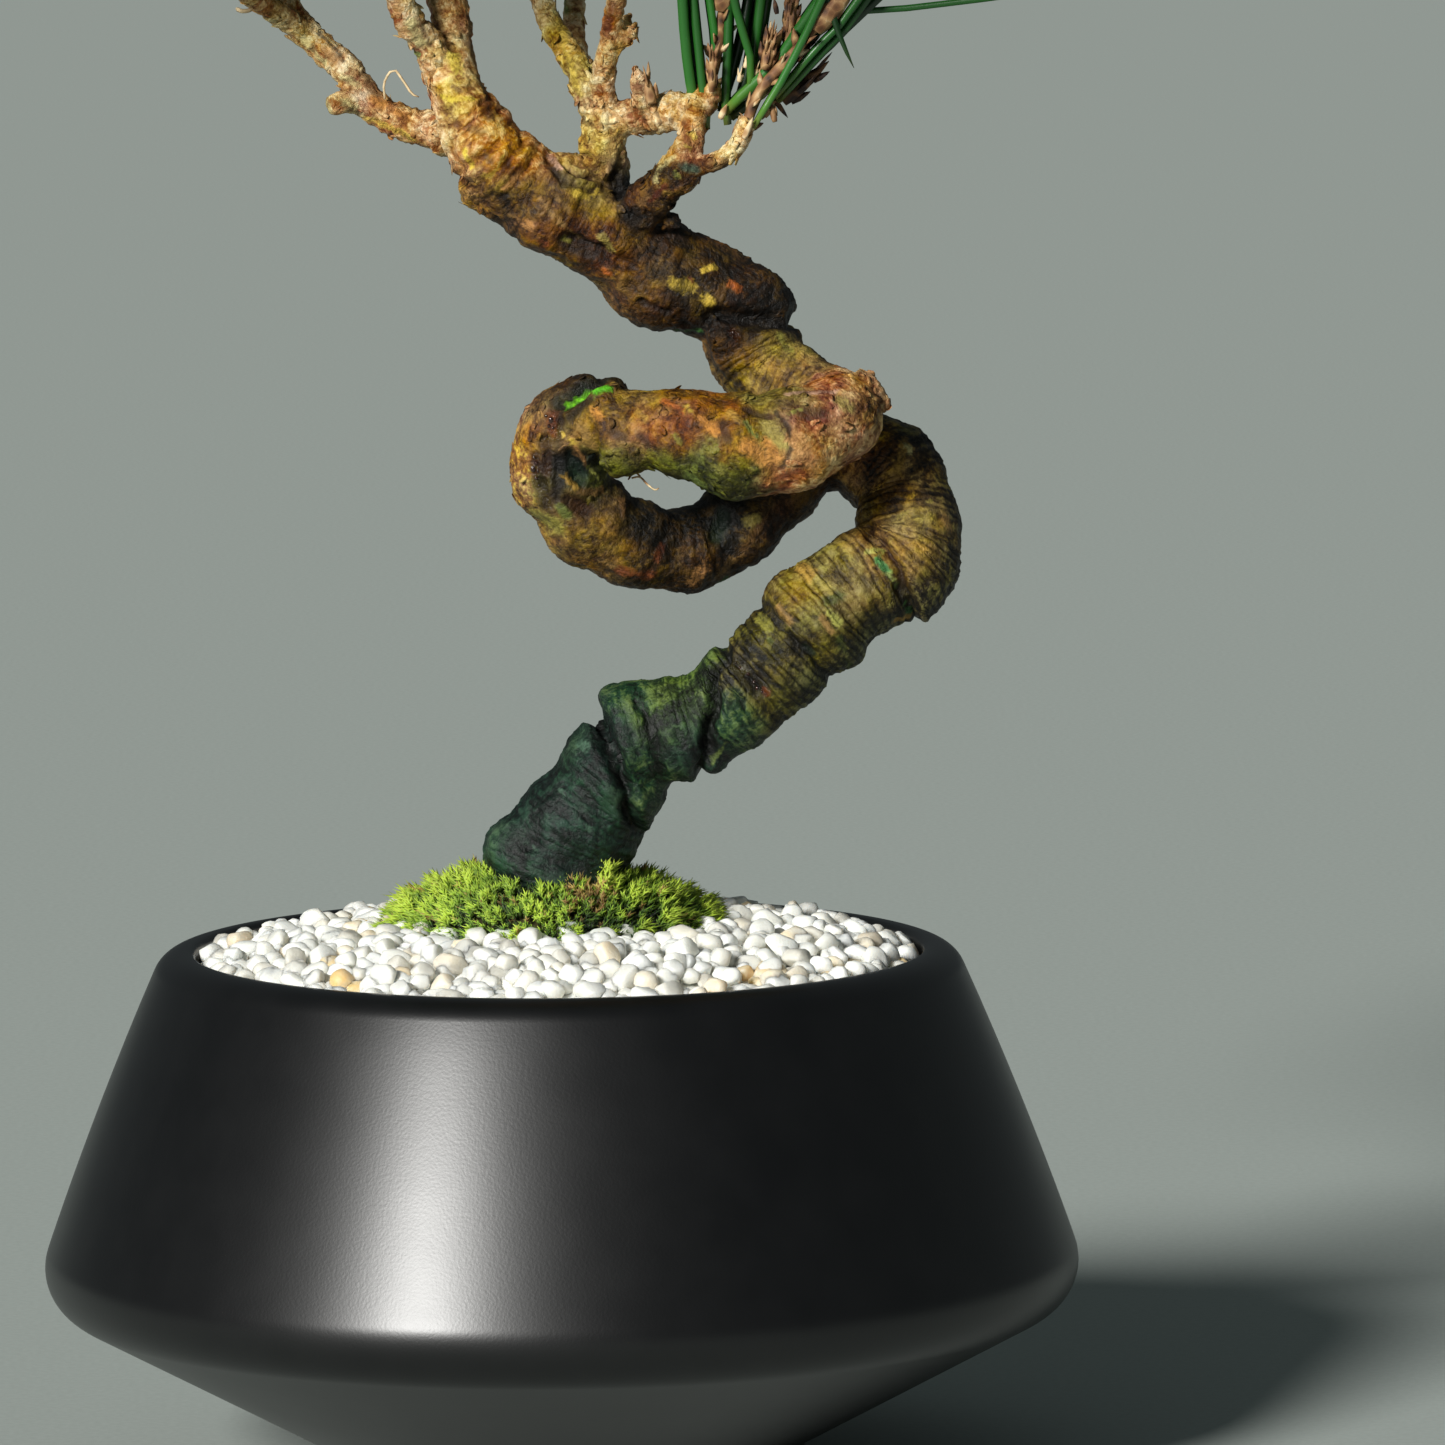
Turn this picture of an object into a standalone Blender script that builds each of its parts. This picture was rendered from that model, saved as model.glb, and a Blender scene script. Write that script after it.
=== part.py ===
"""Japanese black pine bonsai in a round satin black pot.

Metres, +Z up. The origin is the centre of the pot's foot, where it stands.
-Y is the side that the tree is seen from, and +X is to the viewer's right.
Sizes and routes are written in millimetres and scaled by MM.
"""
import math
import random

import bmesh
import bpy
import numpy as np
from mathutils import Euler, Matrix, Vector, noise

MM = 0.001
GAP = 0.3
OBJECT_NAME = "black_pine_bonsai"

# Pot: a soft lip, a flaring wall that bulges slightly, a rounded shoulder, a tapering
# underside and a plain foot. The rim's radius is where the wall would meet the top unrounded.
POT_HEIGHT = 82.0
RIM_RADIUS = 61.3
RIM_INNER_ROUNDING = 1.5
RIM_OUTER_ROUNDING = 5.0
WALL_BULGE = 0.75
WALL_BULGE_SHARES = (0.25, 0.5, 0.75)
SHOULDER_RADIUS = 81.5
SHOULDER_Z = 29.1
SHOULDER_ROUNDING = 6.5
FOOT_RADIUS = 37.4
FOOT_HEIGHT = 5.0
WALL = 5.4
UNDERSIDE_WALL = 4.5
FLOOR_Z = 6.0
TURNED_STEPS = 44

# Drainage: holes round the centre, and a channel from each one out under the foot.
DRAIN_HOLES = 3
DRAIN_HOLE_RADIUS = 4.0
DRAIN_HOLE_CIRCLE = 18.0
DRAIN_CHANNEL_WIDTH = 6.0
DRAIN_CHANNEL_DEPTH = 1.5
DRAIN_CHANNEL_OVERRUN = 4.0
DRAIN_FIRST_TURN = 90.0
SCREEN_RADIUS = 27.0
SCREEN_THICKNESS = 1.0
SCREEN_SLOT = (2.4, 7.0)
SCREEN_SLOT_PITCH = 4.0

# Growing mix and gravel.
SOIL_TOP_Z = 72.5
SOIL_CORNER_GAP = 0.45
SOIL_FOOT_GAP = 0.9
GRAVEL_CROWN_Z = 85.5
GRAVEL_FALL = 5.0
GRAVEL_REACH = 56.5
GRAVEL_BED = 2.8
GRAVEL_BED_RINGS = (30.0, 42.0, 50.0)
PEBBLE_RADIUS = 4.6
PEBBLE_SINK = 3.0
PEBBLE_TILT = 0.45
PEBBLE_COUNT = 100
PEBBLE_RIM_CLEARANCE = 5.0
PEBBLE_SIZES = (0.86, 1.08)
PEBBLE_STRETCH = ((0.8, 1.08), (0.8, 1.08), (0.7, 0.9))
PEBBLE_JITTER = 0.6
PEBBLE_MOSS_MARGIN = 0.72

# Moss mound: an ellipse in plan, domed, with its surface in tufts.
MOSS_CENTRE = (-1.5, 5.0)
MOSS_HALF = (26.5, 19.5)
MOSS_EDGE_Z = 84.2
MOSS_RISE = 11.3
MOSS_STEPS = 32
MOSS_RINGS = 7
MOSS_TUFT = 3.0
MOSS_TUFT_WAVES = (290.0, 90.0)
MOSS_TUFT_SHARES = (1.0, 0.6)

# Wood. Every route point is x, y, z and the radius there.
TRUNK_STEP = 4.5
TWIG_STEP = 6.8
TRUNK_RING_DETAIL = 3
TWIG_RING_DETAIL = 2
FOLD_PITCHES = (9.0, 17.0)
FOLD_SHARES = (1.0, 0.6)
FOLD_HEIGHT = 0.045
SOCKET_SLACK = 0.1

STEM_BASE = (
    (-4.0, 6.0, 56.0, 8.4),
    (-3.5, 6.0, 70.0, 9.4),
    (-2.5, 6.0, 83.0, 10.3),
    (-1.0, 6.0, 92.5, 10.8),
    (2.8, 5.0, 99.5, 9.9),
    (7.6, 4.0, 106.5, 8.7),
    (12.0, 3.0, 112.5, 7.9),
)

TRUNK_ROUTES = {
    "knee": (
        (9.5, 3.0, 113.5, 8.0),
        (14.5, 2.0, 115.0, 8.4),
        (20.5, 1.0, 116.0, 8.0),
        (27.5, 0.0, 120.0, 7.6),
    ),
    "rise": (
        (25.5, 0.0, 118.5, 7.3),
        (34.0, 0.0, 126.0, 8.0),
        (40.0, 0.0, 132.5, 8.5),
        (46.5, 1.0, 137.5, 8.2),
        (52.5, 3.0, 140.0, 8.0),
    ),
    "elbow": (
        (50.5, 2.0, 138.5, 7.8),
        (54.0, 3.0, 141.0, 8.4),
        (54.3, 6.0, 147.0, 7.9),
        (53.0, 9.0, 153.0, 7.5),
        (49.5, 11.0, 156.5, 7.2),
    ),
    "loop_underside": (
        (51.5, 10.0, 155.0, 7.0),
        (44.5, 12.0, 158.3, 6.7),
        (39.0, 12.0, 157.0, 6.7),
        (33.5, 11.0, 152.0, 6.7),
        (28.0, 9.0, 146.5, 6.7),
        (21.0, 7.0, 143.0, 6.3),
        (12.5, 3.0, 144.0, 6.8),
        (5.0, 0.0, 148.5, 7.1),
        (0.8, -2.5, 155.5, 7.0),
    ),
    "loop_side": (
        (2.2, -1.5, 152.5, 6.9),
        (0.3, -3.0, 157.0, 7.1),
        (1.5, -5.0, 162.5, 6.6),
        (5.5, -7.5, 165.5, 5.8),
        (9.5, -9.0, 165.0, 5.2),
    ),
    "loop_front": (
        (8.5, -9.0, 162.0, 6.4),
        (15.0, -11.0, 163.0, 6.3),
        (22.5, -12.5, 162.0, 7.2),
        (30.0, -13.0, 160.5, 8.2),
        (37.5, -13.0, 162.0, 7.7),
        (42.5, -10.5, 164.0, 6.9),
        (44.5, -6.0, 165.5, 6.2),
    ),
    "neck": (
        (44.0, -7.5, 164.5, 6.0),
        (40.0, -3.0, 167.0, 6.2),
        (34.5, 1.0, 169.5, 6.9),
        (31.3, 3.0, 173.5, 7.0),
        (29.0, 4.0, 178.5, 7.0),
    ),
    "shoulder": (
        (30.5, 4.5, 177.0, 6.6),
        (28.0, 4.5, 181.5, 7.3),
        (23.0, 4.0, 183.5, 7.4),
        (16.5, 2.0, 185.5, 7.6),
        (10.5, 1.0, 190.0, 7.1),
        (7.5, 0.0, 193.0, 6.8),
    ),
    "head": (
        (9.5, 0.5, 191.5, 6.4),
        (1.5, -1.0, 196.5, 7.6),
        (-4.0, -1.0, 199.5, 7.2),
        (-8.0, -2.0, 203.5, 6.2),
        (-11.0, -2.0, 208.0, 5.3),
        (-13.5, -2.0, 212.5, 4.7),
        (-16.0, 0.0, 219.5, 3.6),
    ),
}

TWIG_ROUTES = {
    "left_front": (
        (-15.8, -1.0, 215.5, 3.0),
        (-18.5, -2.0, 221.5, 2.6),
        (-21.5, -4.0, 225.5, 2.3),
        (-23.5, -6.0, 231.0, 2.2),
        (-25.5, -10.0, 239.0, 1.9),
    ),
    "crown": (
        (-14.8, 1.0, 215.5, 3.3),
        (-15.5, 3.0, 225.0, 3.1),
        (-16.5, 4.0, 231.5, 2.6),
        (-17.0, 3.0, 240.0, 2.3),
        (-14.5, 0.0, 248.0, 1.9),
    ),
    "left_back": (
        (-16.2, 4.0, 229.0, 2.2),
        (-18.5, 13.0, 236.0, 2.0),
        (-21.5, 24.0, 242.0, 1.7),
    ),
    "left": (
        (-10.5, -1.0, 207.0, 3.6),
        (-18.5, 2.0, 208.5, 2.8),
        (-24.0, 4.0, 210.0, 2.6),
        (-28.5, 5.0, 213.0, 2.5),
        (-31.5, 6.0, 217.5, 2.3),
        (-35.5, 8.0, 221.0, 2.3),
        (-40.0, 10.0, 225.5, 2.2),
        (-42.5, 13.0, 231.5, 2.0),
        (-43.5, 18.0, 240.0, 1.7),
    ),
    "far_left": (
        (-37.5, 9.0, 223.0, 1.9),
        (-43.5, 3.0, 227.5, 1.7),
        (-47.0, -4.0, 230.5, 1.6),
        (-51.5, -12.0, 235.0, 1.5),
    ),
    "left_stub": (
        (-27.5, 5.0, 213.0, 2.0),
        (-34.0, 2.0, 212.5, 1.7),
    ),
    "middle_stem": (
        (8.5, 0.0, 193.5, 4.8),
        (8.0, 0.0, 200.0, 3.9),
        (8.0, -1.0, 205.5, 3.6),
        (8.0, -2.0, 211.5, 3.0),
    ),
    "middle": (
        (8.0, -2.0, 209.0, 2.5),
        (5.5, -1.0, 214.5, 2.3),
        (3.5, 1.0, 219.0, 2.0),
        (1.0, 4.0, 222.5, 1.9),
        (-1.0, 6.0, 226.5, 1.7),
        (-3.5, 8.0, 234.5, 1.5),
    ),
    "back": (
        (8.0, 1.0, 199.5, 2.6),
        (7.5, 13.0, 206.0, 2.1),
        (5.5, 22.0, 213.0, 1.9),
        (3.5, 28.0, 219.5, 1.7),
        (3.5, 32.5, 227.0, 1.6),
        (6.0, 37.0, 234.0, 1.5),
    ),
    "middle_front": (
        (8.0, -2.0, 210.0, 2.2),
        (8.0, -4.0, 216.5, 1.9),
        (9.0, -6.0, 221.0, 1.6),
        (10.0, -9.0, 227.5, 1.5),
        (13.0, -16.0, 238.0, 1.4),
    ),
    "middle_front_stub": (
        (8.7, -5.5, 220.0, 1.1),
        (13.0, -8.0, 224.0, 0.9),
    ),
    "right": (
        (7.5, -2.0, 210.0, 2.6),
        (13.5, -3.0, 210.5, 2.8),
        (18.0, -4.0, 211.0, 2.9),
        (21.5, -5.0, 211.7, 2.8),
        (23.6, -5.0, 213.3, 2.3),
        (24.3, -5.0, 215.6, 2.0),
    ),
    "right_prop": (
        (9.0, 0.0, 191.5, 4.0),
        (13.5, -4.0, 196.5, 3.4),
        (17.0, -6.0, 200.0, 2.9),
        (19.5, -8.0, 202.5, 3.2),
        (21.0, -8.0, 206.0, 2.2),
        (22.0, -6.5, 211.0, 1.9),
    ),
    "far_right": (
        (20.0, -8.5, 202.7, 1.7),
        (25.0, -11.0, 204.0, 1.4),
        (28.5, -12.0, 206.5, 1.4),
        (30.2, -12.0, 210.5, 1.5),
    ),
}

# Needles. A spray is its twig, the way its shoot leans, the shoot's length, the number of
# needles, how far they open from the shoot in degrees, and the share of that to the sides,
# which is small in a brush that is flat as seen from the front.
NEEDLE_SIDES = 3
NEEDLE_ROOT_RADIUS = 0.55
NEEDLE_RADIUS = 0.85
NEEDLE_LENGTH = (54.0, 66.0)
NEEDLE_BOW = 2.2
NEEDLE_SPACING = 2.1
NEEDLE_MIN_RISE = 0.22
SHOOT_RADIUS = 1.9
SHOOT_TIP_RADIUS = 1.5
SHOOT_SWELL = 0.15
SHOOT_STRAIGHT_SHARE = 0.25
NEEDLE_TRIES = 14
NEEDLE_SHARES = (0.12, 0.96)
NEEDLE_OPENING_SPREAD = (0.85, 1.1)
NEEDLE_TURN_JITTER = 0.25
OWN_TWIG_REACH = 3.0
CLEARANCE_STEP = 1.5
GOLDEN_ANGLE = math.pi * (3.0 - math.sqrt(5.0))

SPRAYS = {
    "needles_far_left": ("far_left", (-0.62, -0.25, 0.75), 15.0, 41, (14.0, 60.0), 1.0),
    "needles_left": ("left", (-0.45, 0.35, 0.82), 15.0, 41, (12.0, 60.0), 1.0),
    "needles_left_front": ("left_front", (-0.25, -0.45, 0.86), 15.0, 41, (12.0, 58.0), 1.0),
    "needles_crown": ("crown", (0.05, -0.05, 1.0), 16.0, 46, (8.0, 62.0), 1.0),
    "needles_left_back": ("left_back", (-0.35, 0.68, 0.66), 15.0, 44, (12.0, 56.0), 1.0),
    "needles_middle": ("middle", (0.05, 0.1, 1.0), 15.0, 38, (8.0, 48.0), 1.0),
    "needles_back": ("back", (0.25, 0.6, 0.76), 15.0, 40, (12.0, 60.0), 1.0),
    "needles_middle_front": ("middle_front", (0.22, -0.5, 0.84), 15.0, 41, (12.0, 60.0), 1.0),
    "needles_right": ("right", (0.14, 0.0, 1.0), 12.0, 36, (5.0, 42.0), 0.4),
    "needles_far_right": ("far_right", (0.66, -0.06, 0.75), 18.0, 36, (4.0, 42.0), 0.27),
}

COLOURS = {
    "pot": ((0.012, 0.012, 0.013), 0.38),
    "drain_screen": ((0.03, 0.03, 0.03), 0.6),
    "soil": ((0.12, 0.075, 0.045), 0.95),
    "gravel": ((0.72, 0.71, 0.68), 0.75),
    "moss": ((0.16, 0.22, 0.03), 0.95),
    "trunk": ((0.17, 0.1, 0.045), 0.85),
    "needles": ((0.02, 0.09, 0.025), 0.4),
}


def clear_scene():
    """Remove every object, so the model starts from nothing."""
    for obj in list(bpy.data.objects):
        bpy.data.objects.remove(obj)


def new_collection(name):
    """Add a collection to the scene."""
    made = bpy.data.collections.new(name)
    bpy.context.scene.collection.children.link(made)
    return made


def new_material(name, colour, roughness):
    """Make a Principled material of one colour."""
    made = bpy.data.materials.new(name)
    made.use_nodes = True
    shader = made.node_tree.nodes["Principled BSDF"]
    shader.inputs["Base Color"].default_value = (*colour, 1.0)
    shader.inputs["Roughness"].default_value = roughness
    shader.inputs["Metallic"].default_value = 0.0
    return made


def mesh_object(name, mesh, collection):
    """Put a mesh in the scene as a named object."""
    obj = bpy.data.objects.new(name, mesh)
    collection.objects.link(obj)
    return obj


def dress(obj, kind):
    """Give an object its material and smooth shading with crisp edges."""
    obj.data.materials.clear()
    obj.data.materials.append(new_material(obj.name, *COLOURS[kind]))
    obj.data.shade_smooth()
    obj.data.set_sharp_from_angle(angle=math.radians(40.0))


def evaluated_mesh(obj):
    """Return a new mesh of the object with its modifiers applied."""
    depsgraph = bpy.context.evaluated_depsgraph_get()
    depsgraph.update()
    return bpy.data.meshes.new_from_object(obj.evaluated_get(depsgraph))


def apply_modifiers(obj):
    """Turn an object's modifiers into its mesh."""
    old = obj.data
    made = evaluated_mesh(obj)
    obj.modifiers.clear()
    obj.data = made
    bpy.data.meshes.remove(old)


def cut(obj, cutter, solver="EXACT"):
    """Take a cutter's space out of an object, and remove the cutter."""
    step = obj.modifiers.new("cut", "BOOLEAN")
    step.operation = "DIFFERENCE"
    step.object = cutter
    step.solver = solver
    apply_modifiers(obj)
    bpy.data.objects.remove(cutter)


def fuse(obj, pieces, solver="MANIFOLD"):
    """Join a collection of pieces to an object by one union, and remove them."""
    step = obj.modifiers.new("fuse", "BOOLEAN")
    step.operation = "UNION"
    step.operand_type = "COLLECTION"
    step.collection = pieces
    step.solver = solver
    apply_modifiers(obj)
    for piece in list(pieces.objects):
        bpy.data.objects.remove(piece)
    bpy.data.collections.remove(pieces)


def smooth_route(points, step):
    """Read evenly spaced points from a smooth curve through x, y, z, radius points."""
    given = np.array(points, dtype=float)
    ends = np.vstack([2.0 * given[0] - given[1], given, 2.0 * given[-1] - given[-2]])
    out = []
    for k in range(1, len(ends) - 2):
        a, b, c, d = ends[k - 1:k + 3]
        count = max(1, round(np.linalg.norm(c[:3] - b[:3]) / step))
        for t in np.arange(count) / count:
            out.append(0.5 * (2.0 * b + (c - a) * t + (2.0 * a - 5.0 * b + 4.0 * c - d) * t ** 2
                              + (3.0 * b - a - 3.0 * c + d) * t ** 3))
    out.append(given[-1])
    return np.array(out)


def tube(name, route, ring_detail, collection, grow=0.0):
    """Make a closed tube along x, y, z, radius points, as a mesh object."""
    curve = bpy.data.curves.new(name, "CURVE")
    curve.dimensions = "3D"
    curve.bevel_depth = MM
    curve.bevel_resolution = ring_detail
    curve.use_fill_caps = True
    spline = curve.splines.new("POLY")
    spline.points.add(len(route) - 1)
    for point, (x, y, z, radius) in zip(spline.points, route):
        point.co = (x * MM, y * MM, z * MM, 1.0)
        point.radius = radius + grow
    guide = bpy.data.objects.new(name + "_guide", curve)
    collection.objects.link(guide)
    mesh = evaluated_mesh(guide)
    bpy.data.objects.remove(guide)
    work = bmesh.new()
    work.from_mesh(mesh)
    bmesh.ops.remove_doubles(work, verts=work.verts, dist=1e-6)
    bmesh.ops.recalc_face_normals(work, faces=work.faces)
    work.to_mesh(mesh)
    work.free()
    return mesh_object(name, mesh, collection)


def turned(name, profile, collection, steps=TURNED_STEPS):
    """Turn a profile of (radius, z) points, given from inside over the top and down outside."""
    mesh = bpy.data.meshes.new(name)
    verts = [(r * MM, 0.0, z * MM) for r, z in profile]
    mesh.from_pydata(verts, [(k, k + 1) for k in range(len(verts) - 1)], [])
    obj = mesh_object(name, mesh, collection)
    screw = obj.modifiers.new("turn", "SCREW")
    screw.axis = "Z"
    screw.steps = steps
    screw.render_steps = steps
    screw.use_merge_vertices = True
    screw.merge_threshold = 0.00001
    screw.use_smooth_shade = True
    apply_modifiers(obj)
    return obj


def cylinder(name, radius, low, high, place, collection, sides=24):
    """Make an upright cylinder between two heights at an x, y place."""
    mesh = bpy.data.meshes.new(name)
    work = bmesh.new()
    spot = Matrix.Translation((place[0] * MM, place[1] * MM, 0.5 * (low + high) * MM))
    bmesh.ops.create_cone(work, cap_ends=True, segments=sides, radius1=radius * MM,
                          radius2=radius * MM, depth=(high - low) * MM, matrix=spot)
    work.to_mesh(mesh)
    work.free()
    return mesh_object(name, mesh, collection)


def block(name, size, centre, turn, collection):
    """Make a box of a size at a centre, turned about Z."""
    mesh = bpy.data.meshes.new(name)
    work = bmesh.new()
    bmesh.ops.create_cube(work, size=1.0)
    bmesh.ops.scale(work, vec=Vector(size) * MM, verts=work.verts)
    placing = Matrix.Rotation(turn, 4, "Z") @ Matrix.Translation(Vector(centre) * MM)
    bmesh.ops.transform(work, matrix=placing, verts=work.verts)
    work.to_mesh(mesh)
    work.free()
    return mesh_object(name, mesh, collection)


def rounded(before, corner, after, radius, steps):
    """Return the arc of (radius, z) points that rounds a profile's corner."""
    p, a, b = Vector(corner), Vector(before), Vector(after)
    u = (a - p).normalized()
    v = (b - p).normalized()
    half = 0.5 * u.angle(v)
    centre = p + (u + v).normalized() * (radius / math.sin(half))
    start = p + u * (radius / math.tan(half)) - centre
    end = p + v * (radius / math.tan(half)) - centre
    sweep = start.angle_signed(end)
    arc = []
    for k in range(steps + 1):
        turn = -sweep * k / steps
        c, s = math.cos(turn), math.sin(turn)
        arc.append((centre.x + c * start.x - s * start.y, centre.y + s * start.x + c * start.y))
    return arc


WALL_SLOPE = (SHOULDER_RADIUS - RIM_RADIUS) / (POT_HEIGHT - SHOULDER_Z)
UNDERSIDE_SLOPE = (SHOULDER_RADIUS - FOOT_RADIUS) / (SHOULDER_Z - FOOT_HEIGHT)
UNDERSIDE_INSET = UNDERSIDE_WALL * math.hypot(1.0, UNDERSIDE_SLOPE)


def inner_radius(z):
    """Return the pot's inner radius at a height."""
    upper = RIM_RADIUS - WALL + WALL_SLOPE * (POT_HEIGHT - z)
    lower = FOOT_RADIUS - UNDERSIDE_INSET + UNDERSIDE_SLOPE * (z - FOOT_HEIGHT)
    return min(upper, lower)


def inner_corner():
    """Return the height and radius of the inner corner under the shoulder."""
    rise = (RIM_RADIUS - WALL + WALL_SLOPE * POT_HEIGHT) - (
        FOOT_RADIUS - UNDERSIDE_INSET - UNDERSIDE_SLOPE * FOOT_HEIGHT)
    z = rise / (WALL_SLOPE + UNDERSIDE_SLOPE)
    return z, inner_radius(z)


def wall_point(share):
    """Return the radius and height of the outer wall at a share of the way down from the rim."""
    bulge = 4.0 * WALL_BULGE * share * (1.0 - share)
    return (RIM_RADIUS + (SHOULDER_RADIUS - RIM_RADIUS) * share + bulge,
            POT_HEIGHT + (SHOULDER_Z - POT_HEIGHT) * share)


def drain_turns():
    """Return where the drainage holes lie round the pot's axis, in radians."""
    return [math.radians(DRAIN_FIRST_TURN) + math.tau * k / DRAIN_HOLES for k in range(DRAIN_HOLES)]


def build_pot(model):
    """Turn the pot and cut its drainage holes and the channels under its foot."""
    corner_z, corner_r = inner_corner()
    inner_rim = (RIM_RADIUS - WALL, POT_HEIGHT)
    outer_rim = (RIM_RADIUS, POT_HEIGHT)
    shoulder = (SHOULDER_RADIUS, SHOULDER_Z)
    foot_top = (FOOT_RADIUS, FOOT_HEIGHT)
    profile = [(0.0, FLOOR_Z), (inner_radius(FLOOR_Z), FLOOR_Z), (corner_r, corner_z)]
    wall = [wall_point(share) for share in WALL_BULGE_SHARES]
    profile += rounded((corner_r, corner_z), inner_rim, outer_rim, RIM_INNER_ROUNDING, 2)
    profile += rounded(inner_rim, outer_rim, wall[0], RIM_OUTER_ROUNDING, 4)
    profile += wall
    profile += rounded(wall[-1], shoulder, foot_top, SHOULDER_ROUNDING, 4)
    profile += [foot_top, (FOOT_RADIUS, 0.0), (0.0, 0.0)]
    pot = turned("pot", profile, model)
    for turn in drain_turns():
        place = (DRAIN_HOLE_CIRCLE * math.cos(turn), DRAIN_HOLE_CIRCLE * math.sin(turn))
        cut(pot, cylinder("drain", DRAIN_HOLE_RADIUS, -2.0, FLOOR_Z + 2.0, place, model))
        reach = FOOT_RADIUS + DRAIN_CHANNEL_OVERRUN - DRAIN_HOLE_CIRCLE
        channel = block("channel", (reach, DRAIN_CHANNEL_WIDTH, 2.0 * DRAIN_CHANNEL_DEPTH),
                        (DRAIN_HOLE_CIRCLE + 0.5 * reach, 0.0, 0.0), turn, model)
        cut(pot, channel)
    dress(pot, "pot")


def build_screen(model):
    """Lay a thin slotted screen on the pot's floor, over the drainage holes."""
    low = FLOOR_Z + GAP
    screen = cylinder("drain_screen", SCREEN_RADIUS, low, low + SCREEN_THICKNESS, (0.0, 0.0),
                      model, TURNED_STEPS)
    for turn in drain_turns():
        for side in (-0.5, 0.5):
            slot = block("slot", (SCREEN_SLOT[1], SCREEN_SLOT[0], 6.0 * SCREEN_THICKNESS),
                         (DRAIN_HOLE_CIRCLE, side * SCREEN_SLOT_PITCH, low), turn, model)
            cut(screen, slot)
    dress(screen, "drain_screen")


def build_soil(model):
    """Fill the pot with the growing mix, with a plain hole for the buried stem."""
    bottom = FLOOR_Z + GAP + SCREEN_THICKNESS + GAP
    corner_z, corner_r = inner_corner()
    profile = [
        (0.0, SOIL_TOP_Z),
        (inner_radius(SOIL_TOP_Z) - GAP, SOIL_TOP_Z),
        (corner_r - SOIL_CORNER_GAP, corner_z),
        (inner_radius(bottom) - SOIL_FOOT_GAP, bottom),
        (0.0, bottom),
    ]
    soil = turned("soil", profile, model)
    cut(soil, stem_socket(model))
    dress(soil, "soil")


def stem_socket(model):
    """Make the cutter for the stem's hole: the stem's own tube, grown by the gap."""
    route = folded(smooth_route(STEM_BASE, TRUNK_STEP))
    along = (route[1] - route[0])[:3]
    first = route[0].copy()
    first[:3] -= GAP * along / np.linalg.norm(along)
    return tube("stem_socket", np.vstack([first, route]), TRUNK_RING_DETAIL, model, GAP + SOCKET_SLACK)


def gravel_surface(r):
    """Return the height of the gravel at a distance from the pot's axis."""
    return GRAVEL_CROWN_Z - GRAVEL_FALL * (r / GRAVEL_REACH) ** 4


def in_moss(x, y, margin):
    """Say whether a place lies over the moss, or within a margin of it."""
    dx = (x - MOSS_CENTRE[0]) / (MOSS_HALF[0] + margin)
    dy = (y - MOSS_CENTRE[1]) / (MOSS_HALF[1] + margin)
    return dx * dx + dy * dy < 1.0


def oval_cutter(model):
    """Make the oval cutter for the hole that the moss mound fills."""
    cutter = cylinder("moss_hole", 1.0, 0.0, 200.0, (0.0, 0.0), model, MOSS_STEPS)
    cutter.data.transform(Matrix.Diagonal((MOSS_HALF[0] + GAP, MOSS_HALF[1] + GAP, 1.0, 1.0)))
    cutter.data.transform(Matrix.Translation((MOSS_CENTRE[0] * MM, MOSS_CENTRE[1] * MM, 0.0)))
    return cutter


def build_gravel(model):
    """Lay the gravel: a bed with an oval hole, and stone chips fused into its top."""
    bottom = SOIL_TOP_Z + GAP
    edge = inner_radius(gravel_surface(GRAVEL_REACH) - GRAVEL_BED) - 2.0 * GAP
    profile = [(0.0, gravel_surface(0.0) - GRAVEL_BED)]
    for r in GRAVEL_BED_RINGS:
        profile.append((r, gravel_surface(r) - GRAVEL_BED))
    profile.append((edge, gravel_surface(GRAVEL_REACH) - GRAVEL_BED))
    profile.append((inner_radius(bottom) - GAP, bottom))
    profile.append((0.0, bottom))
    gravel = turned("gravel", profile, model)
    cut(gravel, oval_cutter(model))
    rng = random.Random(11)
    pebbles = new_collection("pebbles")
    reach = RIM_RADIUS - WALL - PEBBLE_RIM_CLEARANCE
    for k in range(PEBBLE_COUNT):
        r = reach * math.sqrt((k + 0.5) / PEBBLE_COUNT)
        x = r * math.cos(GOLDEN_ANGLE * k) + rng.uniform(-PEBBLE_JITTER, PEBBLE_JITTER)
        y = r * math.sin(GOLDEN_ANGLE * k) + rng.uniform(-PEBBLE_JITTER, PEBBLE_JITTER)
        size = PEBBLE_RADIUS * rng.uniform(*PEBBLE_SIZES)
        tilt = [rng.uniform(-PEBBLE_TILT, PEBBLE_TILT) for _ in range(2)]
        turn = Euler([*tilt, rng.uniform(0.0, math.tau)])
        stretch = [rng.uniform(*limits) for limits in PEBBLE_STRETCH]
        if in_moss(x, y, PEBBLE_MOSS_MARGIN * size):
            continue
        z = gravel_surface(math.hypot(x, y)) - PEBBLE_SINK
        place = Matrix.LocRotScale(Vector((x, y, z)) * MM, turn, Vector(stretch))
        mesh = bpy.data.meshes.new("pebble")
        work = bmesh.new()
        bmesh.ops.create_uvsphere(work, u_segments=5, v_segments=3, radius=size * MM, matrix=place)
        work.to_mesh(mesh)
        work.free()
        mesh_object("pebble", mesh, pebbles)
    fuse(gravel, pebbles)
    cut(gravel, oval_cutter(model), "MANIFOLD")
    dress(gravel, "gravel")


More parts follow.
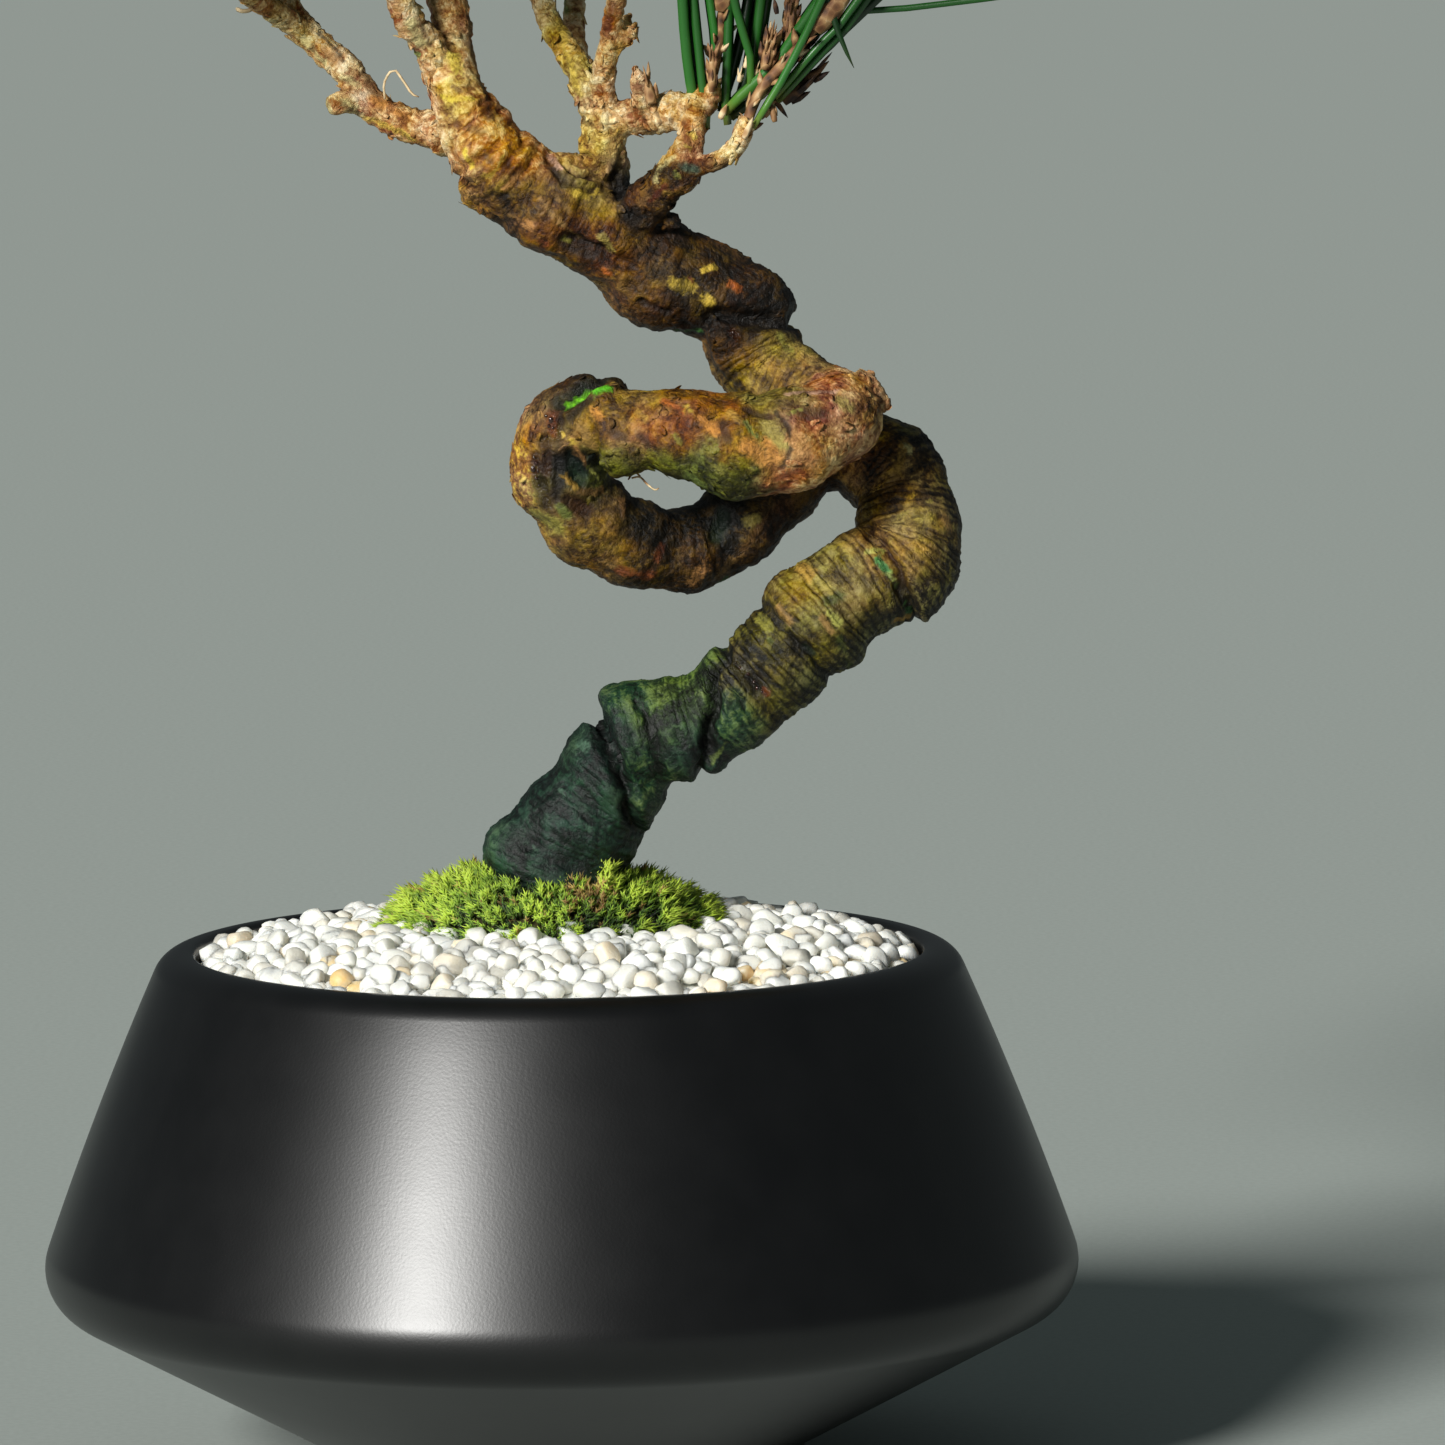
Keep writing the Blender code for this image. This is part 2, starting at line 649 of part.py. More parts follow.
def build_moss(model):
    """Raise the moss mound, tufted by a noise, with the stem's hole through it."""
    profile = []
    for k in range(MOSS_RINGS + 1):
        t = k / MOSS_RINGS
        profile.append((t, MOSS_EDGE_Z + MOSS_RISE * (1.0 - t * t) ** 0.8))
    profile.append((1.0, SOIL_TOP_Z + GAP))
    profile.append((0.0, SOIL_TOP_Z + GAP))
    moss = turned("moss", profile, model, MOSS_STEPS)
    moss.data.transform(Matrix.Diagonal((MOSS_HALF[0], MOSS_HALF[1], 1.0, 1.0)))
    moss.data.transform(Matrix.Translation((MOSS_CENTRE[0] * MM, MOSS_CENTRE[1] * MM, 0.0)))
    for vertex in moss.data.vertices:
        spot = vertex.co.copy()
        if spot.z > (MOSS_EDGE_Z + 1.0) * MM:
            for wave, share in zip(MOSS_TUFT_WAVES, MOSS_TUFT_SHARES):
                vertex.co.z += MOSS_TUFT * share * noise.noise(spot * wave) * MM
    cut(moss, stem_socket(model))
    dress(moss, "moss")


def folded(route):
    """Swell a thick tube's radius in rings, as folds of bark."""
    out = route.copy()
    steps = np.linalg.norm(np.diff(route[:, :3], axis=0), axis=1)
    travel = np.concatenate([[0.0], np.cumsum(steps)])
    for pitch, share in zip(FOLD_PITCHES, FOLD_SHARES):
        out[:, 3] += route[:, 3] * FOLD_HEIGHT * share * np.sin(math.tau * travel / pitch)
    return out


def build_trunk(model):
    """Join the trunk's bends, its branches, twigs and stubs into one piece of wood."""
    trunk = tube("trunk", folded(smooth_route(STEM_BASE, TRUNK_STEP)), TRUNK_RING_DETAIL, model)
    wood = new_collection("wood")
    for name, route in TRUNK_ROUTES.items():
        tube(name, folded(smooth_route(route, TRUNK_STEP)), TRUNK_RING_DETAIL, wood)
    for name, route in TWIG_ROUTES.items():
        tube(name, smooth_route(route, TWIG_STEP), TWIG_RING_DETAIL, wood)
    fuse(trunk, wood)
    dress(trunk, "trunk")


def wood_balls():
    """Return x, y, z, radius points along all the wood, for keeping needles clear of it."""
    routes = [STEM_BASE, *TRUNK_ROUTES.values(), *TWIG_ROUTES.values()]
    return np.vstack([smooth_route(route, CLEARANCE_STEP) for route in routes])


def segment_gaps(p, q, starts, ends):
    """Return the distance from one segment to each of many."""
    d1 = q - p
    d2 = ends - starts
    r = p - starts
    a = d1 @ d1
    e = np.einsum("ij,ij->i", d2, d2)
    f = np.einsum("ij,ij->i", d2, r)
    c = r @ d1
    b = d2 @ d1
    spread = np.maximum(a * e - b * b, 1e-9)
    s = np.clip((b * f - c * e) / spread, 0.0, 1.0)
    t = np.clip((b * s + f) / e, 0.0, 1.0)
    s = np.clip((b * t - c) / a, 0.0, 1.0)
    return np.linalg.norm(p + s[:, None] * d1 - starts - t[:, None] * d2, axis=1)


class NeedleField:
    """The needles placed so far, and the wood that they keep clear of."""

    def __init__(self):
        """Start with the wood alone."""
        self.balls = wood_balls()
        self.starts = np.zeros((0, 3))
        self.ends = np.zeros((0, 3))

    def is_clear(self, joints, own_twig_end):
        """Say whether a needle, given by its points, keeps clear of all the rest."""
        for p, q in zip(joints[:-1], joints[1:]):
            d = q - p
            t = np.clip((self.balls[:, :3] - p) @ d / (d @ d), 0.0, 1.0)
            away = np.linalg.norm(self.balls[:, :3] - p - t[:, None] * d, axis=1)
            own = np.linalg.norm(self.balls[:, :3] - own_twig_end, axis=1) < OWN_TWIG_REACH
            if np.any((away < self.balls[:, 3] + NEEDLE_RADIUS + 2.0 * GAP) & ~own):
                return False
            if not len(self.starts):
                continue
            if segment_gaps(p, q, self.starts, self.ends).min() < NEEDLE_SPACING:
                return False
        return True

    def add(self, joints):
        """Remember a placed needle or shoot."""
        self.starts = np.vstack([self.starts, joints[:-1]])
        self.ends = np.vstack([self.ends, joints[1:]])


def shoot_route(twig, lean, length):
    """Return the points of a shoot that goes on from its twig's end and turns to its lean."""
    route = smooth_route(TWIG_ROUTES[twig], TWIG_STEP)
    end = route[-1][:3]
    along = route[-1][:3] - route[-2][:3]
    along /= np.linalg.norm(along)
    lean = np.array(lean) / np.linalg.norm(lean)
    first = end + GAP * along
    second = first + SHOOT_STRAIGHT_SHARE * length * along
    last = second + (1.0 - SHOOT_STRAIGHT_SHARE) * length * lean
    middle = 0.5 * (second + last)
    radii = (SHOOT_RADIUS, SHOOT_RADIUS + SHOOT_SWELL, SHOOT_RADIUS, SHOOT_TIP_RADIUS)
    return np.array([(*p, r) for p, r in zip((first, second, middle, last), radii)])


def needle_points(shoot, lean, share, turn, opening, length, bow):
    """Return the root, knee and tip of a needle on a shoot, opening to the side and in depth."""
    lean = np.array(lean) / np.linalg.norm(lean)
    side = np.cross((0.0, 1.0, 0.0), lean)
    side /= np.linalg.norm(side)
    depth = np.cross(lean, side)
    out = math.cos(turn) * math.tan(opening[0]) * side + math.sin(turn) * math.tan(opening[1]) * depth
    along = (lean + out) / np.linalg.norm(lean + out)
    place = share * (len(shoot) - 1)
    k = min(int(place), len(shoot) - 2)
    root = shoot[k][:3] + (shoot[k + 1][:3] - shoot[k][:3]) * (place - k)
    tip = root + along * length
    tip[2] -= bow
    knee = root + along * (0.5 * length)
    knee[2] += 0.5 * bow
    return np.array([root, knee, tip])


def needle_object(joints, collection):
    """Model one needle: a three-sided cone, bent at its knee."""
    root, knee, tip = (Vector(joint) * MM for joint in joints)
    length = (tip - root).length
    mesh = bpy.data.meshes.new("needle")
    work = bmesh.new()
    bmesh.ops.create_cone(work, cap_ends=True, segments=NEEDLE_SIDES,
                          radius1=NEEDLE_ROOT_RADIUS * MM, radius2=0.0, depth=length)
    bmesh.ops.remove_doubles(work, verts=work.verts, dist=1e-6)
    bmesh.ops.translate(work, verts=work.verts, vec=(0.0, 0.0, 0.5 * length))
    long_edges = [edge for edge in work.edges if edge.calc_length() > 0.5 * length]
    bmesh.ops.subdivide_edges(work, edges=long_edges, cuts=1)
    swell = 2.0 * NEEDLE_RADIUS / NEEDLE_ROOT_RADIUS
    middle = [vertex for vertex in work.verts if abs(vertex.co.z - 0.5 * length) < 0.1 * length]
    bmesh.ops.scale(work, verts=middle, vec=(swell, swell, 1.0))
    aim = (tip - root).to_track_quat("Z", "Y").to_matrix().to_4x4()
    bmesh.ops.transform(work, verts=work.verts, matrix=Matrix.Translation(root) @ aim)
    bmesh.ops.translate(work, verts=middle, vec=knee - 0.5 * (root + tip))
    bmesh.ops.recalc_face_normals(work, faces=work.faces)
    work.to_mesh(mesh)
    work.free()
    mesh_object("needle", mesh, collection)


def build_needles(model):
    """Grow each spray: a slim shoot at its twig's end, with needles out of it on all sides."""
    field = NeedleField()
    shoots = {}
    for name, (twig, lean, length, _, _, _) in SPRAYS.items():
        shoots[name] = shoot_route(twig, lean, length)
    placed = {name: [] for name in SPRAYS}
    rng = random.Random(7)
    for name, (twig, lean, _, count, opening, side_share) in SPRAYS.items():
        shoot = shoots[name]
        twig_end = np.array(TWIG_ROUTES[twig][-1][:3])
        others = NeedleField()
        others.starts = field.starts
        others.ends = field.ends
        for other, route in shoots.items():
            if other != name:
                others.add(route[:, :3])
        for k in range(count):
            order = (k + 0.5) / count
            for _ in range(NEEDLE_TRIES):
                wide = opening[1] + (opening[0] - opening[1]) * order
                wide = math.radians(wide * rng.uniform(*NEEDLE_OPENING_SPREAD))
                turn = GOLDEN_ANGLE * k + rng.uniform(-NEEDLE_TURN_JITTER, NEEDLE_TURN_JITTER)
                share = NEEDLE_SHARES[0] + (NEEDLE_SHARES[1] - NEEDLE_SHARES[0]) * order
                joints = needle_points(shoot, lean, share, turn, (side_share * wide, wide),
                                       rng.uniform(*NEEDLE_LENGTH), rng.uniform(0.0, NEEDLE_BOW))
                rise = (joints[2][2] - joints[0][2]) / NEEDLE_LENGTH[0]
                if rise > NEEDLE_MIN_RISE and others.is_clear(joints, twig_end):
                    placed[name].append(joints)
                    break
        for joints in placed[name]:
            field.add(joints)
    for name, shoot in shoots.items():
        spray = tube(name, shoot, TWIG_RING_DETAIL, model)
        needles = new_collection(name + "_needles")
        for joints in placed[name]:
            needle_object(joints, needles)
        fuse(spray, needles)
        dress(spray, "needles")
        print(name, len(placed[name]), "needles")


def main():
    """Build the pot, what fills it, and the tree."""
    clear_scene()
    model = new_collection(OBJECT_NAME)
    build_pot(model)
    build_screen(model)
    build_soil(model)
    build_gravel(model)
    build_moss(model)
    build_trunk(model)
    build_needles(model)


main()
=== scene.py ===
"""Looks of a Japanese black pine bonsai in a round satin black pot.

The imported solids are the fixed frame, in metres, +Z up, seen from -Y. Sizes and routes here
are the same as the solids' own, written in millimetres and scaled by MM. The pot, gravel,
moss, wood and needles get finer pieces that keep the solids' form; the soil and the drain
screen keep their solids and get a better finish.
"""
import logging
import math
import random
from collections.abc import Callable
from dataclasses import dataclass, field
from enum import Enum

import bpy
import numpy as np
from mathutils import Matrix, Vector
from mathutils.bvhtree import BVHTree


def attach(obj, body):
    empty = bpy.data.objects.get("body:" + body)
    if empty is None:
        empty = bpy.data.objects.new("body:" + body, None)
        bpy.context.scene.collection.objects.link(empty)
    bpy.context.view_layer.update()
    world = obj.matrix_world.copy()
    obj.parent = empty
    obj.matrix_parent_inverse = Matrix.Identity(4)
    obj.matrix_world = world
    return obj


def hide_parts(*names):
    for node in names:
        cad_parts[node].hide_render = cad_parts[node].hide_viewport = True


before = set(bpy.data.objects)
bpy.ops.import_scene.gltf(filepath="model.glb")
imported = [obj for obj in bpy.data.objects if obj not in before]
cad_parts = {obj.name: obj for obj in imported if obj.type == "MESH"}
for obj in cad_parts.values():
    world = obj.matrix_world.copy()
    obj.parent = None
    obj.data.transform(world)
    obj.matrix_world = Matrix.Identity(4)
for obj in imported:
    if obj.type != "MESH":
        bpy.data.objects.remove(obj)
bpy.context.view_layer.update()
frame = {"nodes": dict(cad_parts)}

LOG = logging.getLogger("bonsai")
MM = 0.001
GOLDEN = math.pi * (3.0 - math.sqrt(5.0))
MARK_KINDS = {(): ("FLOAT", "value"), (3,): ("FLOAT_VECTOR", "vector"), (4,): ("FLOAT_COLOR", "color")}
Array = np.ndarray
Place = tuple[float, float, float]
Route = tuple[tuple[float, float, float, float], ...]
Stops = tuple[tuple[float, str], ...]
Socket = bpy.types.NodeSocket
Value = Socket | float | tuple[float, ...]

# The wood's routes: x, y, z and the radius at each point.
TRUNK_ROUTES: dict[str, Route] = {
    "base": (
        (-4.0, 6.0, 74.0, 9.0), (-3.5, 6.0, 78.0, 9.8), (-2.5, 6.0, 83.0, 10.3),
        (-1.0, 6.0, 92.5, 10.8), (2.8, 5.0, 99.5, 9.9), (7.6, 4.0, 106.5, 8.7),
        (12.0, 3.0, 112.5, 7.9),
    ),
    "knee": (
        (9.5, 3.0, 113.5, 8.0), (14.5, 2.0, 115.0, 8.4), (20.5, 1.0, 116.0, 8.0),
        (27.5, 0.0, 120.0, 7.6),
    ),
    "rise": (
        (25.5, 0.0, 118.5, 7.3), (34.0, 0.0, 126.0, 8.0), (40.0, 0.0, 132.5, 8.5),
        (46.5, 1.0, 137.5, 8.2), (52.5, 3.0, 140.0, 8.0),
    ),
    "elbow": (
        (50.5, 2.0, 138.5, 7.8), (54.0, 3.0, 141.0, 8.4), (54.3, 6.0, 147.0, 7.9),
        (53.0, 9.0, 153.0, 7.5), (49.5, 11.0, 156.5, 7.2),
    ),
    "loop_underside": (
        (51.5, 10.0, 155.0, 7.0), (44.5, 12.0, 158.3, 6.7), (39.0, 12.0, 157.0, 6.7),
        (33.5, 11.0, 152.0, 6.7), (28.0, 9.0, 146.5, 6.7), (21.0, 7.0, 143.0, 6.3),
        (12.5, 3.0, 144.0, 6.8), (5.0, 0.0, 148.5, 7.1), (0.8, -2.5, 155.5, 7.0),
    ),
    "loop_side": (
        (2.2, -1.5, 152.5, 6.9), (0.3, -3.0, 157.0, 7.1), (1.5, -5.0, 162.5, 6.6),
        (5.5, -7.5, 165.5, 5.8), (9.5, -9.0, 165.0, 5.2),
    ),
    "loop_front": (
        (8.5, -9.0, 162.0, 6.4), (15.0, -11.0, 163.0, 6.3), (22.5, -12.5, 162.0, 7.2),
        (30.0, -13.0, 160.5, 8.2), (37.5, -13.0, 162.0, 7.7), (42.5, -10.5, 164.0, 6.9),
        (44.5, -6.0, 165.5, 6.2),
    ),
    "neck": (
        (44.0, -7.5, 164.5, 6.0), (40.0, -3.0, 167.0, 6.2), (34.5, 1.0, 169.5, 6.9),
        (31.3, 3.0, 173.5, 7.0), (29.0, 4.0, 178.5, 7.0),
    ),
    "shoulder": (
        (30.5, 4.5, 177.0, 6.6), (28.0, 4.5, 181.5, 7.3), (23.0, 4.0, 183.5, 7.4),
        (16.5, 2.0, 185.5, 7.6), (10.5, 1.0, 190.0, 7.1), (7.5, 0.0, 193.0, 6.8),
    ),
    "head": (
        (9.5, 0.5, 191.5, 6.4), (1.5, -1.0, 196.5, 7.6), (-4.0, -1.0, 199.5, 7.2),
        (-8.0, -2.0, 203.5, 6.2), (-11.0, -2.0, 208.0, 5.3), (-13.5, -2.0, 212.5, 4.7),
        (-16.0, 0.0, 219.5, 3.6),
    ),
}

TWIG_ROUTES: dict[str, Route] = {
    "left_front": (
        (-15.8, -1.0, 215.5, 3.0), (-18.5, -2.0, 221.5, 2.6), (-21.5, -4.0, 225.5, 2.3),
        (-23.5, -6.0, 231.0, 2.2), (-25.5, -10.0, 239.0, 1.9),
    ),
    "crown": (
        (-14.8, 1.0, 215.5, 3.3), (-15.5, 3.0, 225.0, 3.1), (-16.5, 4.0, 231.5, 2.6),
        (-17.0, 3.0, 240.0, 2.3), (-14.5, 0.0, 248.0, 1.9),
    ),
    "left_back": ((-16.2, 4.0, 229.0, 2.2), (-18.5, 13.0, 236.0, 2.0), (-21.5, 24.0, 242.0, 1.7)),
    "left": (
        (-10.5, -1.0, 207.0, 3.6), (-18.5, 2.0, 208.5, 2.8), (-24.0, 4.0, 210.0, 2.6),
        (-28.5, 5.0, 213.0, 2.5), (-31.5, 6.0, 217.5, 2.3), (-35.5, 8.0, 221.0, 2.3),
        (-40.0, 10.0, 225.5, 2.2), (-42.5, 13.0, 231.5, 2.0), (-43.5, 18.0, 240.0, 1.7),
    ),
    "far_left": (
        (-37.5, 9.0, 223.0, 1.9), (-43.5, 3.0, 227.5, 1.7), (-47.0, -4.0, 230.5, 1.6),
        (-51.5, -12.0, 235.0, 1.5),
    ),
    "left_stub": ((-27.5, 5.0, 213.0, 2.0), (-34.0, 2.0, 212.5, 1.7)),
    "middle_stem": (
        (8.5, 0.0, 193.5, 4.8), (8.0, 0.0, 200.0, 3.9), (8.0, -1.0, 205.5, 3.6),
        (8.0, -2.0, 211.5, 3.0),
    ),
    "middle": (
        (8.0, -2.0, 209.0, 2.5), (5.5, -1.0, 214.5, 2.3), (3.5, 1.0, 219.0, 2.0),
        (1.0, 4.0, 222.5, 1.9), (-1.0, 6.0, 226.5, 1.7), (-3.5, 8.0, 234.5, 1.5),
    ),
    "back": (
        (8.0, 1.0, 199.5, 2.6), (7.5, 13.0, 206.0, 2.1), (5.5, 22.0, 213.0, 1.9),
        (3.5, 28.0, 219.5, 1.7), (3.5, 32.5, 227.0, 1.6), (6.0, 37.0, 234.0, 1.5),
    ),
    "middle_front": (
        (8.0, -2.0, 210.0, 2.2), (8.0, -4.0, 216.5, 1.9), (9.0, -6.0, 221.0, 1.6),
        (10.0, -9.0, 227.5, 1.5), (13.0, -16.0, 238.0, 1.4),
    ),
    "middle_front_stub": ((8.7, -5.5, 220.0, 1.1), (13.0, -8.0, 224.0, 0.9)),
    "right": (
        (7.5, -2.0, 210.0, 2.6), (13.5, -3.0, 210.5, 2.8), (18.0, -4.0, 211.0, 2.9),
        (21.5, -5.0, 211.7, 2.8), (23.6, -5.0, 213.3, 2.3), (24.3, -5.0, 215.6, 2.0),
    ),
    "right_prop": (
        (9.0, 0.0, 191.5, 4.0), (13.5, -4.0, 196.5, 3.4), (17.0, -6.0, 200.0, 2.9),
        (19.5, -8.0, 202.5, 3.2), (21.0, -8.0, 206.0, 2.2), (22.0, -6.5, 211.0, 1.9),
    ),
    "far_right": (
        (20.0, -8.5, 202.7, 1.7), (25.0, -11.0, 204.0, 1.4), (28.5, -12.0, 206.5, 1.4),
        (30.2, -12.0, 210.5, 1.5),
    ),
}

# Small stumps, horns and spurs that only the looks have, sunk in the wood that carries them.
STUMPS: dict[str, Route] = {
    "head_stump": ((-5.0, -1.0, 199.0, 4.6), (-10.0, -2.5, 200.2, 4.0), (-13.2, -3.2, 201.0, 3.3)),
    "loop_horn": ((46.0, -8.0, 169.0, 3.0), (48.8, -8.4, 168.2, 2.1), (51.4, -8.8, 165.9, 0.6)),
    "neck_knob": ((27.0, 1.0, 176.5, 3.2), (26.6, -3.4, 177.4, 2.5)),
    "prop_ball": ((17.6, -3.0, 193.8, 1.1), (19.0, -4.2, 194.8, 1.35)),
    "head_spur": ((11.5, -2.0, 222.5, 1.0), (11.8, -3.5, 226.0, 0.7)),
    "twig_nub": ((14.0, -5.5, 212.0, 1.6), (13.4, -7.0, 216.2, 1.1), (12.9, -7.5, 218.4, 0.4)),
}


class Tone(Enum):
    """The kinds of bark by colour, each as the hex of its hollows, its body and its ridges; the hollows'
    tone is partly painted shade, and some kinds are also laid as painted shade.
    """

    # Dark teal-black of the stem's foot; also laid as painted shade under the knee.
    WET_BLACK = ("#020403", "#0c1a14", "#223a2c")
    ALGAE_GREY = ("#14221a", "#2c4432", "#566c50")
    ALGAE_GREEN = ("#081008", "#1e3824", "#5c6e44")
    GREEN_OLIVE = ("#080e04", "#28381a", "#627640")
    MOSSY_OLIVE = ("#121606", "#3a3c14", "#666c2e")
    OLIVE = ("#0e0c04", "#363010", "#625a28")
    DARK_OLIVE = ("#080906", "#2a2a1a", "#6c6a44")
    # Near-black brown; also laid as painted shade down the elbow's right side.
    EARTH_BLACK = ("#050504", "#241d12", "#706640")
    # Near black, laid mostly as painted shade: under the loop, on the shoulder's right side and in the
    # hollow between the middle stem and the prop.
    BLACK = ("#020201", "#0a0804", "#382a12")
    DARK_BROWN = ("#100a05", "#34220e", "#6a4e26")
    DEEP_BROWN = ("#0a0603", "#241609", "#523a1a")
    BROWN = ("#1c0f07", "#4a2e14", "#805c2c")
    GREY_BROWN = ("#2c1e12", "#5a4024", "#86663c")
    OCHRE = ("#362c14", "#6a5c2c", "#94884c")
    TAN = ("#382818", "#705a32", "#a2884e")
    STREAKED_BROWN = ("#160e07", "#604628", "#bc9656")
    RUST_BROWN = ("#3a2616", "#705230", "#b08a50")
    GOLD_ORANGE = ("#321a10", "#926844", "#dabc6c")
    FOX_ORANGE = ("#46260e", "#7a4a20", "#a87434")
    CALLUS_PINK = ("#6c4028", "#b08258", "#eac694")
    PAPERY_TAN = ("#8e5c3a", "#d2ae7c", "#f6e4bc")
    PAPERY_YELLOW = ("#6a4a20", "#b4944e", "#e2cc80")
    PAPERY_ORANGE = ("#6c3e20", "#b07c4c", "#e2c28c")


class Hue(Enum):
    """The small marks' colours: cracks, resin, bare wood, lichen and algae; cracks also serve as painted
    shade, and one tan as a painted highlight.
    """

    # Dark cracks; also laid as painted shade in the hollow between the middle stem and the prop.
    CRACK = "#0a0706"
    WET_CRACK = "#0c1f14"
    DARK_RESIN = "#2a130c"
    DARK_BROWN = "#3c281a"
    REDWOOD = "#5e2614"
    BROWN = "#70502c"
    RUST = "#783c1c"
    BRIGHT_RUST = "#ac5a20"
    TAN = "#92703e"
    WARM_TAN = "#b48048"
    PINK_TAN = "#c49a82"
    OCHRE = "#aa8438"
    ORANGE = "#cc8a3e"
    OLIVE_OCHRE = "#a29248"
    LICHEN = "#cbac40"
    BRIGHT_LICHEN = "#dec63a"
    PALE_WOOD = "#d6c888"
    DEEP_OLIVE = "#465020"
    OLIVE = "#848034"
    MOSS_OLIVE = "#687838"
    YELLOW_GREEN = "#a8a850"
    GREY_TEAL = "#46624f"
    LEAF_GREEN = "#3c7032"
    ALGAE = "#1a8046"
    FRESH_GREEN = "#749c42"
    PALE_LIME = "#bcd074"
    DEEP_LIME = "#50cc1f"
    LIME = "#8cf01c"


SUNK_HUES = (Hue.CRACK, Hue.WET_CRACK, Hue.DARK_RESIN)


def linear(colour: str) -> tuple[float, float, float, float]:
    """Turn an sRGB hex colour to linear.

    Args:
        colour: the colour, as "#rrggbb".

    Returns:
        Red, green, blue and an alpha of 1.
    """
    parts = [int(colour[k:k + 2], 16) / 255.0 for k in (1, 3, 5)]
    red, green, blue = (p / 12.92 if p <= 0.04045 else ((p + 0.055) / 1.055) ** 2.4 for p in parts)
    return red, green, blue, 1.0


def set_inputs(tree: bpy.types.NodeTree, node: bpy.types.Node, values: dict) -> None:
    """Set a node's inputs, by name or place, each to a number, a colour or another node's output.

    Args:
        tree: the material's nodes.
        node: the node.
        values: what each input gets, by its name or place.
    """
    for name, value in values.items():
        if isinstance(value, Socket):
            tree.links.new(value, node.inputs[name])
        else:
            node.inputs[name].default_value = value


def add_node(tree: bpy.types.NodeTree, kind: str, values: dict | None = None,
             stops: Stops = (), **settings: object) -> bpy.types.Node:
    """Add a node with its settings and links.

    Args:
        tree: the material's nodes.
        kind: the node's type.
        values: a number or a socket to link for each input, by its name or place.
        stops: positions and hex colours, for a colour ramp.
        settings: the node's own settings.

    Returns:
        The new node.
    """
    node = tree.nodes.new(kind)
    for name, value in settings.items():
        setattr(node, name, value)
    set_inputs(tree, node, values or {})
    for place, (position, colour) in enumerate(stops):
        element = node.color_ramp.elements
        stop = element[place] if place < 2 else element.new(position)
        stop.position = position
        stop.color = linear(colour)
    return node


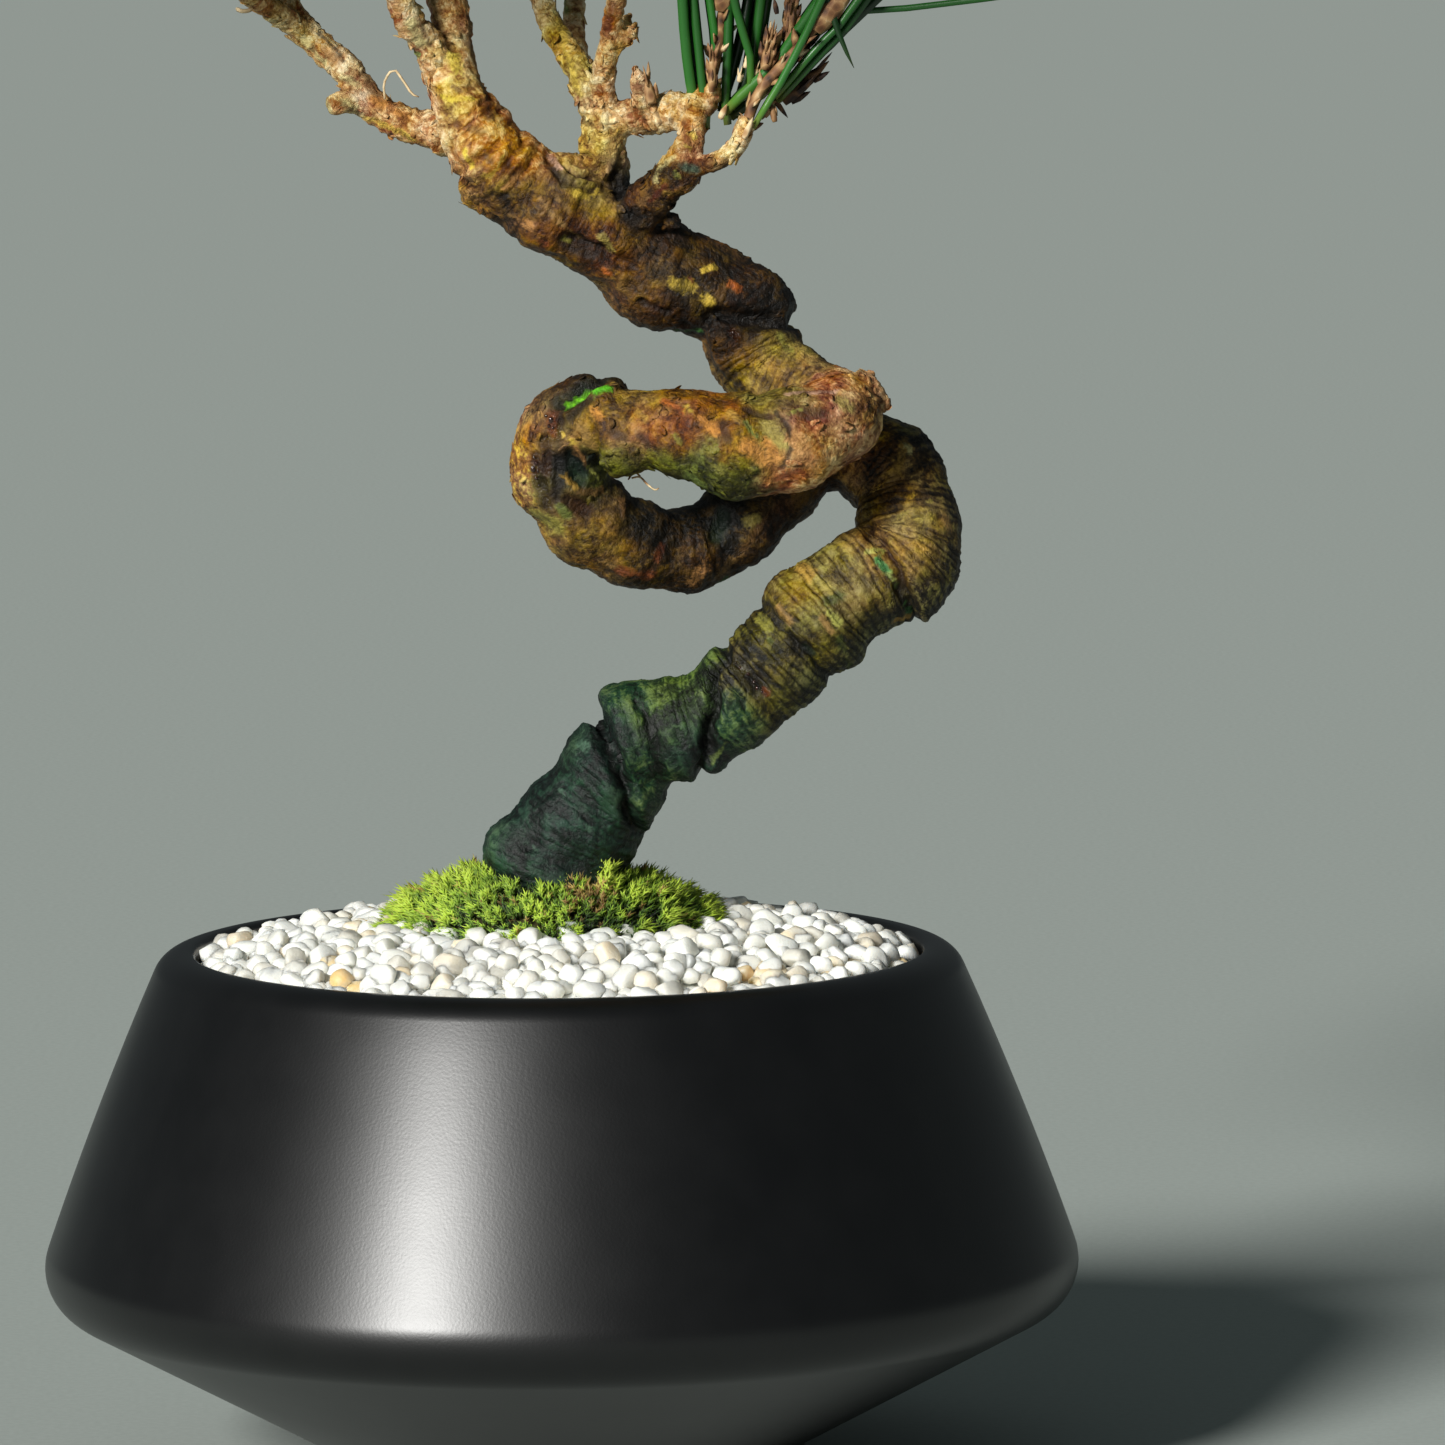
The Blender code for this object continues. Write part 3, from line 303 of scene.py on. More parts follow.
class Nodes:
    """The nodes of a material that is being built, with short ways to add the usual ones."""

    def __init__(self, name: str) -> None:
        """Start the material with its shader and the places on its object.

        Args:
            name: what the material is.
        """
        self.made = bpy.data.materials.new(name)
        self.made.use_nodes = True
        self.tree = self.made.node_tree
        self.shader = self.tree.nodes["Principled BSDF"]
        self.place = add_node(self.tree, "ShaderNodeTexCoord").outputs["Object"]

    def noise(self, wave_mm: float, detail: float = 3.0, **more: float) -> bpy.types.NodeOutputs:
        """Add clouds whose size is a real length."""
        return add_node(self.tree, "ShaderNodeTexNoise", {
            "Vector": self.place, "Scale": 1.0 / (wave_mm * MM), "Detail": detail, **more}).outputs

    def cells(self, size_mm: float, place: Socket | None = None, **settings: str) -> bpy.types.NodeOutputs:
        """Add cells whose size is a real length, at the object's places or at others."""
        return add_node(self.tree, "ShaderNodeTexVoronoi", {
            "Vector": place or self.place, "Scale": 1.0 / (size_mm * MM)}, **settings).outputs

    def mark(self, name: str, kind: str = "Fac") -> Socket:
        """Read a mark that the piece's points carry."""
        return add_node(self.tree, "ShaderNodeAttribute", attribute_name=name).outputs[kind]

    def ramp(self, level: Socket, stops: Stops) -> Socket:
        """Turn a level to the colours of a ramp."""
        return add_node(self.tree, "ShaderNodeValToRGB", {"Fac": level}, stops).outputs["Color"]

    def split(self, colour: Socket) -> bpy.types.NodeOutputs:
        """Split a colour in its three parts."""
        return add_node(self.tree, "ShaderNodeSeparateColor", {"Color": colour}).outputs

    def mix(self, share: Value, first: Value, second: Value, blend: str = "MIX") -> Socket:
        """Mix two colours."""
        return add_node(self.tree, "ShaderNodeMix", {0: share, 6: first, 7: second},
                        data_type="RGBA", blend_type=blend).outputs[2]

    def sum(self, operation: str, *values: Value, clamp: bool = False) -> Socket:
        """Do one sum with numbers or sockets."""
        return add_node(self.tree, "ShaderNodeMath", dict(enumerate(values)), operation=operation,
                        use_clamp=clamp).outputs[0]

    def moved(self, operation: str, *values: Value) -> Socket:
        """Do one sum with places."""
        return add_node(self.tree, "ShaderNodeVectorMath", dict(enumerate(values)),
                        operation=operation).outputs[0]

    def span(self, value: Socket, given: tuple[float, float], wanted: tuple[float, float] = (0.0, 1.0),
             **settings: str) -> Socket:
        """Map one span of a value to another.

        Args:
            value: the value.
            given: the span that it has.
            wanted: the span that it gets.
            settings: the node's own settings.

        Returns:
            The mapped value.
        """
        return add_node(self.tree, "ShaderNodeMapRange", {
            "Value": value, "From Min": given[0], "From Max": given[1], "To Min": wanted[0],
            "To Max": wanted[1]}, **settings).outputs["Result"]

    def shifted(self, level: Socket, pattern: Socket, gain: float, offset: float) -> Socket:
        """Shift a level up and down by a pattern, between 0 and 1."""
        return self.sum("ADD", level, self.sum("MULTIPLY_ADD", pattern, gain, offset), clamp=True)

    def total(self, start: float, parts: tuple[tuple[Socket, float, float, Socket | None], ...]) -> Socket:
        """Add patterns up.

        Args:
            start: what they are added to.
            parts: each pattern with its middle, its gain and, where it has one, its weight.

        Returns:
            Their sum.
        """
        level = start
        for source, middle, gain, weight in parts:
            part = self.sum("MULTIPLY_ADD", source, gain, -middle * gain)
            if weight:
                part = self.sum("MULTIPLY", part, weight)
            level = self.sum("ADD", level, part)
        return level

    def bump(self, height: Socket, depth_mm: float, strength: float = 1.0, **settings: bool) -> Socket:
        """Raise the surface by a pattern."""
        return add_node(self.tree, "ShaderNodeBump", {
            "Height": height, "Distance": depth_mm * MM, "Strength": strength}, **settings).outputs["Normal"]

    def finish(self, values: dict[str, Value]) -> bpy.types.Material:
        """Set the shader's inputs."""
        set_inputs(self.tree, self.shader, values)
        return self.made


def deselect() -> None:
    """Leave edit mode and deselect everything."""
    if bpy.context.object and bpy.context.object.mode != "OBJECT":
        bpy.ops.object.mode_set(mode="OBJECT")
    bpy.ops.object.select_all(action="DESELECT")


def count_triangles(*pieces: bpy.types.Object) -> int:
    """Count the triangles of some pieces."""
    return sum(len(face.vertices) - 2 for piece in pieces for face in piece.data.polygons)


def report(*pieces: bpy.types.Object) -> None:
    """Log how many triangles some pieces have, under the first one's name."""
    LOG.info("%s: %d triangles", pieces[0].name, count_triangles(*pieces))


def activate(obj: bpy.types.Object) -> None:
    """Make one object the only selected and the active one.

    Args:
        obj: the object.
    """
    deselect()
    obj.select_set(True)
    bpy.context.view_layer.objects.active = obj


def edit_all() -> None:
    """Enter edit mode with everything selected."""
    bpy.ops.object.mode_set(mode="EDIT")
    bpy.ops.mesh.select_all(action="SELECT")


def add_shape(add: Callable, **settings: object) -> bpy.types.Object:
    """Add one of Blender's own shapes by its operator, with its place applied.

    Args:
        add: the operator.
        settings: what it is called with.

    Returns:
        The new object.
    """
    deselect()
    add(**settings)
    bpy.ops.object.transform_apply(location=True, rotation=True, scale=True)
    return bpy.context.object


def add_object(name: str, data: bpy.types.ID) -> bpy.types.Object:
    """Add an object to the scene round its mesh, curve, light or camera.

    Args:
        name: the object's name.
        data: what it shows.

    Returns:
        The new object.
    """
    obj = bpy.data.objects.new(name, data)
    bpy.context.scene.collection.objects.link(obj)
    return obj


def store_mark(mesh: bpy.types.Mesh, name: str, values: Array) -> None:
    """Store a number, a place or a colour for each of a mesh's points.

    Args:
        mesh: the mesh.
        name: what the material calls it.
        values: one row for each point.
    """
    kind, part = MARK_KINDS[values.shape[1:]]
    store = mesh.attributes.new(name, kind, "POINT")
    store.data.foreach_set(part, values.astype(np.float32).ravel())


def modify(obj: bpy.types.Object, kind: str, **settings: object) -> None:
    """Add a modifier to an object and apply it.

    Args:
        obj: the object.
        kind: the modifier's type.
        settings: the modifier's settings.
    """
    activate(obj)
    step = obj.modifiers.new(kind.lower(), kind)
    for name, value in settings.items():
        setattr(step, name, value)
    bpy.ops.object.modifier_apply(modifier=step.name)


def finish_piece(obj: bpy.types.Object, name: str, material: bpy.types.Material,
                 nodes: tuple[str, ...] = ()) -> None:
    """Name a finished piece, give it its material and set it on the frame.

    Args:
        obj: the piece.
        name: its name.
        material: its finish.
        nodes: the CAD nodes that it stands for.
    """
    obj.name = name
    obj.data.name = name
    obj.data.materials.clear()
    obj.data.materials.append(material)
    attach(obj, "root")
    if nodes:
        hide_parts(*nodes)


def scatter_hash(cells: Array, seed: int) -> Array:
    """Give each cell of a lattice a fixed random number.

    Args:
        cells: whole numbers, n by 3.
        seed: a number that changes them all.

    Returns:
        n whole numbers of 32 bits.
    """
    value = (cells[:, 0] * 374761393 + cells[:, 1] * 668265263 + cells[:, 2] * 2147483629
             + seed * 1442695041) & 0xFFFFFFFF
    value = ((value ^ (value >> 13)) * 1274126177) & 0xFFFFFFFF
    value = ((value ^ (value >> 16)) * 2246822519) & 0xFFFFFFFF
    return value ^ (value >> 15)


def noise_at(points: Array, seed: int = 0) -> Array:
    """Read a smooth gradient noise, about -1 to 1, with waves about 2 units long.

    Args:
        points: places, n by 3.
        seed: which noise.

    Returns:
        n values.
    """
    cell = np.floor(points)
    part = points - cell
    cell = cell.astype(np.int64)
    fade = part * part * part * (part * (part * 6.0 - 15.0) + 10.0)
    total = np.zeros(len(points))
    for dx in (0, 1):
        for dy in (0, 1):
            for dz in (0, 1):
                corner = np.array((dx, dy, dz))
                code = scatter_hash(cell + corner, seed)
                slope = np.stack([(code & 1023), (code >> 10) & 1023, (code >> 20) & 1023], axis=1)
                slope = slope / 511.5 - 1.0
                weight = np.prod(np.where(corner, fade, 1.0 - fade), axis=1)
                total += weight * np.einsum("ij,ij->i", slope, part - corner)
    return np.clip(total * 1.5, -1.0, 1.0)


def smooth_route(points: Route, step: float) -> Array:
    """Read evenly spaced points from a smooth curve through x, y, z, radius points.

    Args:
        points: the route.
        step: the distance between the points that are read.

    Returns:
        The points, n by 4.
    """
    given = np.array(points, dtype=float)
    ends = np.vstack([2.0 * given[0] - given[1], given, 2.0 * given[-1] - given[-2]])
    out = []
    for k in range(1, len(ends) - 2):
        a, b, c, d = ends[k - 1:k + 3]
        count = max(1, round(np.linalg.norm(c[:3] - b[:3]) / step))
        for t in np.arange(count) / count:
            out.append(0.5 * (2.0 * b + (c - a) * t + (2.0 * a - 5.0 * b + 4.0 * c - d) * t ** 2
                              + (3.0 * b - a - 3.0 * c + d) * t ** 3))
    out.append(given[-1])
    return np.array(out)


@dataclass
class Pattern:
    """A shape that is modelled once and copied: its points and its triangles."""

    points: Array
    faces: Array


def take_pattern(obj: bpy.types.Object) -> Pattern:
    """Read a modelled shape as a pattern, in millimetres, and remove its object.

    Args:
        obj: the object.

    Returns:
        Its points and triangles.
    """
    activate(obj)
    edit_all()
    bpy.ops.mesh.normals_make_consistent(inside=False)
    bpy.ops.mesh.quads_convert_to_tris()
    bpy.ops.object.mode_set(mode="OBJECT")
    mesh = obj.data
    points = np.array([vertex.co[:] for vertex in mesh.vertices]) / MM
    faces = np.array([polygon.vertices[:] for polygon in mesh.polygons])
    bpy.data.objects.remove(obj)
    return Pattern(points, faces)


@dataclass
class Copies:
    """Copies of patterns, gathered into one piece, with marks that its material reads."""

    points: list[Array] = field(default_factory=list)
    faces: list[Array] = field(default_factory=list)
    marks: dict[str, list[Array]] = field(default_factory=dict)
    total: int = 0

    def add(self, points: Array, faces: Array, **marks: object) -> None:
        """Add one copy.

        Args:
            points: its points in millimetres.
            faces: its triangles.
            marks: for each of the material's marks a number, one for each point, or a colour.
        """
        self.points.append(points)
        self.faces.append(faces + self.total)
        self.total += len(points)
        for name, value in marks.items():
            value = np.asarray(value, dtype=float)
            shape = (len(points), 4) if value.shape == (4,) else (len(points),)
            self.marks.setdefault(name, []).append(np.broadcast_to(value, shape))

    def piece(self, name: str) -> bpy.types.Object:
        """Make one smooth-shaded object of all the copies.

        Args:
            name: the piece's name.

        Returns:
            The piece.
        """
        mesh = bpy.data.meshes.new(name)
        mesh.from_pydata((np.vstack(self.points) * MM).tolist(), [], np.vstack(self.faces).tolist())
        for mark, values in self.marks.items():
            store_mark(mesh, mark, np.concatenate(values))
        mesh.shade_smooth()
        return add_object(name, mesh)


def axes_for(direction: Array) -> tuple[Array, Array, Array]:
    """Find two unit axes square to a direction.

    Args:
        direction: any vector.

    Returns:
        The two axes, and the direction at length 1.
    """
    along = direction / np.linalg.norm(direction)
    other = np.array((0.0, 1.0, 0.0)) if abs(along[1]) < 0.8 else np.array((1.0, 0.0, 0.0))
    side = np.cross(other, along)
    side /= np.linalg.norm(side)
    return side, np.cross(along, side), along


def bent(pattern: Pattern, root: Array, direction: Array, length: float, width: float,
         bow: Array, spin: float) -> Array:
    """Lay an upright pattern of length 1 along a bowed line.

    Args:
        pattern: the shape, with z from 0 to 1.
        root: where it starts.
        direction: the way it leaves its root.
        length: how long it gets.
        width: what its x and y are multiplied by.
        bow: how far its tip is moved aside, growing with the square of the way to it.
        spin: the turn about its own line.

    Returns:
        The moved points.
    """
    side, depth, along = axes_for(direction)
    c, s = math.cos(spin), math.sin(spin)
    x = pattern.points[:, 0] * width
    y = pattern.points[:, 1] * width
    z = pattern.points[:, 2]
    across = np.outer(c * x - s * y, side) + np.outer(s * x + c * y, depth)
    return root + across + np.outer(z * length, along) + np.outer(z * z, bow)


def swept(pattern: Pattern, route: Array, width: float) -> Array:
    """Lay an upright pattern of length 1 along a route.

    Args:
        pattern: the shape, with z from 0 to 1.
        route: the places along it, n by 3.
        width: what its x and y are multiplied by.

    Returns:
        The moved points.
    """
    steps = np.gradient(route, axis=0)
    steps /= np.linalg.norm(steps, axis=1)[:, None]
    side = axes_for(steps[0])[0]
    sides = []
    for step in steps:
        side = side - (side @ step) * step
        side /= np.linalg.norm(side)
        sides.append(side)
    sides = np.array(sides)
    depths = np.cross(steps, sides)
    at = np.clip(pattern.points[:, 2], 0.0, 1.0) * (len(route) - 1)
    low = np.minimum(at.astype(int), len(route) - 2)
    part = (at - low)[:, None]

    def between(rows: Array) -> Array:
        """Read the rows between two steps."""
        return rows[low] * (1.0 - part) + rows[low + 1] * part

    return (between(route) + pattern.points[:, :1] * width * between(sides)
            + pattern.points[:, 1:2] * width * between(depths))


@dataclass(frozen=True)
class SatinGlaze:
    """Satin black glaze on fired clay: close to black, with a broad soft highlight."""

    tones: Stops = ((0.35, "#050506"), (0.7, "#09090a"))
    roughness: tuple[float, float] = (0.335, 0.375)
    mottle_mm: float = 9.0
    grain_mm: float = 0.45
    grain_depth_mm: float = 0.02

    def material(self) -> bpy.types.Material:
        """Build the glaze: a faint cloud in its tone and gloss, and a fine orange peel.

        Returns:
            The material.
        """
        nodes = Nodes("satin_black_glaze")
        cloud = nodes.noise(self.mottle_mm)["Fac"]
        grain = nodes.noise(self.grain_mm, 2.0)["Fac"]
        return nodes.finish({
            "Base Color": nodes.ramp(cloud, self.tones),
            "Roughness": nodes.span(cloud, (0.0, 1.0), self.roughness),
            "Normal": nodes.bump(grain, self.grain_depth_mm, 0.6), "IOR": 1.56})


@dataclass(frozen=True)
class MouldedScreen:
    """Black polypropylene, moulded: matt, with a faint pebble to its skin."""

    tones: Stops = ((0.3, "#232323"), (0.7, "#2e2e2d"))
    grain_mm: float = 0.8
    grain_depth_mm: float = 0.05

    def material(self) -> bpy.types.Material:
        """Build the plastic from a fine noise in its tone and skin.

        Returns:
            The material.
        """
        nodes = Nodes("moulded_polypropylene")
        grain = nodes.noise(self.grain_mm)["Fac"]
        return nodes.finish({
            "Base Color": nodes.ramp(grain, self.tones), "Roughness": 0.6,
            "Normal": nodes.bump(grain, self.grain_depth_mm)})


@dataclass(frozen=True)
class GrowingMix:
    """Crumbled clay and bark compost: dark brown grains with paler bits."""

    tones: Stops = ((0.2, "#1d130b"), (0.5, "#4a3220"), (0.8, "#8a6b4a"))
    grain_mm: float = 2.2
    grain_depth_mm: float = 0.6

    def material(self) -> bpy.types.Material:
        """Build the mix from cells of grain size.

        Returns:
            The material.
        """
        nodes = Nodes("growing_mix")
        grains = nodes.cells(self.grain_mm)
        own = nodes.split(grains["Color"])["Red"]
        return nodes.finish({
            "Base Color": nodes.ramp(own, self.tones), "Roughness": 0.95,
            "Normal": nodes.bump(grains["Distance"], self.grain_depth_mm, invert=True)})


@dataclass(frozen=True)
class QuartzChips:
    """Washed quartz: white, a little clear and waxy, some chips grey, a few iron-stained."""

    tones: Stops = ((0.0, "#b4b2a8"), (0.15, "#d0cec4"), (0.45, "#e7e6dc"), (1.0, "#f7f8ef"))
    stain: str = "#e6bd78"
    cloud_mm: float = 2.0
    grain_mm: float = 0.35
    grain_depth_mm: float = 0.12
    clear_mm: tuple[float, float, float] = (2.4, 2.2, 2.0)

    def material(self) -> bpy.types.Material:
        """Build the stone from each chip's own tone, a cloud, a stain and a sugary grain.

        Returns:
            The material.
        """
        nodes = Nodes("washed_quartz")
        cloud = nodes.noise(self.cloud_mm)["Fac"]
        level = nodes.shifted(nodes.mark("chip_tone"), cloud, 0.5, -0.25)
        stained = nodes.sum("MULTIPLY", nodes.mark("chip_stain"), cloud, clamp=True)
        grain = nodes.noise(self.grain_mm)["Fac"]
        return nodes.finish({
            "Base Color": nodes.mix(stained, nodes.ramp(level, self.tones), linear(self.stain)),
            "Normal": nodes.bump(grain, self.grain_depth_mm, 0.7), "Roughness": 0.5, "IOR": 1.54,
            "Subsurface Weight": 0.7, "Subsurface Scale": 1.0,
            "Subsurface Radius": tuple(depth * MM for depth in self.clear_mm)})


@dataclass(frozen=True)
class LivingMoss:
    """Cushion moss: dark at the root, fresh yellow-green at the tips, dead bits brown."""

    greens: Stops = ((0.0, "#070d02"), (0.35, "#1f320a"), (0.7, "#577814"), (1.0, "#a6c634"))
    browns: Stops = ((0.0, "#1d1208"), (0.6, "#6b4822"), (1.0, "#a07a44"))
    patch_mm: float = 5.0
    clear_mm: tuple[float, float, float] = (0.4, 0.8, 0.2)

    def material(self) -> bpy.types.Material:
        """Build the moss from how high on its shoot a point is, and how old the shoot is.

        Returns:
            The material.
        """
        nodes = Nodes("cushion_moss")
        cloud = nodes.noise(self.patch_mm)["Fac"]
        level = nodes.shifted(nodes.mark("moss_height"), cloud, 0.9, -0.45)
        green = nodes.ramp(level, self.greens)
        brown = nodes.ramp(level, self.browns)
        return nodes.finish({
            "Base Color": nodes.mix(nodes.mark("moss_age"), green, brown), "Roughness": 0.6,
            "Subsurface Weight": 0.2, "Subsurface Scale": 1.0,
            "Subsurface Radius": tuple(depth * MM for depth in self.clear_mm)})


@dataclass(frozen=True)
class PineNeedle:
    """Waxy pine needle: deep green and glossy, yellower at its foot."""

    greens: Stops = ((0.0, "#7d8440"), (0.04, "#4d7c28"), (0.14, "#2a6a24"), (1.0, "#1f5a20"))
    dark: str = "#07200b"
    stripe_mm: float = 0.35
    stripe_depth_mm: float = 0.03

    def material(self) -> bpy.types.Material:
        """Build the needle from how far along it a point is, and its own tone.

        Returns:
            The material.
        """
        nodes = Nodes("waxy_pine_needle")
        green = nodes.ramp(nodes.mark("needle_along"), self.greens)
        grain = nodes.noise(self.stripe_mm, 2.0)["Fac"]
        return nodes.finish({
            "Base Color": nodes.mix(nodes.mark("needle_tone"), green, linear(self.dark)),
            "Normal": nodes.bump(grain, self.stripe_depth_mm, 0.5), "Roughness": 0.36,
            "Coat Weight": 0.2, "Coat Roughness": 0.18})


@dataclass(frozen=True)
class PaperyScale:
    """Dry bud scales, sheaths and shoot bark: papery, tan with rust-brown edges."""

    tones: Stops = ((0.0, "#2a160c"), (0.4, "#7b5332"), (0.75, "#b08a5c"), (1.0, "#dcc49a"))
    flake_mm: float = 1.6
    flake_depth_mm: float = 0.3

    def material(self) -> bpy.types.Material:
        """Build the scales from small cells and each piece's own tone.

        Returns:
            The material.
        """
        nodes = Nodes("papery_bud_scale")
        flakes = nodes.cells(self.flake_mm)["Distance"]
        level = nodes.shifted(nodes.mark("scale_tone"), flakes, 0.9, -0.35)
        return nodes.finish({
            "Base Color": nodes.ramp(level, self.tones), "Roughness": 0.7,
            "Normal": nodes.bump(flakes, self.flake_depth_mm)})


@dataclass(frozen=True)
class PineBark:
    """Young pine bark: wrinkled and flaky, dark in its creases partly by painted shade, with algae, lichen
    and resin.
    """

    line_mm: float = 1.3
    line_stretch: float = 0.3
    line_turns: float = 0.314
    plate_mm: float = 1.7
    tear_mm: float = 4.2
    mottle_mm: float = 3.4
    drift_mm: float = 7.14
    grain_mm: float = 0.6
    line_height: float = 0.13
    plate_height: float = 0.16
    mottle_height: float = 0.32
    grain_height: float = 0.12
    relief_depth_mm: float = 1.6

    def material(self) -> bpy.types.Material:
        """Build the bark: three tones, with painted shade in its hollows, lines across the stem, cracked
        plates and marks.

        Returns:
            The material.
        """
        nodes = Nodes("wrinkled_pine_bark")
        mottle = nodes.noise(self.mottle_mm, 6.0, Roughness=0.66, Distortion=0.5)
        drift = nodes.noise(self.drift_mm, 4.0, Roughness=0.62)
        grain = nodes.noise(self.grain_mm, 3.0, Roughness=0.6)["Fac"]
        crest = self.crests(nodes)
        lined = nodes.sum("MULTIPLY", nodes.mark("bark_lines"), drift["Fac"])
        torn = nodes.moved("MULTIPLY_ADD", mottle["Color"], (self.tear_mm * MM,) * 3, nodes.place)
        own = nodes.split(nodes.cells(self.plate_mm, torn)["Color"])["Red"]
        edges = nodes.cells(self.plate_mm, torn, feature="DISTANCE_TO_EDGE")["Distance"]
        crack = nodes.span(edges, (0.0, 0.3))
        plates = nodes.mark("bark_plates")
        # Partly painted shade and light: low places and creases take the hollows' dark tone, high places the
        # ridges' pale tone, and the marks darken by the same level.
        level = nodes.total(0.5, (
            (nodes.mark("bark_relief"), 0.0, 0.34, None), (mottle["Fac"], 0.5, 2.9, None),
            (grain, 0.5, 1.4, None), (crest, 0.62, 0.46, lined),
            (own, 0.5, 0.42, plates), (crack, 0.85, 0.16, plates)))
        height = nodes.total(0.0, (
            (crest, 0.0, self.line_height, lined), (crack, 0.0, self.plate_height, plates),
            (own, 0.0, self.plate_height, plates), (mottle["Fac"], 0.0, self.mottle_height, None),
            (grain, 0.0, self.grain_height, None)))
        ragged = nodes.total(0.0, ((mottle["Fac"], 0.5, 1.5, None), (grain, 0.5, 1.2, None)))
        varied = self.varied(nodes, level, drift["Color"])
        marked = nodes.span(nodes.sum("ADD", nodes.mark("bark_mark"), ragged), (0.15, 1.0), (0.0, 0.78),
                            interpolation_type="SMOOTHSTEP")
        tint = nodes.span(level, (0.0, 1.0), (0.4, 1.15))
        stained = nodes.mix(1.0, nodes.mark("bark_mark_colour", "Color"), tint, "MULTIPLY")
        wet = nodes.sum("ADD", nodes.mark("bark_resin"), ragged)
        return nodes.finish({
            "Base Color": nodes.mix(marked, varied, stained), "Specular IOR Level": 0.3,
            "Roughness": nodes.span(wet, (0.25, 0.6), (0.55, 0.16)),
            "Normal": nodes.bump(height, self.relief_depth_mm)})

    def crests(self, nodes: Nodes) -> Socket:
        """Lay the fine lines across the stem, by the places on it that the skin carries.

        Args:
            nodes: the material's nodes.

        Returns:
            How high on a line each place is.
        """
        stretch = (1.0, self.line_stretch, self.line_stretch)
        stem = nodes.moved("MULTIPLY", nodes.mark("bark_place", "Vector"), stretch)
        wave = add_node(nodes.tree, "ShaderNodeTexWave", {
            "Vector": stem, "Scale": self.line_turns / self.line_mm, "Distortion": 9.0, "Detail": 3.0,
            "Detail Scale": 1.0, "Detail Roughness": 0.62}, wave_type="BANDS", bands_direction="X")
        return nodes.sum("POWER", wave.outputs["Fac"], 0.55)

    def varied(self, nodes: Nodes, level: Socket, drift: Socket) -> Socket:
        """Turn the level to the three tones, with a drift in hue and strength.

        Args:
            nodes: the material's nodes.
            level: how high in the tones each place is.
            drift: three wide clouds, as a colour.

        Returns:
            The bark's colour without its marks.
        """
        lower = nodes.sum("MULTIPLY", level, 2.0, clamp=True)
        upper = nodes.sum("MULTIPLY_ADD", level, 2.0, -1.0, clamp=True)
        tone = nodes.mix(lower, nodes.mark("bark_low", "Color"), nodes.mark("bark_body", "Color"))
        tone = nodes.mix(upper, tone, nodes.mark("bark_high", "Color"))
        clouds = nodes.split(drift)
        return add_node(nodes.tree, "ShaderNodeHueSaturation", {
            "Hue": nodes.sum("MULTIPLY_ADD", clouds["Green"], 0.13, 0.435),
            "Saturation": nodes.sum("MULTIPLY_ADD", clouds["Blue"], 0.9, 0.65),
            "Color": tone}).outputs["Color"]


@dataclass(frozen=True)
class PineResin:
    """Hardened drops of pine resin: clear dark amber with a hard bright gloss."""

    tones: Stops = ((0.35, "#1c0b05"), (0.65, "#34160a"))
    cloud_mm: float = 0.5
    cloud_depth_mm: float = 0.1

    def material(self) -> bpy.types.Material:
        """Build the resin from a small cloud in its amber.

        Returns:
            The material.
        """
        nodes = Nodes("hardened_pine_resin")
        cloud = nodes.noise(self.cloud_mm, 2.0)["Fac"]
        return nodes.finish({
            "Base Color": nodes.ramp(cloud, self.tones), "Roughness": 0.08, "IOR": 1.53,
            "Normal": nodes.bump(cloud, self.cloud_depth_mm), "Coat Weight": 1.0,
            "Coat Roughness": 0.04})


@dataclass(frozen=True)
class PaleFloor:
    """Pale studio paper: even and matt."""

    tones: Stops = ((0.35, "#a9b1ac"), (0.65, "#aeb6b1"))
    fibre_mm: float = 1.2

    def material(self) -> bpy.types.Material:
        """Build the paper from its faint fibres.

        Returns:
            The material.
        """
        nodes = Nodes("pale_studio_paper")
        fibre = nodes.noise(self.fibre_mm, 2.0)["Fac"]
        return nodes.finish({"Base Color": nodes.ramp(fibre, self.tones), "Roughness": 0.9,
                             "Specular IOR Level": 0.1})


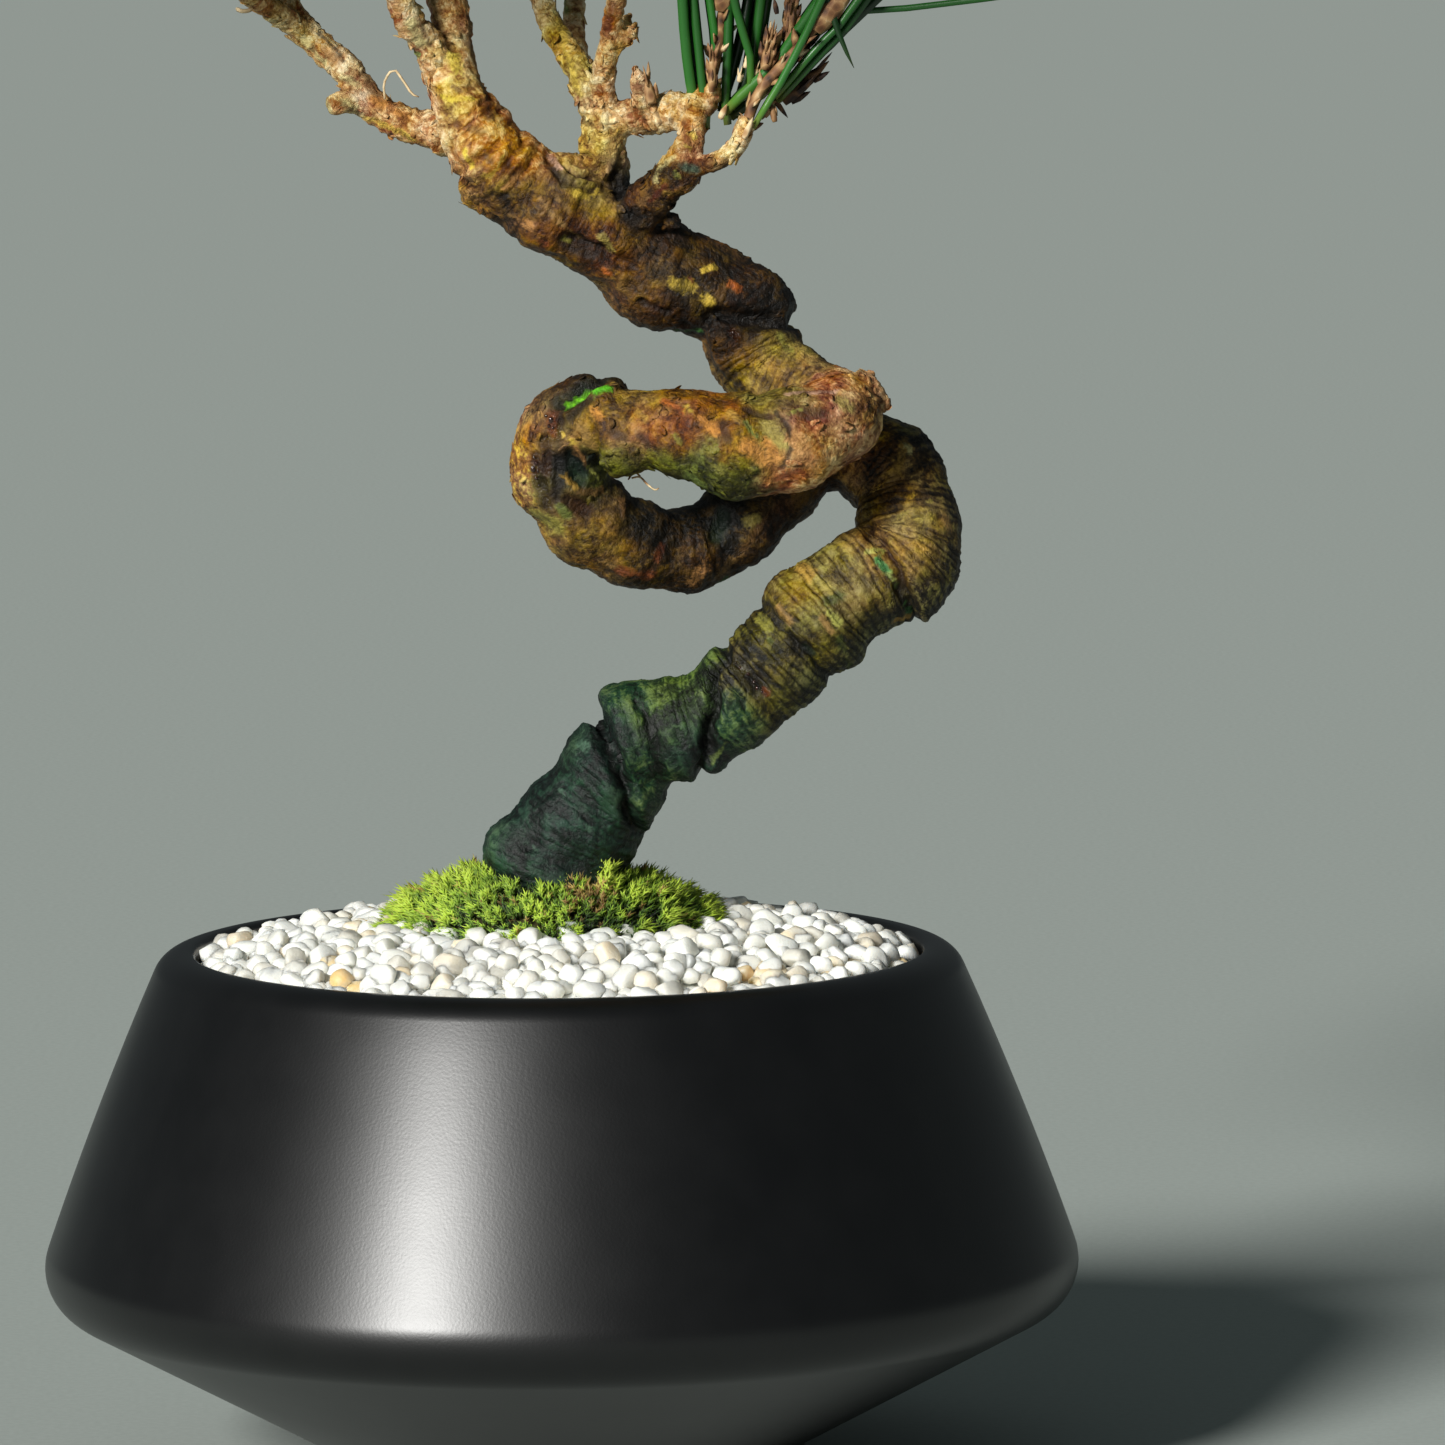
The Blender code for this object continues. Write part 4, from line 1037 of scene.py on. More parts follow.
@dataclass
class Pot:
    """The pot: a flaring wall, a rounded shoulder, a tapering underside and a plain foot."""

    height: float = 82.0
    rim_radius: float = 61.3
    inner_rounding: float = 1.2
    outer_rounding: float = 5.1
    bulge: float = 0.75
    shoulder_radius: float = 81.9
    shoulder_z: float = 29.1
    shoulder_rounding: float = 8.2
    foot_radius: float = 37.4
    foot_height: float = 5.0
    foot_rounding: float = 0.8
    wall: float = 5.4
    underside_wall: float = 4.5
    floor_z: float = 6.0
    inner_corner_drop: float = 1.0
    turned_steps: int = 192
    drain_holes: int = 3
    drain_radius: float = 4.0
    drain_circle: float = 18.0
    first_drain_degrees: float = 90.0
    channel_width: float = 6.0
    channel_depth: float = 1.5
    channel_overrun: float = 4.0
    smooth_degrees: float = 35.0

    def wall_slope(self) -> float:
        """Return how far the wall comes out for each unit down."""
        return (self.shoulder_radius - self.rim_radius) / (self.height - self.shoulder_z)

    def wall_point(self, down: float) -> tuple[float, float]:
        """Return the wall's outer radius and height at a share of the way down it.

        Args:
            down: the share, from 0 at the rim to 1 at the shoulder.

        Returns:
            The radius and the height.
        """
        swell = 4.0 * self.bulge * down * (1.0 - down)
        radius = self.rim_radius + (self.shoulder_radius - self.rim_radius) * down + swell
        return radius, self.height - (self.height - self.shoulder_z) * down

    def inner_radius(self, z: float) -> float:
        """Return the inner radius at a height, above or under the inner corner.

        Args:
            z: the height.

        Returns:
            The radius.
        """
        slope = (self.shoulder_radius - self.foot_radius) / (self.shoulder_z - self.foot_height)
        upper = self.rim_radius - self.wall + self.wall_slope() * (self.height - z)
        inset = self.underside_wall * math.hypot(1.0, slope)
        return min(upper, self.foot_radius - inset + slope * (z - self.foot_height))

    def rounded(self, before: tuple, corner: tuple, after: tuple, radius: float,
                steps: int) -> list[tuple[float, float]]:
        """Round one corner of the profile.

        Args:
            before: the profile's point before the corner.
            corner: the corner.
            after: the point after it.
            radius: the arc's radius.
            steps: how many parts the arc has.

        Returns:
            The arc's points, as radius and height.
        """
        tip = Vector(corner)
        back = (Vector(before) - tip).normalized()
        on = (Vector(after) - tip).normalized()
        half = 0.5 * back.angle(on)
        centre = tip + (back + on).normalized() * (radius / math.sin(half))
        start = tip + back * (radius / math.tan(half)) - centre
        end = tip + on * (radius / math.tan(half)) - centre
        sweep = start.angle_signed(end)
        arc = []
        for k in range(steps + 1):
            turn = -sweep * k / steps
            c, s = math.cos(turn), math.sin(turn)
            arc.append((centre.x + c * start.x - s * start.y, centre.y + s * start.x + c * start.y))
        return arc

    def profile(self) -> list[tuple[float, float]]:
        """Return the profile's radius and height points, from inside over the rim to the foot.

        Returns:
            The points, each as radius and height.
        """
        corner_z = self.shoulder_z - self.inner_corner_drop
        corner = (self.inner_radius(corner_z), corner_z)
        inner_rim = (self.rim_radius - self.wall, self.height)
        outer_rim = (self.rim_radius, self.height)
        shoulder = (self.shoulder_radius, self.shoulder_z)
        foot_top = (self.foot_radius, self.foot_height)
        foot = (self.foot_radius, 0.0)
        centre = (0.0, 0.0)
        points = [(0.0, self.floor_z), (self.inner_radius(self.floor_z), self.floor_z), corner]
        wall = [self.wall_point(down) for down in np.arange(0.15, 0.9, 0.05)]
        points += self.rounded(corner, inner_rim, outer_rim, self.inner_rounding, 6)
        points += self.rounded(inner_rim, outer_rim, wall[0], self.outer_rounding, 14)
        points += wall
        points += self.rounded(wall[-1], shoulder, foot_top, self.shoulder_rounding, 20)
        points += self.rounded(shoulder, foot_top, foot, self.foot_rounding, 4)
        points += self.rounded(foot_top, foot, centre, self.foot_rounding, 4)
        points.append(centre)
        return points

    def build(self) -> bpy.types.Object:
        """Turn the pot by hand: extrude its profile, spin it, and cut the drainage.

        Returns:
            The pot.
        """
        points = self.profile()
        pot = add_shape(bpy.ops.mesh.primitive_plane_add, size=MM, location=(0.0, 0.0, points[0][1] * MM))
        edit_all()
        bpy.ops.mesh.merge(type="CENTER")
        for (r0, z0), (r1, z1) in zip(points[:-1], points[1:]):
            step = ((r1 - r0) * MM, 0.0, (z1 - z0) * MM)
            bpy.ops.mesh.extrude_region_move(TRANSFORM_OT_translate={"value": step})
        bpy.ops.mesh.select_all(action="SELECT")
        bpy.ops.mesh.spin(steps=self.turned_steps, angle=math.tau, center=(0.0, 0.0, 0.0),
                          axis=(0.0, 0.0, 1.0))
        bpy.ops.mesh.select_all(action="SELECT")
        bpy.ops.mesh.remove_doubles(threshold=0.01 * MM)
        bpy.ops.mesh.normals_make_consistent(inside=False)
        bpy.ops.object.mode_set(mode="OBJECT")
        for k in range(self.drain_holes):
            self.cut_drain(pot, math.radians(self.first_drain_degrees) + math.tau * k / self.drain_holes)
        activate(pot)
        bpy.ops.object.shade_smooth_by_angle(angle=math.radians(self.smooth_degrees))
        return pot

    def cut_drain(self, pot: bpy.types.Object, turn: float) -> None:
        """Cut one drainage hole and its channel under the foot.

        Args:
            pot: the pot.
            turn: the hole's place round the centre, in radians.
        """
        hole = add_shape(
            bpy.ops.mesh.primitive_cylinder_add, vertices=40, radius=self.drain_radius * MM,
            depth=4.0 * self.floor_z * MM, location=(self.drain_circle * MM, 0.0, 0.0))
        reach = self.foot_radius + self.channel_overrun - self.drain_circle
        channel = add_shape(
            bpy.ops.mesh.primitive_cube_add, size=1.0,
            location=((self.drain_circle + 0.5 * reach) * MM, 0.0, 0.0),
            scale=(reach * MM, self.channel_width * MM, 2.0 * self.channel_depth * MM))
        for cutter in (hole, channel):
            cutter.data.transform(Matrix.Rotation(turn, 4, "Z"))
            modify(pot, "BOOLEAN", operation="DIFFERENCE", object=cutter, solver="EXACT")
            bpy.data.objects.remove(cutter)

    def dress(self, pot: bpy.types.Object) -> None:
        """Glaze the pot and set it on the frame."""
        finish_piece(pot, "pot_glazed", SatinGlaze().material(), ("pot",))


@dataclass
class Filling:
    """What lies in the pot out of sight: the drain screen and the soil keep their solids."""

    def dress(self) -> None:
        """Give the kept solids their finishes."""
        for node, finish in (("drain_screen", MouldedScreen()), ("soil", GrowingMix())):
            solid = frame["nodes"][node]
            for place in solid.material_slots:
                place.material = finish.material()


@dataclass
class GravelBed:
    """White quartz chips on a bed, level with the rim and a little higher in the middle."""

    crown_z: float = 85.5
    fall: float = 5.0
    reach: float = 56.5
    bed_drop: float = 2.1
    chip_size: tuple[float, float] = (1.7, 2.75)
    chip_stretch: tuple[tuple[float, float], ...] = ((0.9, 1.3), (0.8, 1.1), (0.7, 1.0))
    chip_tilt: float = 0.6
    chip_shift: float = 1.1
    sink: float = 1.3
    stain_reach: float = 2.3
    layers: tuple[tuple[int, float], ...] = ((640, -1.2), (620, 0.1), (240, 1.1))
    seed: int = 11
    shapes: int = 9
    flats: int = 9
    chip_triangles: float = 124.0
    bottom_z: float = 74.0
    edge_gap: float = 2.0
    moss_centre: tuple[float, float] = (-1.5, 5.0)
    moss_half: tuple[float, float] = (26.5, 19.5)
    moss_lap: float = 3.0
    stained: tuple[tuple[float, float], ...] = (
        (-34.4, -24.0), (-30.5, -38.0), (29.8, -35.0), (32.0, -31.0), (53.0, -9.0))

    def surface(self, r: Array | float) -> Array | float:
        """Return the gravel's height at a distance from the axis."""
        return self.crown_z - self.fall * (r / self.reach) ** 4

    def chip_shapes(self, rng: random.Random) -> list[Pattern]:
        """Model the chips: a ball with flats cut off it, softened at its edges.

        Args:
            rng: the source of the flats' places.

        Returns:
            A few different chips of radius about 1.
        """
        shapes = []
        for _ in range(self.shapes):
            chip = add_shape(bpy.ops.mesh.primitive_ico_sphere_add, subdivisions=2, radius=MM)
            bpy.ops.object.mode_set(mode="EDIT")
            for _ in range(self.flats):
                bpy.ops.mesh.select_all(action="SELECT")
                way = Vector([rng.gauss(0.0, 1.0) for _ in range(3)]).normalized()
                bpy.ops.mesh.bisect(plane_co=way * rng.uniform(0.55, 0.86) * MM, plane_no=way,
                                    use_fill=True, clear_outer=True)
            bpy.ops.mesh.select_all(action="SELECT")
            bpy.ops.mesh.remove_doubles(threshold=0.2 * MM)
            bpy.ops.object.mode_set(mode="OBJECT")
            modify(chip, "REMESH", mode="VOXEL", voxel_size=0.17 * MM, adaptivity=0.0)
            modify(chip, "SMOOTH", factor=0.5, iterations=2)
            modify(chip, "DECIMATE", ratio=self.chip_triangles / count_triangles(chip))
            shapes.append(take_pattern(chip))
        return shapes

    def build(self) -> bpy.types.Object:
        """Lay the bed and three layers of chips.

        Returns:
            One piece of them all.
        """
        rng = random.Random(self.seed)
        shapes = self.chip_shapes(rng)
        gathered = Copies()
        self.add_bed(gathered)
        for count, lift in self.layers:
            for k in range(count):
                size = rng.uniform(*self.chip_size)
                r = (self.reach - self.edge_gap) * math.sqrt((k + 0.5) / count)
                turn = GOLDEN * k + lift
                x = r * math.cos(turn) + rng.uniform(-self.chip_shift, self.chip_shift)
                y = r * math.sin(turn) + rng.uniform(-self.chip_shift, self.chip_shift)
                stretch = np.array([rng.uniform(*span) for span in self.chip_stretch])
                spin = Matrix.Rotation(rng.uniform(0.0, math.tau), 3, "Z")
                for axis in "XY":
                    spin = spin @ Matrix.Rotation(rng.uniform(-self.chip_tilt, self.chip_tilt), 3, axis)
                shape = shapes[rng.randrange(len(shapes))]
                tone = rng.random() ** 0.55
                shift = rng.uniform(-0.5, 0.5)
                dx = (x - self.moss_centre[0]) / (self.moss_half[0] - self.moss_lap)
                dy = (y - self.moss_centre[1]) / (self.moss_half[1] - self.moss_lap)
                limit = self.reach + 0.2 - size * max(stretch)
                if dx * dx + dy * dy < 1.0:
                    continue
                r = math.hypot(x, y)
                if r > limit:
                    x, y, r = x * limit / r, y * limit / r, limit
                near = min(math.hypot(x - spot[0], y - spot[1]) for spot in self.stained)
                stain = 1.4 if near < self.stain_reach else 1.2 * rng.random() ** 12
                z = self.surface(r) - self.sink + lift + shift
                points = (shape.points * stretch * size) @ np.array(spin).T + np.array((x, y, z))
                gathered.add(points, shape.faces, chip_tone=tone, chip_stain=stain)
        return gathered.piece("gravel")

    def add_bed(self, gathered: Copies) -> None:
        """Add the closed bed under the chips, so that no gap shows through.

        Args:
            gathered: the copies to add it to.
        """
        bed = add_shape(bpy.ops.mesh.primitive_circle_add, vertices=64, radius=self.reach * 0.992 * MM,
                        fill_type="NGON", location=(0.0, 0.0, self.bottom_z * MM))
        edit_all()
        rise = (self.surface(self.reach) - self.bed_drop - self.bottom_z) * MM
        bpy.ops.mesh.extrude_region_move(TRANSFORM_OT_translate={"value": (0.0, 0.0, rise)})
        for share in (0.88, 0.76, 0.6, 0.3):
            bpy.ops.mesh.extrude_region_move()
            bpy.ops.transform.resize(value=(share, share, 1.0), center_override=(0.0, 0.0, 0.0))
        bpy.ops.object.mode_set(mode="OBJECT")
        pattern = take_pattern(bed)
        r = np.hypot(pattern.points[:, 0], pattern.points[:, 1])
        top = pattern.points[:, 2] > self.bottom_z + 1.0
        pattern.points[top, 2] = self.surface(r[top]) - self.bed_drop
        gathered.add(pattern.points, pattern.faces, chip_tone=0.7, chip_stain=0.0)

    def dress(self, gravel: bpy.types.Object) -> None:
        """Give the gravel its stone and set it on the frame."""
        finish_piece(gravel, "gravel_chips", QuartzChips().material(), ("gravel",))


@dataclass
class MossMound:
    """The moss: a domed oval of short feathery shoots round the stem's foot."""

    centre: tuple[float, float] = (-1.5, 5.0)
    half: tuple[float, float] = (25.6, 19.0)
    edge_z: float = 84.2
    rise: float = 9.4
    dome: float = 0.8
    mound_drop: float = 0.8
    mound_inset: float = 0.6
    bottom_z: float = 76.0
    lowest_shoot_z: float = 80.0
    clump_mm: float = 3.0
    shoot_shift: float = 0.35
    old_share: float = 0.05
    patterns: int = 5
    leaves: int = 8
    seed: int = 23
    shoots: int = 5000
    shoot_length: tuple[float, float] = (1.9, 3.5)
    stem_centre: tuple[float, float] = (-1.8, 6.0)
    stem_radius: float = 9.3
    old_spots: tuple[tuple[float, float, float], ...] = (
        (-7.7, 95.0, 1.3), (-1.9, 93.6, 1.6), (3.5, 91.2, 2.0), (6.3, 89.4, 1.2))

    def height(self, x: float, y: float) -> float:
        """Return the mound's height at a place."""
        t = math.hypot((x - self.centre[0]) / self.half[0], (y - self.centre[1]) / self.half[1])
        return self.edge_z + self.rise * max(0.0, 1.0 - t * t) ** self.dome

    def shoot_shapes(self, rng: random.Random) -> list[Pattern]:
        """Model a few shoots: a thin stalk with pointed leaves all round it.

        Args:
            rng: the source of the leaves' places.

        Returns:
            Upright shoots of length 1.
        """
        cone = bpy.ops.mesh.primitive_cone_add
        stalk = take_pattern(add_shape(cone, vertices=3, radius1=0.07 * MM, depth=MM,
                                       end_fill_type="NGON", location=(0.0, 0.0, 0.5 * MM)))
        leaf = take_pattern(add_shape(cone, vertices=3, radius1=0.085 * MM, depth=0.5 * MM,
                                      end_fill_type="NOTHING", location=(0.0, 0.0, 0.25 * MM)))
        shapes = []
        for _ in range(self.patterns):
            made = Copies()
            made.add(stalk.points, stalk.faces)
            for k in range(self.leaves):
                turn = GOLDEN * k + rng.uniform(-0.4, 0.4)
                low = 0.18 + 0.08 * k
                open_angle = math.radians(rng.uniform(35.0, 58.0) - 3.0 * k)
                way = np.array((math.sin(open_angle) * math.cos(turn),
                                math.sin(open_angle) * math.sin(turn), math.cos(open_angle)))
                points = bent(leaf, np.array((0.0, 0.0, low)), way, 1.0, 1.0,
                              np.array((0.0, 0.0, 0.12)), turn)
                made.add(points, leaf.faces)
            shapes.append(Pattern(np.vstack(made.points), np.vstack(made.faces)))
        return shapes

    def build(self) -> bpy.types.Object:
        """Raise the mound and set the shoots on it.

        Returns:
            One piece of them all.
        """
        rng = random.Random(self.seed)
        gathered = Copies()
        self.add_mound(gathered)
        shapes = self.shoot_shapes(rng)
        for k in range(self.shoots):
            t = math.sqrt((k + 0.5) / self.shoots)
            turn = GOLDEN * k
            x = self.centre[0] + t * self.half[0] * math.cos(turn)
            x += rng.uniform(-self.shoot_shift, self.shoot_shift)
            y = self.centre[1] + t * self.half[1] * math.sin(turn)
            y += rng.uniform(-self.shoot_shift, self.shoot_shift)
            length = rng.uniform(*self.shoot_length)
            pick = shapes[rng.randrange(len(shapes))]
            jitter = np.array([rng.gauss(0.0, 0.3) for _ in range(3)])
            spin = rng.uniform(0.0, math.tau)
            old = rng.random() < self.old_share
            if math.hypot(x - self.stem_centre[0], y - self.stem_centre[1]) < self.stem_radius:
                continue
            clump = noise_at(np.array([(x / self.clump_mm, y / self.clump_mm, 4.0)]), 5)[0]
            z = self.height(x, y) - 1.3 + 3.4 * clump
            lean = 0.25 + 1.1 * t ** 3
            away = np.array(((x - self.centre[0]) / self.half[0], (y - self.centre[1]) / self.half[1], 0.0))
            way = np.array((0.0, 0.0, 1.0)) + lean * away + jitter
            bow = np.array((away[0], away[1], -0.5)) * 0.3 * length * t
            points = bent(pick, np.array((x, y, z)), way, length, 2.1 + 0.7 * clump, bow, spin)
            points[:, 2] = np.maximum(points[:, 2], self.lowest_shoot_z)
            front = any(abs(x - sx) < size and y < 4.0 and abs(z - sz) < size + 1.0
                        for sx, sz, size in self.old_spots)
            age = 0.9 if old or (front and rng.random() < 0.7) else max(0.0, 0.25 * clump)
            share = np.clip(0.05 + 0.75 * pick.points[:, 2] + 1.1 * clump, 0.0, 1.0)
            gathered.add(points, pick.faces, moss_height=share, moss_age=age)
        return gathered.piece("moss")

    def add_mound(self, gathered: Copies) -> None:
        """Add the dark closed mound that the shoots stand on.

        Args:
            gathered: the copies to add it to.
        """
        ball = add_shape(bpy.ops.mesh.primitive_uv_sphere_add, segments=56, ring_count=28, radius=MM)
        pattern = take_pattern(ball)
        points = pattern.points
        edge_z = self.edge_z - self.mound_drop
        flat = np.hypot(points[:, 0], points[:, 1])
        x = self.centre[0] + points[:, 0] * (self.half[0] - self.mound_inset)
        y = self.centre[1] + points[:, 1] * (self.half[1] - self.mound_inset)
        z = edge_z + self.rise * np.maximum(0.0, 1.0 - flat * flat) ** self.dome
        z = np.where(points[:, 2] > 0.0, z, edge_z + (edge_z - self.bottom_z) * points[:, 2])
        gathered.add(np.stack([x, y, z], axis=1), pattern.faces, moss_height=0.15, moss_age=0.35)

    def dress(self, moss: bpy.types.Object) -> None:
        """Give the moss its green and set it on the frame."""
        finish_piece(moss, "moss_shoots", LivingMoss().material(), ("moss",))


@dataclass(frozen=True)
class Sight:
    """The front view, in whose frame the bark's marks, the buds and the needles in view are placed."""

    place: Place = (25.53191, -1684.131, 309.751)
    target: Place = (25.53191, 0.0, 116.67671)
    lens: float = 273.65
    sensor: float = 36.0
    roll: float = 0.45
    frame: float = 1445.0
    most_steps: int = 13
    step_ways: tuple[tuple[float, float], ...] = (
        (1, 0), (-1, 0), (0, 1), (0, -1), (0.7, 0.7), (-0.7, 0.7), (0.7, -0.7), (-0.7, -0.7))

    def turn(self) -> Matrix:
        """Find the view's right, its top and its back as the columns of a turn.

        Returns:
            The turn.
        """
        ahead = (Vector(self.target) - Vector(self.place)).normalized()
        level = ahead.cross(Vector((0.0, 0.0, 1.0))).normalized()
        up = level.cross(ahead)
        roll = math.radians(self.roll)
        right = math.cos(roll) * level - math.sin(roll) * up
        top = math.sin(roll) * level + math.cos(roll) * up
        return Matrix((right, top, -ahead)).transposed()

    def way(self, x: float, y: float) -> Vector:
        """Find the way from the eye through a place in the frame."""
        half = self.frame / 2.0
        return self.turn() @ Vector((x - half, half - y, -self.lens / self.sensor * self.frame))

    def at_depth(self, x: float, y: float, depth: float) -> Place:
        """Find the place behind a place in the frame at a depth in millimetres."""
        way = self.way(x, y)
        return tuple(Vector(self.place) + way * ((depth - self.place[1]) / way.y))

    def on_skin(self, skin: BVHTree, x: float, y: float) -> Place:
        """Find the skin behind a place in the frame, or behind the nearest place that shows it.

        Args:
            skin: the skin's faces.
            x: how far right the place is in the frame.
            y: how far down it is.

        Returns:
            The place in millimetres, at depth 0 where no skin is near.
        """
        eye = Vector(self.place) * MM
        spots = [(x, y)]
        spots += [(x + right * step, y + down * step) for step in range(1, self.most_steps + 1)
                  for right, down in self.step_ways]
        for spot in spots:
            found = skin.ray_cast(eye, self.way(*spot).normalized())[0]
            if found is not None:
                return tuple(found / MM)
        return self.at_depth(x, y, 0.0)


SIGHT = Sight()


@dataclass(frozen=True)
class Zone:
    """A stretch of bark of one tone, as a soft ball; some stretches are painted shade."""

    centre: Place
    radius: float
    tone: Tone


@dataclass(frozen=True)
class Mark:
    """A small mark on the bark along a short line: lichen, algae, a crack, a stain, resin, painted shade or
    a painted highlight.
    """

    start: Place
    end: Place
    reach: float
    hue: Hue
    wet: float = 0.0


@dataclass(frozen=True)
class Crease:
    """A crease round the stem, in a plane."""

    centre: Place
    normal: tuple[float, float, float]
    reach: float
    width: float
    depth: float


@dataclass(frozen=True)
class Swelling:
    """A bump in the wood, or a pit where its height is below nought."""

    centre: Place
    radius: float
    height: float


# Tones of the bark in the front view, some laid as painted shade: x and y in its frame, and their reach in
# mm.
ZONES: dict[Tone, tuple[tuple[float, ...], ...]] = {
    # (675, 745) is painted shade under the knee.
    Tone.WET_BLACK: (
        (548, 805, 13), (590, 750, 9), (520, 850, 9), (600, 780, 6), (675, 745, 7), (572, 470, 3.5),
    ),
    Tone.ALGAE_GREY: ((494, 838, 4.5), (578, 742, 4)),
    Tone.ALGAE_GREEN: ((650, 775, 6), (625, 690, 5), (735, 725, 5)),
    Tone.GREEN_OLIVE: ((685, 690, 7), (660, 720, 5)),
    # Those from x 915 to 948 are painted shade on the elbow's right side.
    Tone.EARTH_BLACK: ((745, 670, 5), (945, 500, 6), (915, 430, 6), (948, 560, 5), (925, 600, 6)),
    Tone.OLIVE: ((772, 705, 5), (775, 640, 7), (800, 650, 6), (850, 620, 6)),
    Tone.OCHRE: ((800, 600, 6), (845, 595, 6), (880, 600, 4), (765, 440, 6), (755, 400, 5), (800, 395, 4)),
    Tone.DARK_OLIVE: ((815, 680, 6), (870, 650, 7)),
    Tone.TAN: (
        (900, 560, 5), (900, 540, 6), (870, 515, 6), (925, 530, 7), (590, 185, 5), (590, 545, 7),
        (555, 520, 6), (770, 380, 5), (765, 355, 6), (605, 425, 6), (650, 400, 5),
    ),
    Tone.STREAKED_BROWN: ((880, 450, 6), (880, 490, 6), (905, 480, 6), (860, 410, 4)),
    Tone.DARK_BROWN: (
        (780, 520, 6), (760, 560, 6), (700, 570, 5), (640, 565, 6), (520, 210, 6), (660, 215, 5),
    ),
    # Painted shade under the loop (650 to 730, 510 to 520), on the shoulder's right side (770, 320) and in
    # the hollow between the middle stem and the prop (620, 190 and 632, 208).
    Tone.BLACK: (
        (620, 190, 3.5), (700, 520, 6), (650, 520, 6), (730, 510, 5), (550, 480, 3.5), (770, 320, 6),
        (632, 208, 3),
    ),
    Tone.DEEP_BROWN: (
        (580, 510, 4), (560, 388, 5), (735, 345, 4), (670, 320, 5), (700, 300, 6), (750, 290, 7),
        (690, 255, 6),
    ),
    Tone.GOLD_ORANGE: ((525, 490, 5), (512, 450, 5)),
    Tone.RUST_BROWN: ((545, 440, 4), (540, 400, 6), (480, 195, 4)),
    Tone.MOSSY_OLIVE: ((610, 455, 4), (595, 480, 3.5), (660, 460, 5), (710, 470, 6), (740, 490, 5)),
    Tone.FOX_ORANGE: ((660, 420, 7), (720, 415, 7)),
    Tone.CALLUS_PINK: ((815, 445, 7), (790, 475, 6), (830, 400, 7), (845, 440, 5)),
    Tone.GREY_BROWN: ((640, 290, 6),),
    Tone.BROWN: (
        (640, 245, 5), (600, 255, 5), (550, 240, 6), (570, 215, 5), (535, 185, 5), (655, 200, 3),
        (640, 190, 3), (690, 180, 3.5), (715, 175, 3),
    ),
    Tone.PAPERY_ORANGE: (
        (487, 155, 4), (470, 130, 5), (520, 150, 5), (460, 25, 6), (400, 125, 5), (365, 85, 4),
        (265, 5, 6), (605, 40, 5), (700, 140, 4),
    ),
    Tone.PAPERY_YELLOW: ((460, 95, 5), (590, 145, 5), (575, 70, 4), (560, 30, 5)),
    Tone.PAPERY_TAN: (
        (455, 60, 6), (415, 30, 6), (440, 60, 5), (345, 105, 5), (330, 55, 6), (300, 20, 7),
        (430, 125, 5), (588, 105, 5), (645, 115, 6), (670, 118, 4), (735, 145, 5),
    ),
}

# Tones that the front view doesn't show: x, y, z and their reach in mm.
FAR_ZONES: dict[Tone, tuple[tuple[float, ...], ...]] = {
    Tone.PAPERY_TAN: (
        (-10, 10, 240, 22), (-30, 10, 240, 22), (5, 20, 225, 20), (20, -8, 225, 14), (6, 12, 206, 8),
    ),
    Tone.PAPERY_ORANGE: ((-20, 15, 232, 14),),
    Tone.WET_BLACK: ((0, 14, 95, 12), (20, 10, 115, 9)),
    Tone.DARK_OLIVE: ((38, 9, 131, 9),),
    Tone.EARTH_BLACK: ((56, 10, 148, 8),),
    Tone.DARK_BROWN: ((40, 18, 158, 8), (20, 14, 146, 8)),
    Tone.RUST_BROWN: ((2, 6, 155, 8),),
    Tone.GREY_BROWN: ((25, 12, 184, 9),),
    Tone.BROWN: ((5, 8, 197, 8), (-8, 6, 205, 7)),
    Tone.DEEP_BROWN: ((25, -5, 168, 4),),
    Tone.TAN: ((34, 9, 172, 6),),
}

